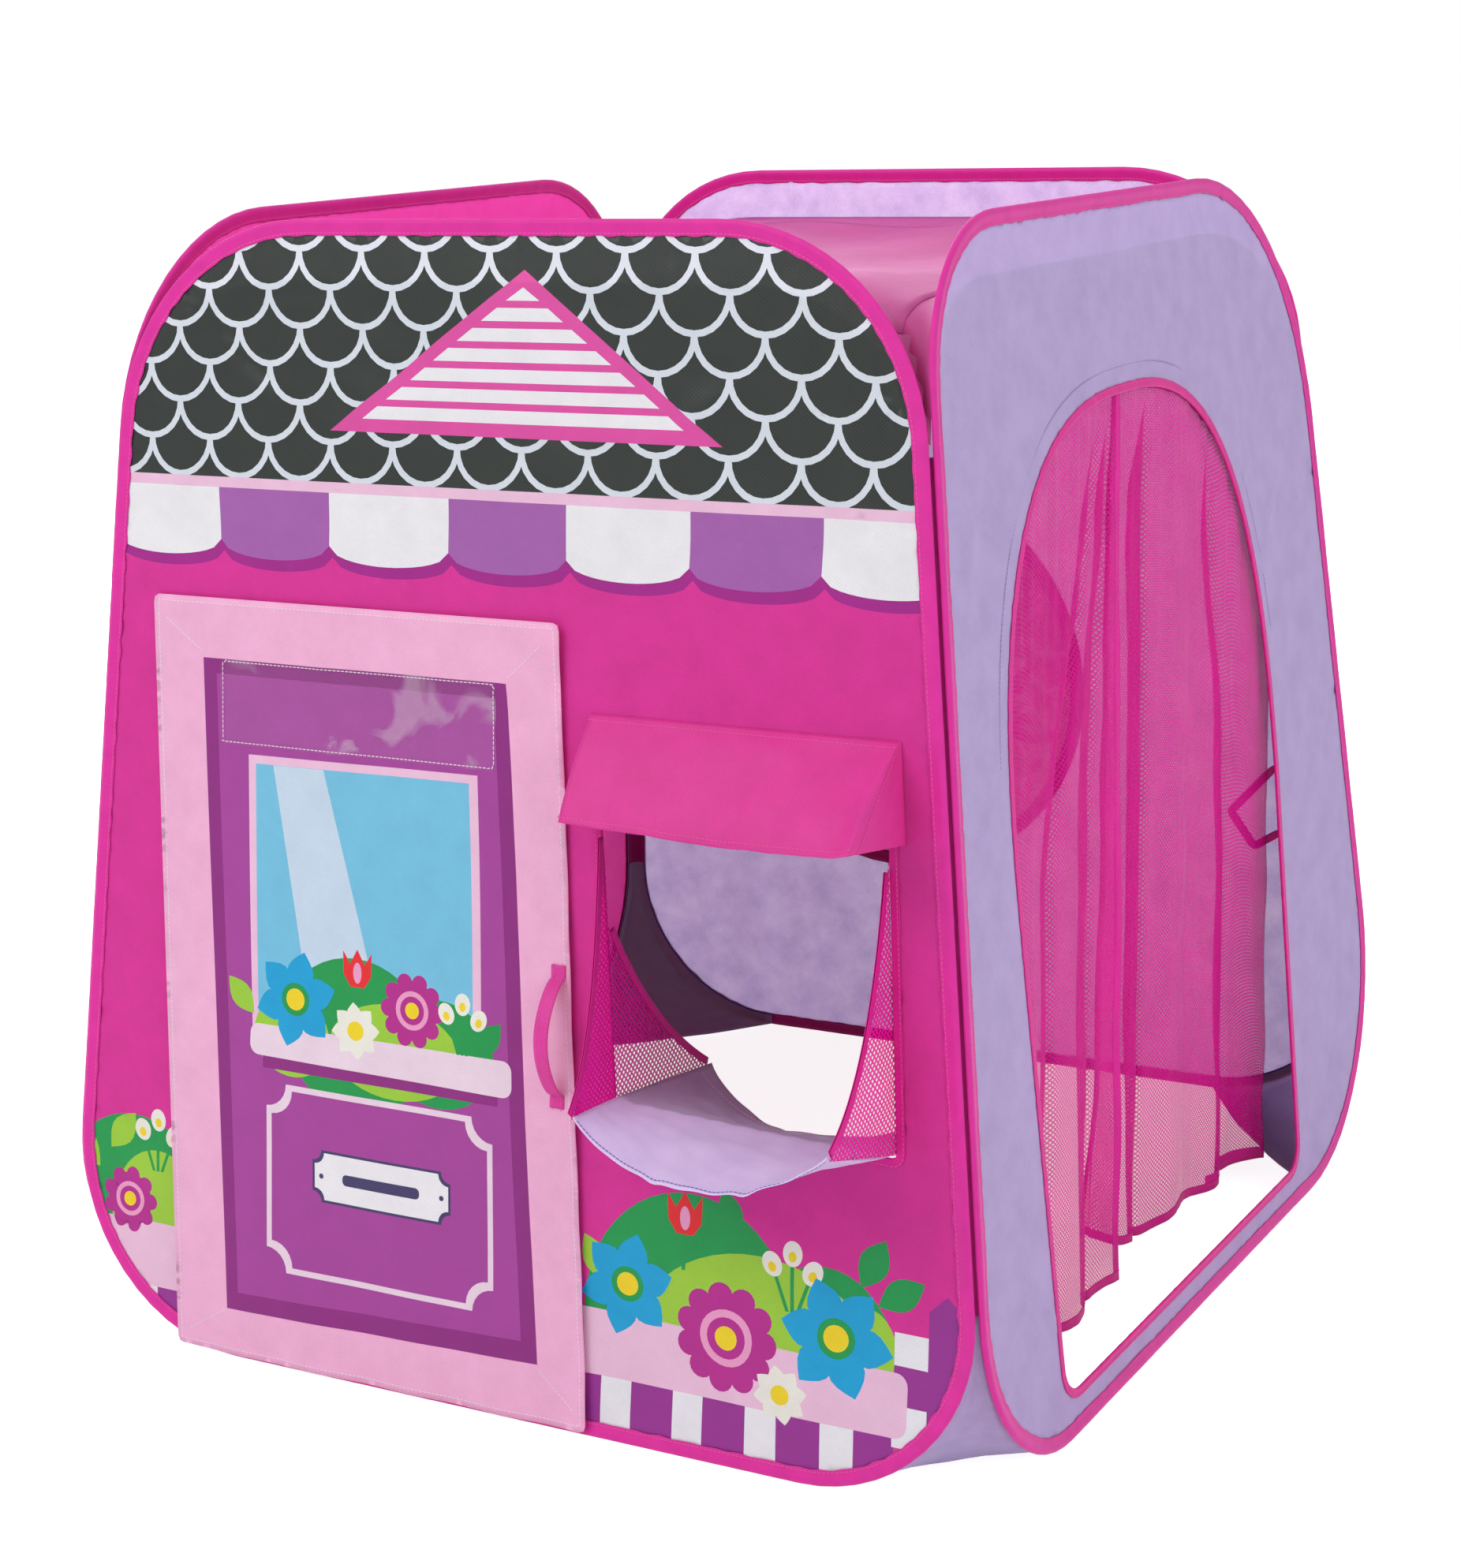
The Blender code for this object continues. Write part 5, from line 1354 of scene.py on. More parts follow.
class PLAYTENT_OT_bindings(bpy.types.Operator):
    """Makes the tape round the doorway, the counter window and the arch, and the arch's facing seam"""

    bl_idname = "play_tent.bindings"
    bl_label = "Bound edges"

    def execute(self, context):
        front, right = wall_of(FRONT), wall_of(RIGHT)
        bound_edge("doorway_edge_tape", front, doorway(front), "doorway_binding", 61)
        window = counter_window(front)
        bound_edge("counter_window_edge_tape", front, window, "counter_window_binding", 62)
        bound_edge("arch_edge_tape", right, arch(right), "arch_binding", 63)
        facing = arch_top(right, 0.024, 80)[6:-6]
        line = stitch_places(facing, False)
        points = right.place(*line.T, CLOTH_MIDDLE + 0.6 * MM)
        seams("right", "lilac").sew(points, right.normal(), width=1.3 * MM)
        return {"FINISHED"}


# ---- Door


def door_height(wall, places):
    """How far out of the wall's plane the flap hangs: flat at its hinge, loose at its hem."""
    low_left, low_right, top_right, top_left = flap_corners(wall)
    hinge = top_left - low_left
    length = np.linalg.norm(hinge)
    from_hinge = np.abs((places - low_left) @ np.array([hinge[1], -hinge[0]])) / length
    up = (places[:, 1] - low_left[1]) / (top_left[1] - low_left[1])
    loose = smooth(from_hinge / 0.12)
    hem = np.exp(-np.maximum(places[:, 1], 0) / 0.05)
    edge = np.exp(-np.maximum(0.47 - from_hinge, 0) / 0.03)
    wave = 0.5 + 0.5 * ripples(places[:, 0], places[:, 1] * 0.5, 0.16, 71) / 1.5
    relief = 3.0 * MM * np.clip(wave, 0, 1.3) * loose
    scallop = 0.5 + 0.5 * np.sin(TAU * places[:, 0] / 0.105 + 0.6)
    relief += 3.2 * MM * scallop * hem * loose
    relief += 1.2 * MM * edge * loose * (0.5 + 0.5 * np.sin(TAU * places[:, 1] / 0.09))
    relief += crease(places, (0.066, 0.742), (-0.030, 0.640), 0.010, 2.5 * MM)
    relief += crease(places, (0.020, 0.700), (0.045, 0.520), 0.008, 1.6 * MM)
    relief += crease(places, (-0.200, 0.700), (0.010, 0.560), 0.014, 1.5 * MM)
    relief *= smooth((1 - up) / 0.06) * 0.75 + 0.25
    return FLAP_MIDDLE + relief


def stitch_flap(wall, corners):
    """The flap's hem, and a short row of tacking at each of its corners."""
    outline = rounded([tuple(c) for c in corners], [FLAP_RADIUS] * 4, 5)
    hem = stitch_places(inset(outline, 5.5 * MM))
    lines = [(hem, True)]
    for start, end in (
        ((-0.372, 0.728), (-0.330, 0.700)),
        ((0.052, 0.728), (0.022, 0.700)),
        ((0.094, 0.024), (0.058, 0.052)),
        ((-0.352, 0.022), (-0.312, 0.046)),
    ):
        lines.append((np.array([start, end]), False))
    for line, closed in lines:
        line = stitch_places(line, closed)
        height = door_height(wall, line) + FLAP_CLOTH / 2
        points = wall.place(*line.T, height)
        seams("door", "pale").sew(points, wall.normal(), closed=closed)


def hinge_seam(wall, corners):
    """The folded tape that the flap swings on."""
    low_left, _, _, top_left = corners
    low, high = 0.0395, top_left[1] - 0.030
    rise = top_left[1] - low_left[1]
    run = np.linspace(0, 1, 60)
    up = mix(low, high, run)
    side = mix(low_left[0], top_left[0], (up - low_left[1]) / rise)
    across, down = grid_shares(4, 59)
    line = np.interp(down, run, side)
    wobble = 0.4 * MM * ripples(np.interp(down, run, up), down * 0, 0.03, 73)
    x = line + HINGE_SEAM_WIDTH * across + wobble * (across > 0.8)
    y = np.interp(down, run, up)
    points = wall.place(x, y, HINGE_SEAM_HEIGHT)
    look = edge_tape()
    flat = flat_places(x, y)
    made = cloth_piece("door_hinge_tape", points, grid_faces(4, 59), HINGE_SEAM_THICKNESS, [look], flat)
    size = (HINGE_SEAM_WIDTH, high - low)
    fit(made, "front", "door_hinge_seam", flat=size, held="folded", rests_on=["front_wall_cloth"])


def flap_pocket(wall, corners):
    """The clear pocket, sewn flat round its edge and crinkled between."""
    _, _, top_right, top_left = corners
    left, right = top_left[0] + POCKET_SIDES[0], top_right[0] - POCKET_SIDES[1]
    top = top_left[1] - POCKET_BELOW_TOP
    bottom = top - POCKET_HEIGHT
    outline = rounded([(left, bottom), (right, bottom), (right, top), (left, top)], [3 * MM] * 4, 4)
    places, faces, _, _ = cut_cloth(outline, [], [], 6 * MM)
    away, along = nearest(places, outline)
    loose = smooth(away / 0.02)
    crinkle = 0.5 + 0.35 * ripples(*places.T, 0.045, 75)
    crinkle += 0.25 * ripples(places[:, 0], places[:, 1] * 2, 0.022, 76)
    pucker = 0.25 * MM * np.exp(-away / (6 * MM)) * (1 + np.sin(TAU * along / (11 * MM)))
    height = door_height(wall, places) + FLAP_CLOTH / 2 + 0.45 * MM
    height += 2.2 * MM * np.clip(crinkle, 0, 1.4) * loose + pucker
    points = wall.place(*places.T, height)
    flat = flat_places(*places.T)
    look = clear_film("clear PVC pocket film", "#E9D8EE", 0.02, 0.12, 70)
    made = cloth_piece("door_pocket_film", points, faces, 0.3 * MM, [look], flat)
    size = (right - left, top - bottom)
    fit(made, "door", "door_pocket", flat=size, held="stretched", rests_on=["door_flap_cloth"])
    line = stitch_places(inset(outline, 2.5 * MM))
    height = door_height(wall, line) + FLAP_CLOTH / 2 + 0.9 * MM
    places = wall.place(*line.T, height)
    seams("door", "pale").sew(places, wall.normal(), closed=True)


def flap_handle(wall, corners):
    """The pull handle: webbing that lands flat at both ends and bows out between."""
    across = corners[1][0] - HANDLE_IN
    low, high = HANDLE_ENDS
    landing = FLAP_MIDDLE + FLAP_CLOTH / 2 + 0.3 * MM + WEBBING_THICKNESS / 2
    shares = np.linspace(0, 1, 49)
    reach = (HANDLE_STAND_OFF - landing) * np.sin(math.pi * shares) ** (2 / 3)
    loop_up = low + HANDLE_LANDING + (high - low - 2 * HANDLE_LANDING) * shares
    up = np.concatenate([np.linspace(low, low + HANDLE_LANDING, 5)[:-1], loop_up])
    up = np.concatenate([up, np.linspace(high - HANDLE_LANDING, high, 5)[1:]])
    out = np.concatenate([np.zeros(4), reach, np.zeros(4)])
    lift = door_height(wall, np.stack([np.full_like(up, across), up], axis=1)) - FLAP_MIDDLE
    out = out + landing + np.interp(up, up, lift)
    line = np.stack([up, out], axis=1)
    look = webbing()
    made = ribbon("door_handle_webbing", wall, line, across, WEBBING_WIDTH, WEBBING_THICKNESS, look)
    size = (WEBBING_WIDTH, lengths_along(line)[-1])
    fit(made, "door", "door_handle", flat=size, held="hung", rests_on=["door_flap_cloth"])
    left = lefts(line, False)
    for sideways in (-4.5 * MM, 4.5 * MM):
        raised = line + left * (WEBBING_THICKNESS / 2 + 0.1 * MM)
        points = wall.place(across + sideways, *raised.T)
        normal = wall.place(0, *left.T) - wall.place(0, 0, 0)
        spaced = stitch_places(points, False)
        share = np.linspace(0, len(normal) - 1, len(spaced)).round().astype(int)
        seams("door").sew(spaced, normal[share])


class PLAYTENT_OT_door(bpy.types.Operator):
    """Makes the printed door flap with its hinge seam, clear pocket and pull handle"""

    bl_idname = "play_tent.door"
    bl_label = "Door"

    def execute(self, context):
        wall = wall_of(FRONT)
        corners = flap_corners(wall)
        outline = rounded([tuple(c) for c in corners], [FLAP_RADIUS] * 4, 5)
        pale = spunbond(linear("#F7ACD3"), "pale pink spunbond polypropylene", 0.5, 0.6)
        places, faces, inks, _ = cut_cloth(outline, [], door_prints(), 8 * MM)
        heights = door_height(wall, places)
        points = wall.place(*places.T, heights)
        inks, looks = trimmed(inks, ink_looks(pale, glossy=("door",)))
        flat = flat_places(*places.T)
        flap = cloth_piece("door_flap_cloth", points, faces, FLAP_CLOTH, looks, flat, inks, pale)
        hung = {"held": "hung", "rests_on": ["door_hinge_tape"]}
        fit(flap, "door", "door_flap", flat=(0.482, 0.750), area=0.350, **hung)
        stitch_flap(wall, corners)
        hinge_seam(wall, corners)
        flap_pocket(wall, corners)
        flap_handle(wall, corners)
        return {"FINISHED"}


def ribbon(name, wall, line, across, width, thickness, look, closed=False, twist=0.0):
    """Webbing that follows a line of heights up a wall and distances out of it."""
    left = lefts(line, closed)
    # Half of the section across, as shares of half the width and of the thickness, with a low middle
    face = np.array([(-1, -0.25), (-0.9, -0.5), (-0.33, -0.44), (0.33, -0.44), (0.9, -0.5), (1, -0.25)])
    side, rise = (np.vstack([face, -face]) * (width / 2, thickness)).T
    turn = np.broadcast_to(twist, len(line))[:, None]
    side, rise = side * np.cos(turn) - rise * np.sin(turn), side * np.sin(turn) + rise * np.cos(turn)
    up, out = beside(line, left, rise)
    points = wall.place(across + side, up, out).reshape(-1, 3)
    count = side.shape[1]
    # Turned over, because the section runs the other way round
    faces = [face[:1] + face[:0:-1] for face in tube_faces(len(line), count, closed)]
    flat = flat_places(np.repeat(lengths_along(line), count), side.ravel())
    return new_piece(name, points, faces, [look], None, flat)


# ---- Awning


AWNING_SEAM_ABOVE = 0.0175
AWNING_SEAM_PAST = (0.0050, 0.0105)
AWNING_FOOT_BELOW = 0.070
AWNING_FOOT_PAST = (0.012, 0.020)
AWNING_EDGE_BELOW = (0.073, 0.066)
AWNING_EDGE_PAST = (0.005, 0.014)
AWNING_EDGE_OUT = (0.060, 0.102)


def awning_place(wall, across, down):
    """The hood's cloth: a side gusset, the sloping front, and the other gusset, as across goes on."""
    at_wall = 4.35 * MM

    def line(bottom, top):
        return np.array(top)[None, :] + (np.array(bottom) - np.array(top))[None, :] * down[:, None]

    lines = []
    for i, sign in ((0, -1), (1, 1)):
        side, top = counter_corners(wall)[3 - i]
        seam, above = side + sign * AWNING_SEAM_PAST[i], top + AWNING_SEAM_ABOVE
        foot = (side + sign * AWNING_FOOT_PAST[i], top - AWNING_FOOT_BELOW, at_wall)
        edge = (side + sign * AWNING_EDGE_PAST[i], top - AWNING_EDGE_BELOW[i], AWNING_EDGE_OUT[i])
        lines += [line(foot, (seam + sign * 2 * MM, above, at_wall)), line(edge, (seam, above, at_wall))]
    wall_left, fold_left, wall_right, fold_right = lines
    side_share = 0.18
    part_left = np.clip(across / side_share, 0, 1)[:, None]
    part_right = np.clip((across - 1 + side_share) / side_share, 0, 1)[:, None]
    share = np.clip((across - side_share) / (1 - 2 * side_share), 0, 1)
    place = mix(fold_left, fold_right, share[:, None])
    sag = np.interp(share, [0, 0.5, 0.93, 1], [0, 1.0, 0.55, 0])
    place[:, 1] -= 10 * MM * sag * down
    place[:, 2] += -20 * MM * sag * down + 6 * MM * hump(down)
    place = np.where(part_left < 1, mix(wall_left, fold_left, part_left), place)
    place = np.where(part_right > 0, mix(fold_right, wall_right, part_right), place)
    return place


def make_awning():
    wall = wall_of(FRONT)
    columns, rows = 110, 36
    across, down = grid_shares(columns, rows)
    place = awning_place(wall, across, down)
    front = smooth((across - 0.18) / 0.06) * smooth((0.82 - across) / 0.06)
    swell = ripples(across * 0.42, down * 0.12, 0.13, 81)
    small = ripples(across * 0.42, down * 0.12, 0.045, 82)
    relief = (1.6 * MM * swell + 0.7 * MM * small) * smooth(down / 0.15) * (0.35 + 0.65 * front)
    kinks = bell(across, 0.37, 0.02) - 0.8 * bell(across, 0.63, 0.025)
    relief += 3.5 * MM * kinks * down**4
    place[:, 2] += relief * smooth((place[:, 2] - 4.4 * MM) / (9 * MM))
    place[:, 1] += relief * 0.5 * down
    points = wall.place(*place.T)
    flat = flat_places(across * 0.46, down * 0.115)
    look = spunbond(colours().awning, "deep pink spunbond polypropylene", 0.6, 0.4)
    faces = grid_faces(columns, rows)[:, ::-1]
    made = cloth_piece("awning_hood_cloth", points, faces, CLOTH, [look], flat)
    stretched = {"held": "stretched", "rests_on": ["front_wall_cloth"]}
    fit(made, "front", "awning_hood", flat=(0.460, 0.125), area=0.046, **stretched)
    grid = points.reshape(rows + 1, columns + 1, 3)
    normal = wall.normal()
    seams("front").sew(grid[2, 20:-20] + normal * 0.6 * MM, normal)
    seams("front").sew(grid[-3, 20:-20] + normal * 0.7 * MM, normal)
    side = np.array(wall.matrix.to_3x3() @ Vector((1, 0, 0)))
    seams("front").sew(grid[2:, -18] + side * 0.7 * MM, side)


class PLAYTENT_OT_awning(bpy.types.Operator):
    """Makes the hood over the counter window"""

    bl_idname = "play_tent.awning"
    bl_label = "Awning"

    def execute(self, context):
        make_awning()
        return {"FINISHED"}


# ---- Counter


TRAY_REACH_OUT = (0.083, 0.128)
TRAY_BULGE = 0.010
TRAY_REACH_IN = 0.166
TRAY_HOLLOW = 0.052
TRAY_RIGHT_RISE = 0.0284
TRAY_INNER_DROP = 3.5 * MM
TRAY_SAGS = (0.042, 0.038)
WEB_STAND_OFF = 1.5 * MM
WEB_TOP_SHARES = {"outer": 0.752, "inner": 0.480}
WEB_HOLLOWS = {"outer": (0.30, 0.22), "inner": (0.36, 0.34)}


def tray_place(wall, share, up, out):
    """A point of the counter cloth, whose sides follow the webs."""
    low_left, low_right, top_right, top_left = counter_corners(wall)
    gap = WEB_STAND_OFF + 2.4 * MM
    left = mix(low_left[0], top_left[0], (up - low_left[1]) / (top_left[1] - low_left[1])) + gap
    right = mix(low_right[0], top_right[0], (up - low_right[1]) / (top_right[1] - low_right[1])) - gap
    return np.stack([mix(left, right, share), up, out], axis=-1)


def web_plane(wall, side):
    """A plane through one side of the counter window, square to the wall: outward and upward."""
    low_left, low_right, top_right, top_left = counter_corners(wall)
    bottom, top, turn = (low_left, top_left, 1) if side == "left" else (low_right, top_right, -1)
    up = (Vector((*top, 0)) - Vector((*bottom, 0))).normalized()
    inward = Vector((up.y, -up.x, 0)) * turn
    start = Vector((*bottom, 0)) + inward * WEB_STAND_OFF
    out = Vector((0, 0, 1))
    axes = Matrix((out, up, out.cross(up))).transposed().to_4x4()
    return wall.matrix @ Matrix.Translation(start) @ axes, bottom, top


def in_plane(plane, places, off):
    local = np.column_stack([places, np.broadcast_to(off, len(places))])
    array = np.array(plane)
    return local @ array[:3, :3].T + array[:3, 3]


def counter_tray(wall):
    """The counter's cloth, slung out in front of its window and in behind it."""
    low_left, low_right, _, _ = counter_corners(wall)
    columns, rows = 60, 56
    share, down = grid_shares(columns, rows)
    half = 0.48
    crest = mix(low_left[1], low_right[1], share) + 1.6 * MM
    outward = np.clip(1 - down / half, 0, 1)
    inward = np.clip((down - half) / (1 - half), 0, 1)
    reach_out = mix(*TRAY_REACH_OUT, share) + TRAY_BULGE * hump(share)
    far_out = mix(low_left[1], low_right[1] + TRAY_RIGHT_RISE, share) - TRAY_SAGS[0] * hump(share)
    reach_in = TRAY_REACH_IN - TRAY_HOLLOW * hump(share)
    far_in = low_left[1] - TRAY_INNER_DROP - TRAY_SAGS[1] * hump(share)
    up = np.where(outward > 0, mix(crest, far_out, outward**1.45), mix(crest, far_in, inward**1.15))
    out = np.where(outward > 0, mix(7 * MM, reach_out, outward), mix(7 * MM, -reach_in, inward))
    place = tray_place(wall, share, up, out)
    crossing = np.minimum(np.abs(out) / 0.03, 1)
    folds = ripples(share * 0.28, down * 0.30, 0.10, 91) + 0.5 * ripples(share * 0.28, down * 0.3, 0.04, 92)
    gather = np.sin(TAU * share * 11) * np.exp(-np.abs(out) / 0.03)
    place[:, 1] += 1.7 * MM * folds * crossing * hump(share) ** 0.5 + 0.5 * MM * gather * (out > 0)
    kink = bell(share, 0.34, 0.03) + bell(share, 0.70, 0.03)
    place[:, 1] -= 2.5 * MM * kink * outward**6
    place[:, 1] += 3.4 * MM * np.exp(-np.minimum(share, 1 - share) / 0.02)
    points = wall.place(*place.T)
    flat = flat_places(share * 0.28, down * 0.30)
    # The counter cloth is the walls' lilac painted 30 % lighter: a painted highlight on its top
    look = spunbond(scaled(colours().lilac, 1.3), "pale lilac spunbond polypropylene", 0.55, 0.5, glow=0.9)
    made = cloth_piece("counter_tray_cloth", points, grid_faces(columns, rows), CLOTH, [look], flat)
    on = ["counter_window_edge_tape", "counter_web_outer_left_net"]
    fit(made, "front", "counter_tray", flat=(0.285, 0.310), held="hung", rests_on=on, area=0.075)
    grid = points.reshape(rows + 1, columns + 1, 3)
    upward = np.array(wall.matrix.to_3x3() @ Vector((0, 1, 0)))
    for row, sign, name in ((1, 1, "indigo"), (rows - 4, 1, "pale"), (1, -1, "indigo")):
        line = grid[row, 1:-1] + upward * sign * 0.5 * MM
        seams("front", name).sew(line, upward * sign, width=1.2 * MM)


def counter_web(wall, side, place):
    """One net web from the window's side to a far corner of the counter, with its tape."""
    plane, bottom, top = web_plane(wall, side)
    sign = 1 if place == "outer" else -1
    low_left, low_right, _, _ = counter_corners(wall)
    if place == "inner":
        reach, height = TRAY_REACH_IN, low_left[1] - TRAY_INNER_DROP
    elif side == "left":
        reach, height = TRAY_REACH_OUT[0], low_left[1]
    else:
        reach, height = TRAY_REACH_OUT[1], low_right[1] + TRAY_RIGHT_RISE
    hollow = WEB_HOLLOWS[place]
    start = np.array([sign * 0.25 * MM, mix(bottom[1], top[1], WEB_TOP_SHARES[place]) - bottom[1]])
    end = np.array([sign * reach - CLOTH_MIDDLE, height - bottom[1]])
    pull = np.array([mix(start[0], end[0], hollow[0]), mix(end[1], start[1], hollow[1])])
    t = np.linspace(0, 1, 40)[:, None]
    edge = start * (1 - t) ** 2 + pull * 2 * t * (1 - t) + end * t**2
    edge[:, 0] += CLOTH_MIDDLE
    foot = np.array([[CLOTH_MIDDLE + sign * 0.25 * MM, 4 * MM]])
    outline = np.vstack([foot, edge[::-1]])
    outline = outline if sign > 0 else outline[::-1]
    places, faces, _, sewn = cut_cloth(outline, [], [], 7 * MM)
    away, _ = nearest(places, sewn[0])
    name = f"counter_web_{place}_{side}"
    seed = 95 + len(name) + (3 if side == "left" else 0)
    off = 1.2 * MM * smooth(away / 0.02) * ripples(*places.T, 0.07, seed)
    points = in_plane(plane, places, off)
    look = net(scaled(colours().net, 1.1), "pink knitted web net", 4.8 * MM, 0.10, 0.85)
    flat = flat_places(*places.T)
    made = cloth_piece(f"{name}_net", points, faces, NET_CLOTH, [look], flat)
    area = polygon_area(outline)
    wide, tall = outline.max(axis=0) - outline.min(axis=0)
    size = (wide, max(tall, area / wide / 0.99))
    area = max(area, 0.301 * wide * tall)
    on = ["front_wall_cloth", "counter_tray_cloth"]
    fit(made, "front", name, flat=size, held="stretched", rests_on=on, area=area)
    web_tape(plane, name, edge[1:-1], sign)


def web_tape(plane, name, edge, sign):
    """Tape folded over a web's free edge."""
    line, along = evenly(edge, 4 * MM, False)
    left = lefts(line, False) * (1 if sign > 0 else -1)
    outer = np.array(folded_tape(7.4 * MM, 0.6 * MM, 1.25 * MM, 1.4 * MM, 0.5 * MM))
    depth, height = outer[:, 0] - 0.6 * MM, outer[:, 1]
    across, up = beside(line, left, depth)
    count = len(outer)
    flat_points = np.stack([across, up], axis=-1).reshape(-1, 2)
    points = in_plane(plane, flat_points, np.tile(height, len(line)))
    faces = tube_faces(len(line), count, False)
    flat = flat_places(np.repeat(along, count), np.tile(lengths_along(outer), len(line)))
    look = edge_tape()
    made = new_piece(f"{name}_tape", points, faces, [look], None, flat)
    node_name = name.replace("web_", "web_tape_")
    fit(made, "front", node_name, flat=(0.018, along[-1]), held="folded", rests_on=[f"{name}_net"])


class PLAYTENT_OT_counter(bpy.types.Operator):
    """Makes the slung counter cloth with the net webs and tapes that carry it"""

    bl_idname = "play_tent.counter"
    bl_label = "Counter"

    def execute(self, context):
        wall = wall_of(FRONT)
        counter_tray(wall)
        for side in ("left", "right"):
            for place in ("outer", "inner"):
                counter_web(wall, side, place)
        return {"FINISHED"}


# ---- Curtains


# Each fold: its place down the curtain and at its top as shares of the width, depth and width
CURTAIN_FOLDS = {
    "curtain_near": ((0.52, 0.86, 0.010, 0.007), (0.80, 0.94, 0.012, 0.006)),
    "curtain_far": ((0.14, 0.10, 0.008, 0.005), (0.33, 0.30, 0.019, 0.006), (0.84, 0.70, 0.013, 0.008)),
}


def net_curtain(wall, name, start, end, hem, seed):
    """A gathered net curtain, held along the arch and loose below."""
    columns, rows = 150, 90
    share, down = grid_shares(columns, rows)
    near = name == "curtain_near"
    across = mix(start, end, share)
    if not near:
        # The free edge runs close to the near curtain's and flares out at its hem
        drawn = (CURTAIN_OVERLAP - 15 * MM) * (1 - smooth((down - 0.80) / 0.17))
        across += drawn * (1 - smooth(share / 0.35))
    set_back = sizes().width_at_ground / 2
    lean = set_back * (1 - ROOF_SHARE) / sizes().height
    top = arch_height(wall, across, CURTAIN_HEADER) * sizes().height / wall.slope
    plane = set_back - lean * top + 2.25 * MM
    height = mix(top, hem, down)
    broad = (1 - np.cos(TAU * (3 if near else 4) * share)) / 2
    depth = mix(1.2 * MM, 9 * MM, down) * broad
    fine = ripples(across, down * 0, 0.017, seed, 5)
    fine = np.clip(0.5 + 0.4 * fine, 0, 1.2)
    depth += 2.6 * MM * fine * (1 - 0.75 * smooth(down / 0.45))
    wander = ripples(across + 0.02 * down, down * 0.25, 0.055, seed + 2, 6)
    depth += 3.0 * MM * np.clip(0.5 + 0.4 * wander, 0, 1.3) * smooth(down / 0.3)
    for at, top_at, deep, wide in CURTAIN_FOLDS[name]:
        line = mix(mix(start, end, top_at), mix(start, end, at), smooth(down / 0.5))
        body = smooth(down / 0.15) * (1 - 0.5 * smooth((down - 0.7) / 0.3))
        depth += deep * body * bell(across, line, wide)
    shift = 0.0
    if not near:
        from_edge = 1 - smooth((across - start - CURTAIN_OVERLAP) / 0.150)
        shift = mix(2.5 * MM, 26 * MM, down) * from_edge
    height += 7 * MM * np.sin(TAU * share * 1.3 + seed) ** 2 * down**3
    if not near:
        lift = 0.045 * (1 - smooth((across - start) / 0.10)) * down**2
        height += lift
    x = plane - shift - depth
    points = np.stack([x, across + STAND_BACK, height], axis=1)
    body = net(colours().net, "pink knitted curtain net", 3.6 * MM, 0.28, 0.68)
    thick = net(scaled(colours().net, 0.9), "pink hemmed net", 3.6 * MM, 0.86, 0.98)
    faces = grid_faces(columns, rows)[:, ::-1]
    middle_down = down[faces].mean(axis=1)
    middle_share = share[faces].mean(axis=1)
    length = (top - hem)[faces].mean(axis=1)
    hemmed = (middle_down * length > length - 0.014) | (middle_down * length < 0.016)
    edge = middle_share > 1 - 0.013 / (end - start) if near else middle_share < 0.013 / (end - start)
    flat = flat_places(across * 1.3, down * 0.9)
    doubled = (hemmed | edge).astype(int)
    made = cloth_piece(f"{name}_net", points, faces, NET_CLOTH, [body, thick], flat, doubled)
    size = ((end - start) * 1.15, 0.93)
    gathered = {"held": "gathered", "rests_on": ["right_wall_cloth"]}
    fit(made, "right", name, flat=size, area=size[0] * size[1] * 0.90, **gathered)
    grid = points.reshape(rows + 1, columns + 1, 3)
    inward = np.array([-1.0, 0, 0])
    hem_row = round(rows * (1 - 0.014 / 0.85))
    for row in (hem_row, rows - 1):
        seams("right").sew(grid[row] + inward * 0.5 * MM, inward, width=0.8 * MM)
        seams("right").sew(grid[row] - inward * 0.5 * MM, -inward, width=0.8 * MM)


def tie_back(wall, far_side):
    """The loop of narrow webbing beside the arch, turned on edge where it stands off."""
    across = far_side + 0.023
    behind = 2.55 * MM
    corners = [(0.482, behind), (0.405, behind), (0.385, -0.036), (0.425, -0.060)]
    line = rounded(corners, [4 * MM] * 4, 6)
    line = inset(evenly(line, 3 * MM)[0], 0.6 * MM)
    look = webbing()
    twist = math.radians(68) * smooth((behind - line[:, 1]) / (16 * MM))
    made = ribbon("tie_back_webbing", wall, line, across, 9 * MM, 1.1 * MM, look, True, twist)
    size = (0.010, evenly(line, 3 * MM)[1][-1])
    fit(made, "right", "tie_back_strap", flat=size, held="hung", rests_on=["right_wall_cloth"])


class PLAYTENT_OT_curtains(bpy.types.Operator):
    """Makes the two gathered net curtains in the arch and the loop that ties one back"""

    bl_idname = "play_tent.curtains"
    bl_label = "Curtains"

    def execute(self, context):
        wall = wall_of(RIGHT)
        near_side, far_side = arch_sides(wall)
        split = near_side + CURTAIN_NEAR_WIDTH
        reach = CURTAIN_HEADER - 4 * MM
        net_curtain(wall, "curtain_near", near_side - reach, split, CURTAIN_HEMS[0], 101)
        net_curtain(wall, "curtain_far", split - CURTAIN_OVERLAP, far_side + reach, CURTAIN_HEMS[1], 107)
        tie_back(wall, far_side)
        return {"FINISHED"}


# ---- Back window


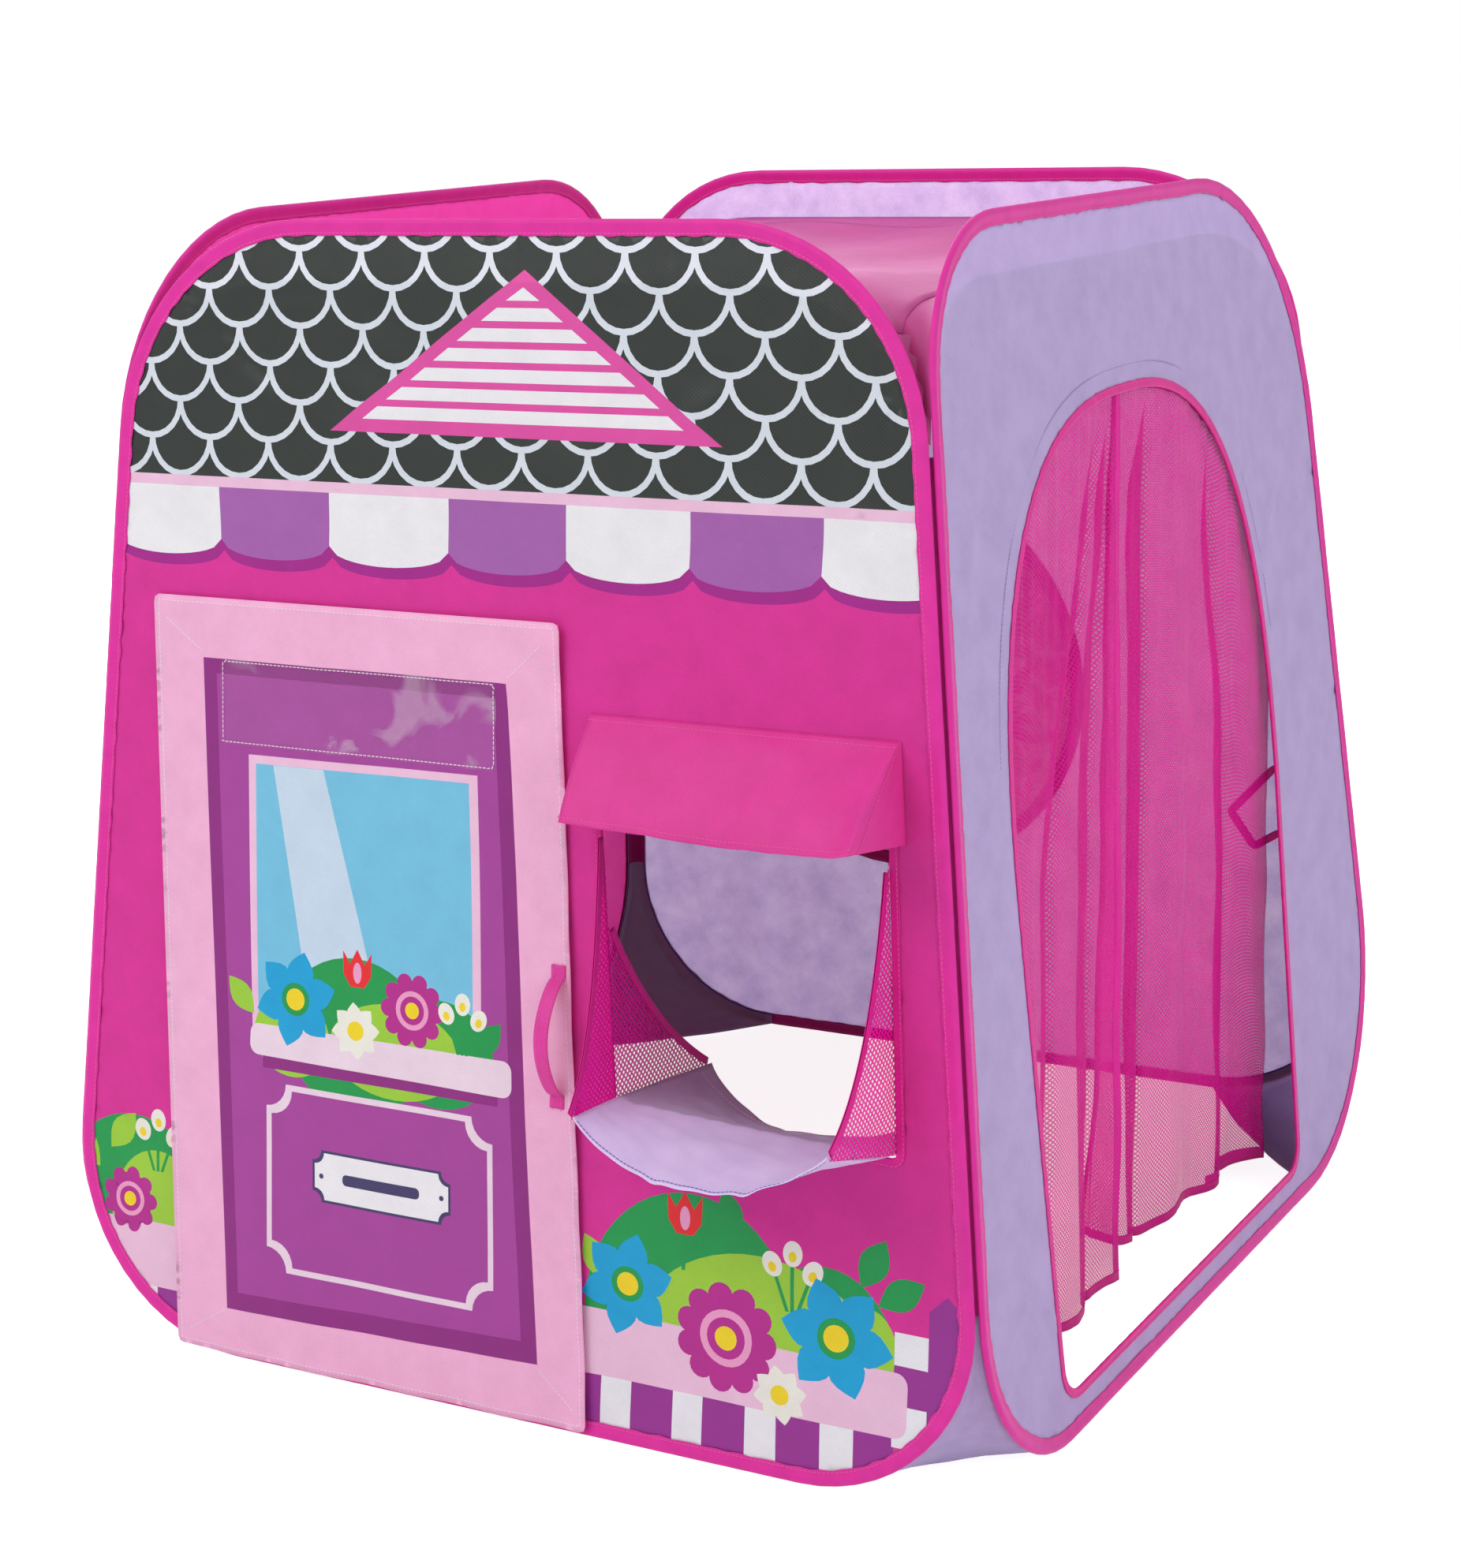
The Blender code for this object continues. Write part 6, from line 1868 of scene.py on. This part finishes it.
def make_back_window():
    wall = wall_of(BACK)
    outline = window_circle(WINDOW_RADIUS + 8 * MM)
    places, faces, _, sewn = cut_cloth(outline, [], [], 7 * MM)
    away, along = nearest(places, sewn[0])
    loose = smooth((away - 14 * MM) / 0.05)
    crinkle = 1.1 * ripples(*places.T, 0.11, 111)
    crinkle += 0.7 * ripples(*places.T, 0.042, 112)
    radial = np.sin(TAU * along / 0.075 + 2 * ripples(*places.T, 0.2, 113))
    sharp = 1 - np.abs(np.sin(1.4 * ripples(*places.T, 0.13, 114)))
    relief = 1.5 * MM * crinkle * loose + 0.9 * MM * radial * loose * np.exp(-away / 0.07)
    relief += 2.4 * MM * sharp**3 * loose
    height = 2.35 * MM + relief
    points = wall.place(*places.T, height)
    flat = flat_places(*places.T)
    # The clear film is painted deep pink and nearly opaque: a painted reflection of the tent's pink inside
    look = clear_film("crumpled PVC window film", "#DC1090", 0.88, 0.94, 30)
    made = cloth_piece("back_window_film", points, faces, 0.4 * MM, [look], flat)
    wide = 2 * (WINDOW_RADIUS + 8 * MM)
    stretched = {"held": "stretched", "rests_on": ["back_wall_cloth"]}
    fit(made, "back", "back_window", flat=(wide, wide), area=0.785 * wide**2, **stretched)
    look = edge_tape()
    columns, rows = 6, 120
    for name, height, sign in (("inner", 1.55 * MM, -1), ("outer", 4.25 * MM, 1)):
        share, turn = grid_shares(columns, rows)
        radius = mix(WINDOW_RADIUS - 6 * MM, WINDOW_RADIUS + 10 * MM, share)
        radius += 0.3 * MM * np.sin(TAU * turn * 57) * (share > 0.9)
        angle = TAU * turn
        x = WINDOW_MIDDLE[0] + radius * np.cos(angle)
        y = WINDOW_MIDDLE[1] + radius * np.sin(angle)
        points = wall.place(x, y, height + sign * 0.15 * MM * hump(share))
        # The last row of points is the first one again
        faces = grid_faces(columns, rows) % (rows * (columns + 1))
        points, share, angle = (values[: -columns - 1] for values in (points, share, angle))
        flat = flat_places(angle * WINDOW_RADIUS, share * 16 * MM)
        made = cloth_piece(f"back_window_{name}_ring", points, faces, 0.6 * MM, [look], flat)
        size = (0.016, TAU * (WINDOW_RADIUS + 2 * MM))
        fit(made, "back", f"back_window_ring_{name}", flat=size, **stretched)
        for radius in (WINDOW_RADIUS - 3.5 * MM, WINDOW_RADIUS + 7 * MM):
            sew_round(wall, window_circle(radius), height + sign * 0.45 * MM, sign)


class PLAYTENT_OT_back_window(bpy.types.Operator):
    """Makes the clear film of the round window and the tape rings that hold it"""

    bl_idname = "play_tent.back_window"
    bl_label = "Back window"

    def execute(self, context):
        make_back_window()
        return {"FINISHED"}


# ---- Roof


def seam_ends(left_wall, right_wall):
    """How far up their common seam two neighbouring hoops meet, and how far up they part."""
    steps = CORNER_STEPS + 1
    first, second = left_wall.outline(), right_wall.outline()
    low = max(first[steps : 2 * steps, 1].max(), second[:steps, 1].max())
    high_left = first[2 * steps : 3 * steps, 1].min() / left_wall.slope
    high_right = second[3 * steps :, 1].min() / right_wall.slope
    return low, min(high_left, high_right)


def roof_side(wall, low_left, low_right):
    """Where the roof meets one wall: up from one corner seam, along the top, down to the next."""
    steps = CORNER_STEPS + 1
    points = wall.outline()[2 * steps : 4 * steps]
    index = np.arange(len(points))
    ramp = smooth(np.minimum(index, len(points) - 1 - index) / CORNER_STEPS)
    depths = np.concatenate([[ROOF_TUCK], mix(ROOF_TUCK, ROOF_DROP, ramp), [ROOF_TUCK]])
    right = [wall.half_width(low_right) - SEAM_CLEARANCE, low_right]
    left = [SEAM_CLEARANCE - wall.half_width(low_left), low_left]
    line = inset(np.vstack([[right], points, [left]]), depths, closed=False)
    line[0] = (wall.half_width(low_right) - CLOTH / 2, low_right)
    line[-1] = (CLOTH / 2 - wall.half_width(low_left), low_left)
    inward = (depths - ROOF_TUCK) / (ROOF_DROP - ROOF_TUCK)
    height = mix(-CLOTH / 2, 2.15 * MM, smooth((inward - 0.30) / 0.45))
    world = wall.place(*line.T, height)[::-1]
    return spread(world, ROOF_STEPS)[0]


def roof_grid():
    """The roof settled like a soap film between the four walls, then sagged and creased."""
    walls = [wall_of(name) for name in WALLS]
    highs = [seam_ends(walls[i], walls[(i + 1) % 4])[1] for i in range(4)]
    sides = []
    for i, wall in enumerate(walls):
        sides.append(roof_side(wall, highs[i - 1] * wall.slope, highs[i] * wall.slope))
    front, right, back, left = sides
    grid = np.zeros((ROOF_STEPS + 1, ROOF_STEPS + 1, 3))
    grid[0], grid[:, -1], grid[-1], grid[:, 0] = front, right, back[::-1], left[::-1]
    for i, place in enumerate(((0, -1), (-1, -1), (-1, 0), (0, 0))):
        grid[place] = (sides[i][-1] + sides[(i + 1) % 4][0]) / 2
    run = np.linspace(0, 1, ROOF_STEPS + 1)
    for row in range(1, ROOF_STEPS):
        share = row / ROOF_STEPS
        sideways = np.outer(1 - run, grid[row, 0]) + np.outer(run, grid[row, -1])
        lengthways = grid[0] * (1 - share) + grid[-1] * share
        grid[row, 1:-1] = ((sideways + lengthways) / 2)[1:-1]
    for _ in range(9000):
        around = grid[:-2, 1:-1] + grid[2:, 1:-1] + grid[1:-1, :-2] + grid[1:-1, 2:]
        grid[1:-1, 1:-1] = around / 4
    bowl = np.outer(np.sin(np.pi * run), np.sin(np.pi * run)) ** 2
    grid[:, :, 2] -= ROOF_SAG * bowl
    folds = np.zeros_like(bowl)
    across, along = np.meshgrid(run, run)
    for seed, corner in enumerate(((0, 0), (1, 0), (1, 1), (0, 1))):
        x, y = np.abs(across - corner[0]), np.abs(along - corner[1])
        away = np.hypot(x, y)
        angle = np.arctan2(y, x)
        fan = np.sin(angle * 13 + 1.7 * seed) + 0.5 * np.sin(angle * 23 + seed)
        folds += fan * np.exp(-away / 0.22) * smooth(away / 0.10)
    edge = np.minimum(np.minimum(across, 1 - across), np.minimum(along, 1 - along))
    soft = ripples(across * 0.9, along * 0.9, 0.22, 121)
    grid[:, :, 2] += (6.0 * MM * folds + 3.0 * MM * soft) * smooth(edge / 0.06)
    return grid


def roof_piece(name, points, faces, look, flat):
    """Some of the roof's faces as a cloth of their own."""
    used, numbers = np.unique(faces, return_inverse=True)
    made = cloth_piece(name, points[used], numbers.reshape(-1, 3), CLOTH, [look], flat[used])
    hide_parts("roof_panel")
    area = cloth_area(points, faces)
    return made


def make_roof():
    steps = ROOF_STEPS
    points = roof_grid().reshape(-1, 3)
    row, column = (a.ravel() for a in np.meshgrid(*[np.arange(steps + 1)] * 2, indexing="ij"))
    number = np.arange((steps + 1) ** 2).reshape(steps + 1, steps + 1)
    a, b, c, d = (n.ravel() for n in (number[:-1, :-1], number[:-1, 1:], number[1:, 1:], number[1:, :-1]))
    faces = np.stack([a, b, d, b, c, d], axis=-1).reshape(-1, 3)
    cell_row, cell_column = np.repeat(row[a], 2), np.repeat(column[a], 2)
    row_left, column_left = steps - 1 - cell_row, steps - 1 - cell_column
    gaps = np.stack([cell_row, column_left, row_left, cell_column])
    ring, side = gaps.min(axis=0), gaps.argmin(axis=0)
    # The borders end well before the two corners that close as the tent folds
    from_corner = np.minimum(np.hypot(cell_row, cell_column), np.hypot(row_left, column_left))
    border = np.where(from_corner > BORDER_ENDS, BORDER_CELLS, -1)
    flat = flat_places(column * 0.9 / steps, row * 0.9 / steps)
    look = spunbond(colours().roof_pink, "bright pink spunbond polypropylene", 0.62, 0.4, glow=0.8)
    for name, sign, bodies in (("front", -1, ("front", "left")), ("back", 1, ("right", "back"))):
        past = sign * (steps - row - column)
        lowered = points.copy()
        lowered[:, 2] -= 10 * MM * smooth(past / 6.0)
        kept = (past[faces].max(axis=1) <= 14) & (ring >= border)
        made = roof_piece(f"roof_cloth_{name}", lowered, faces[kept], look, flat)
        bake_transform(made)
    edge = np.minimum(np.minimum(row, column), np.minimum(steps - row, steps - column))
    lowered = points.copy()
    lowered[:, 2] -= 0.9 * MM * np.minimum(edge, 1)
    for index, body in enumerate(WALLS):
        kept = (side == index) & (ring <= border)
        made = roof_piece(f"roof_border_{body}", lowered, faces[kept], look, flat)
        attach(made, body)


class PLAYTENT_OT_roof(bpy.types.Operator):
    """Makes the sunken roof: two halves that meet along a diagonal, and borders"""

    bl_idname = "play_tent.roof"
    bl_label = "Roof"

    def execute(self, context):
        make_roof()
        return {"FINISHED"}


# ---- Corner gussets


def to_middle(points):
    """Level unit vectors towards the upright line through the tent's middle."""
    return unit(np.stack([-points[:, 0], STAND_BACK - points[:, 1], np.zeros(len(points))], axis=1))


def corner_gusset(first, second):
    """The strip up the seam of two walls, which opens into a gusset between their round feet."""
    low, high_share = seam_ends(first, second)
    rows, strip_rows = 40, 16
    sides = []
    for wall, corner, side in ((first, 1, 1), (second, 0, -1)):
        top = high_share * wall.slope - 10 * MM
        steps = CORNER_STEPS + 1
        for depth, out in ((16.5 * MM, -0.8 * MM), (14.8 * MM, -1.0 * MM), (3 * MM, -CLOTH / 2)):
            arc = inset(wall.outline(), depth)[corner * steps : (corner + 1) * steps][::-side]
            arc = arc[arc[:, 1] < low]
            in_from_seam = max(depth, 7 * MM)
            ends = [[side * (wall.half_width(up) - in_from_seam), up] for up in (top, low)]
            line = np.vstack([ends, arc])
            world = wall.place(*line.T, out)
            strip = np.linspace(world[0], world[1], strip_rows + 1)[:-1]
            sides.append(np.vstack([strip, spread(world[1:], rows - strip_rows)[0]]))
    outer_first, band_first, inner_first, outer_second, band_second, inner_second = sides
    below = np.clip((np.arange(rows + 1) - strip_rows) / (rows - strip_rows), 0, 1)
    columns = [outer_first, band_first]
    for share in np.linspace(0, 1, 11):
        line = mix(inner_first, inner_second, share)
        inward = to_middle(line)
        fold = np.sin(TAU * share * 2.5 + 4 * below) * 1.5 * MM
        columns.append(line + inward * ((12 * MM + fold) * hump(share) * below)[:, None])
    columns += [band_second, outer_second]
    place = np.stack(columns, axis=1).reshape(-1, 3)
    count = len(columns) - 1
    faces = grid_faces(count, rows)
    column = np.tile(np.arange(count), rows)
    dark = ((column == 0) | (column == count - 1)).astype(int)
    dark[: strip_rows * count] = 2
    inward = to_middle(place)
    name = f"corner_gusset_{first.name}_{second.name}"
    open_corner = (first.name, second.name) == (BACK, LEFT)
    look = spunbond(colours().lilac, "lilac spunbond gusset", glow=0.95)
    if open_corner:
        # Two layers lie here, so each is paler to let through as much daylight as one
        look = spunbond(scaled(colours().lilac, 1.4), "pale lilac spunbond gusset", glow=1.0)
    across, down = grid_shares(count, rows)
    flat = flat_places(across * 0.2, down * 1.0)
    looks = [look, thread(linear(THREADS["indigo"]), "indigo polyester thread")]
    looks.append(spunbond(colours().binding, "pink spunbond seam strip", glow=0.95))
    corner = Vector(mix(inner_first[strip_rows], inner_second[strip_rows], 0.5).tolist())
    corner.z = 0.1
    towards = Vector((inner_second[-1] - inner_first[-1]).tolist())
    towards.z = 0
    towards.normalize()
    copies = [(name + "_cloth", 0.0, None)]
    if open_corner:
        copies = [(name + "_cloth_back", 0.0, BACK), (name + "_cloth_left", 1.5 * MM, LEFT)]
    for piece, off, body in copies:
        made = cloth_piece(piece, place + inward * off, faces, CLOTH, looks, flat, dark)
        if body:
            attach(made, body)
        else:
            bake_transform(made)
        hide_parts(name)


class PLAYTENT_OT_gussets(bpy.types.Operator):
    """Makes the strips and gussets that join neighbouring walls at the corners"""

    bl_idname = "play_tent.gussets"
    bl_label = "Corner gussets"

    def execute(self, context):
        for first, second in ((FRONT, RIGHT), (RIGHT, BACK), (BACK, LEFT), (LEFT, FRONT)):
            corner_gusset(wall_of(first), wall_of(second))
        return {"FINISHED"}


class PLAYTENT_OT_stitching(bpy.types.Operator):
    """Makes the rows of stitches that the other pieces have marked"""

    bl_idname = "play_tent.stitching"
    bl_label = "Stitching"

    def execute(self, context):
        for (body, _), rows in SEAMS.items():
            rows.make(body)
        return {"FINISHED"}


# ---- Stage


def white_floor():
    """White painted board: matt, and shown as pure white where no shadow falls."""
    made, tree = blank_material("matt white painted board")
    rays = node(tree, "LightPath").outputs
    pair = {0: rays["Is Camera Ray"], 1: rays["Is Glossy Ray"]}
    seen = node(tree, "Math", pair, operation="MAXIMUM").outputs[0]
    pair = {0: seen, 1: rays["Is Transmission Ray"]}
    seen = node(tree, "Math", pair, operation="MAXIMUM").outputs[0]
    lift = node(tree, "Math", {0: seen, 1: 0.85}, operation="MULTIPLY").outputs[0]
    board = node(tree, "BsdfDiffuse", {"Color": linear("#F4F4F4")})
    glow = node(tree, "Emission", {"Color": linear("#FFFFFF"), "Strength": lift})
    both = node(tree, "AddShader", {0: board.outputs[0], 1: glow.outputs[0]})
    node(tree, "OutputMaterial", {"Surface": both.outputs[0]})
    points = np.array([(-9, -9, 0), (9, -9, 0), (9, 9, 0), (-9, 9, 0)], float)
    new_piece("floor", points, [[0, 1, 2, 3]], [made])


def studio_world(scene):
    """Even white light from all round, shown to the camera as pure white."""
    scene.world = bpy.data.worlds.new("white studio")
    scene.world.use_nodes = True
    tree = scene.world.node_tree
    tree.nodes.clear()
    rays = node(tree, "LightPath").outputs
    pair = {0: rays["Is Camera Ray"], 1: rays["Is Transmission Ray"]}
    seen = node(tree, "Math", pair, operation="MAXIMUM").outputs[0]
    soft = node(tree, "Background", {"Color": linear("#FFFFFF"), "Strength": 0.62})
    shown = node(tree, "Background", {"Color": linear("#FFFFFF"), "Strength": 1.0})
    either = node(tree, "MixShader", {0: seen, 1: soft.outputs[0], 2: shown.outputs[0]})
    node(tree, "OutputWorld", {"Surface": either.outputs[0]})


def studio_lights(scene):
    """Four large soft lamps, all aimed at the tent's middle."""
    for name, place, size, power in (
        ("key light", (-1.6, -3.4, 3.6), 2.4, 80.0),
        ("fill light", (3.8, -1.2, 2.4), 2.6, 38.0),
        ("back light", (-2.6, 3.4, 1.3), 3.0, 105.0),
        ("top light", (0.3, 0.4, 3.6), 2.0, 8.0),
    ):
        data = bpy.data.lights.new(name, "AREA")
        data.size, data.energy = size, power
        lamp = bpy.data.objects.new(name, data)
        lamp.location = place
        lamp.visible_camera = False
        aim = Vector((0, 0, 0.45)) - lamp.location
        lamp.rotation_euler = aim.to_track_quat("-Z", "Y").to_euler()
        scene.collection.objects.link(lamp)


def photo_camera(scene):
    """The camera fitted to the photograph: place in metres, and turns in radians."""
    place, heading, tilt_down, roll = (1.48999, -2.67278, 1.23829), 0.512857, 0.239778, -0.0316207
    data = bpy.data.cameras.new("camera")
    data.lens, data.sensor_width = 68.828, 36.0
    made = bpy.data.objects.new("camera", data)
    turn = Matrix.Rotation(heading, 4, "Z") @ Matrix.Rotation(QUARTER_TURN - tilt_down, 4, "X")
    made.matrix_world = Matrix.Translation(place) @ turn @ Matrix.Rotation(roll, 4, "Z")
    scene.collection.objects.link(made)
    scene.camera = made


class PLAYTENT_OT_stage(bpy.types.Operator):
    """Makes the white floor and background, the soft light and the camera"""

    bl_idname = "play_tent.stage"
    bl_label = "Stage"

    def execute(self, context):
        scene = context.scene
        scene.view_settings.view_transform = "Standard"
        white_floor()
        studio_world(scene)
        studio_lights(scene)
        photo_camera(scene)
        return {"FINISHED"}


# ---- Panel and registering

OPERATORS = (
    PLAYTENT_OT_walls,
    PLAYTENT_OT_hoops,
    PLAYTENT_OT_bindings,
    PLAYTENT_OT_door,
    PLAYTENT_OT_awning,
    PLAYTENT_OT_counter,
    PLAYTENT_OT_curtains,
    PLAYTENT_OT_back_window,
    PLAYTENT_OT_roof,
    PLAYTENT_OT_gussets,
    PLAYTENT_OT_stitching,
    PLAYTENT_OT_stage,
)


class PLAYTENT_PT_panel(bpy.types.Panel):
    """Lists the tent's pieces, sizes and colours"""

    bl_label = "Play Tent"
    bl_idname = "PLAYTENT_PT_panel"
    bl_space_type = "VIEW_3D"
    bl_region_type = "UI"
    bl_category = "Play Tent"

    def draw(self, context):
        for group in (context.scene.tent_sizes, context.scene.tent_colours):
            for name in group.__annotations__:
                self.layout.prop(group, name)
        for operator in OPERATORS:
            self.layout.operator(operator.bl_idname)


CLASSES = (TentSizes, TentColours) + OPERATORS + (PLAYTENT_PT_panel,)


def register():
    for cls in CLASSES:
        bpy.utils.register_class(cls)
    bpy.types.Scene.tent_sizes = PointerProperty(type=TentSizes)
    bpy.types.Scene.tent_colours = PointerProperty(type=TentColours)


def unregister():
    del bpy.types.Scene.tent_colours
    del bpy.types.Scene.tent_sizes
    for cls in reversed(CLASSES):
        bpy.utils.unregister_class(cls)


def main():
    register()
    for operator in OPERATORS:
        group, name = operator.bl_idname.split(".")
        getattr(getattr(bpy.ops, group), name)()


if __name__ == "__main__":
    main()
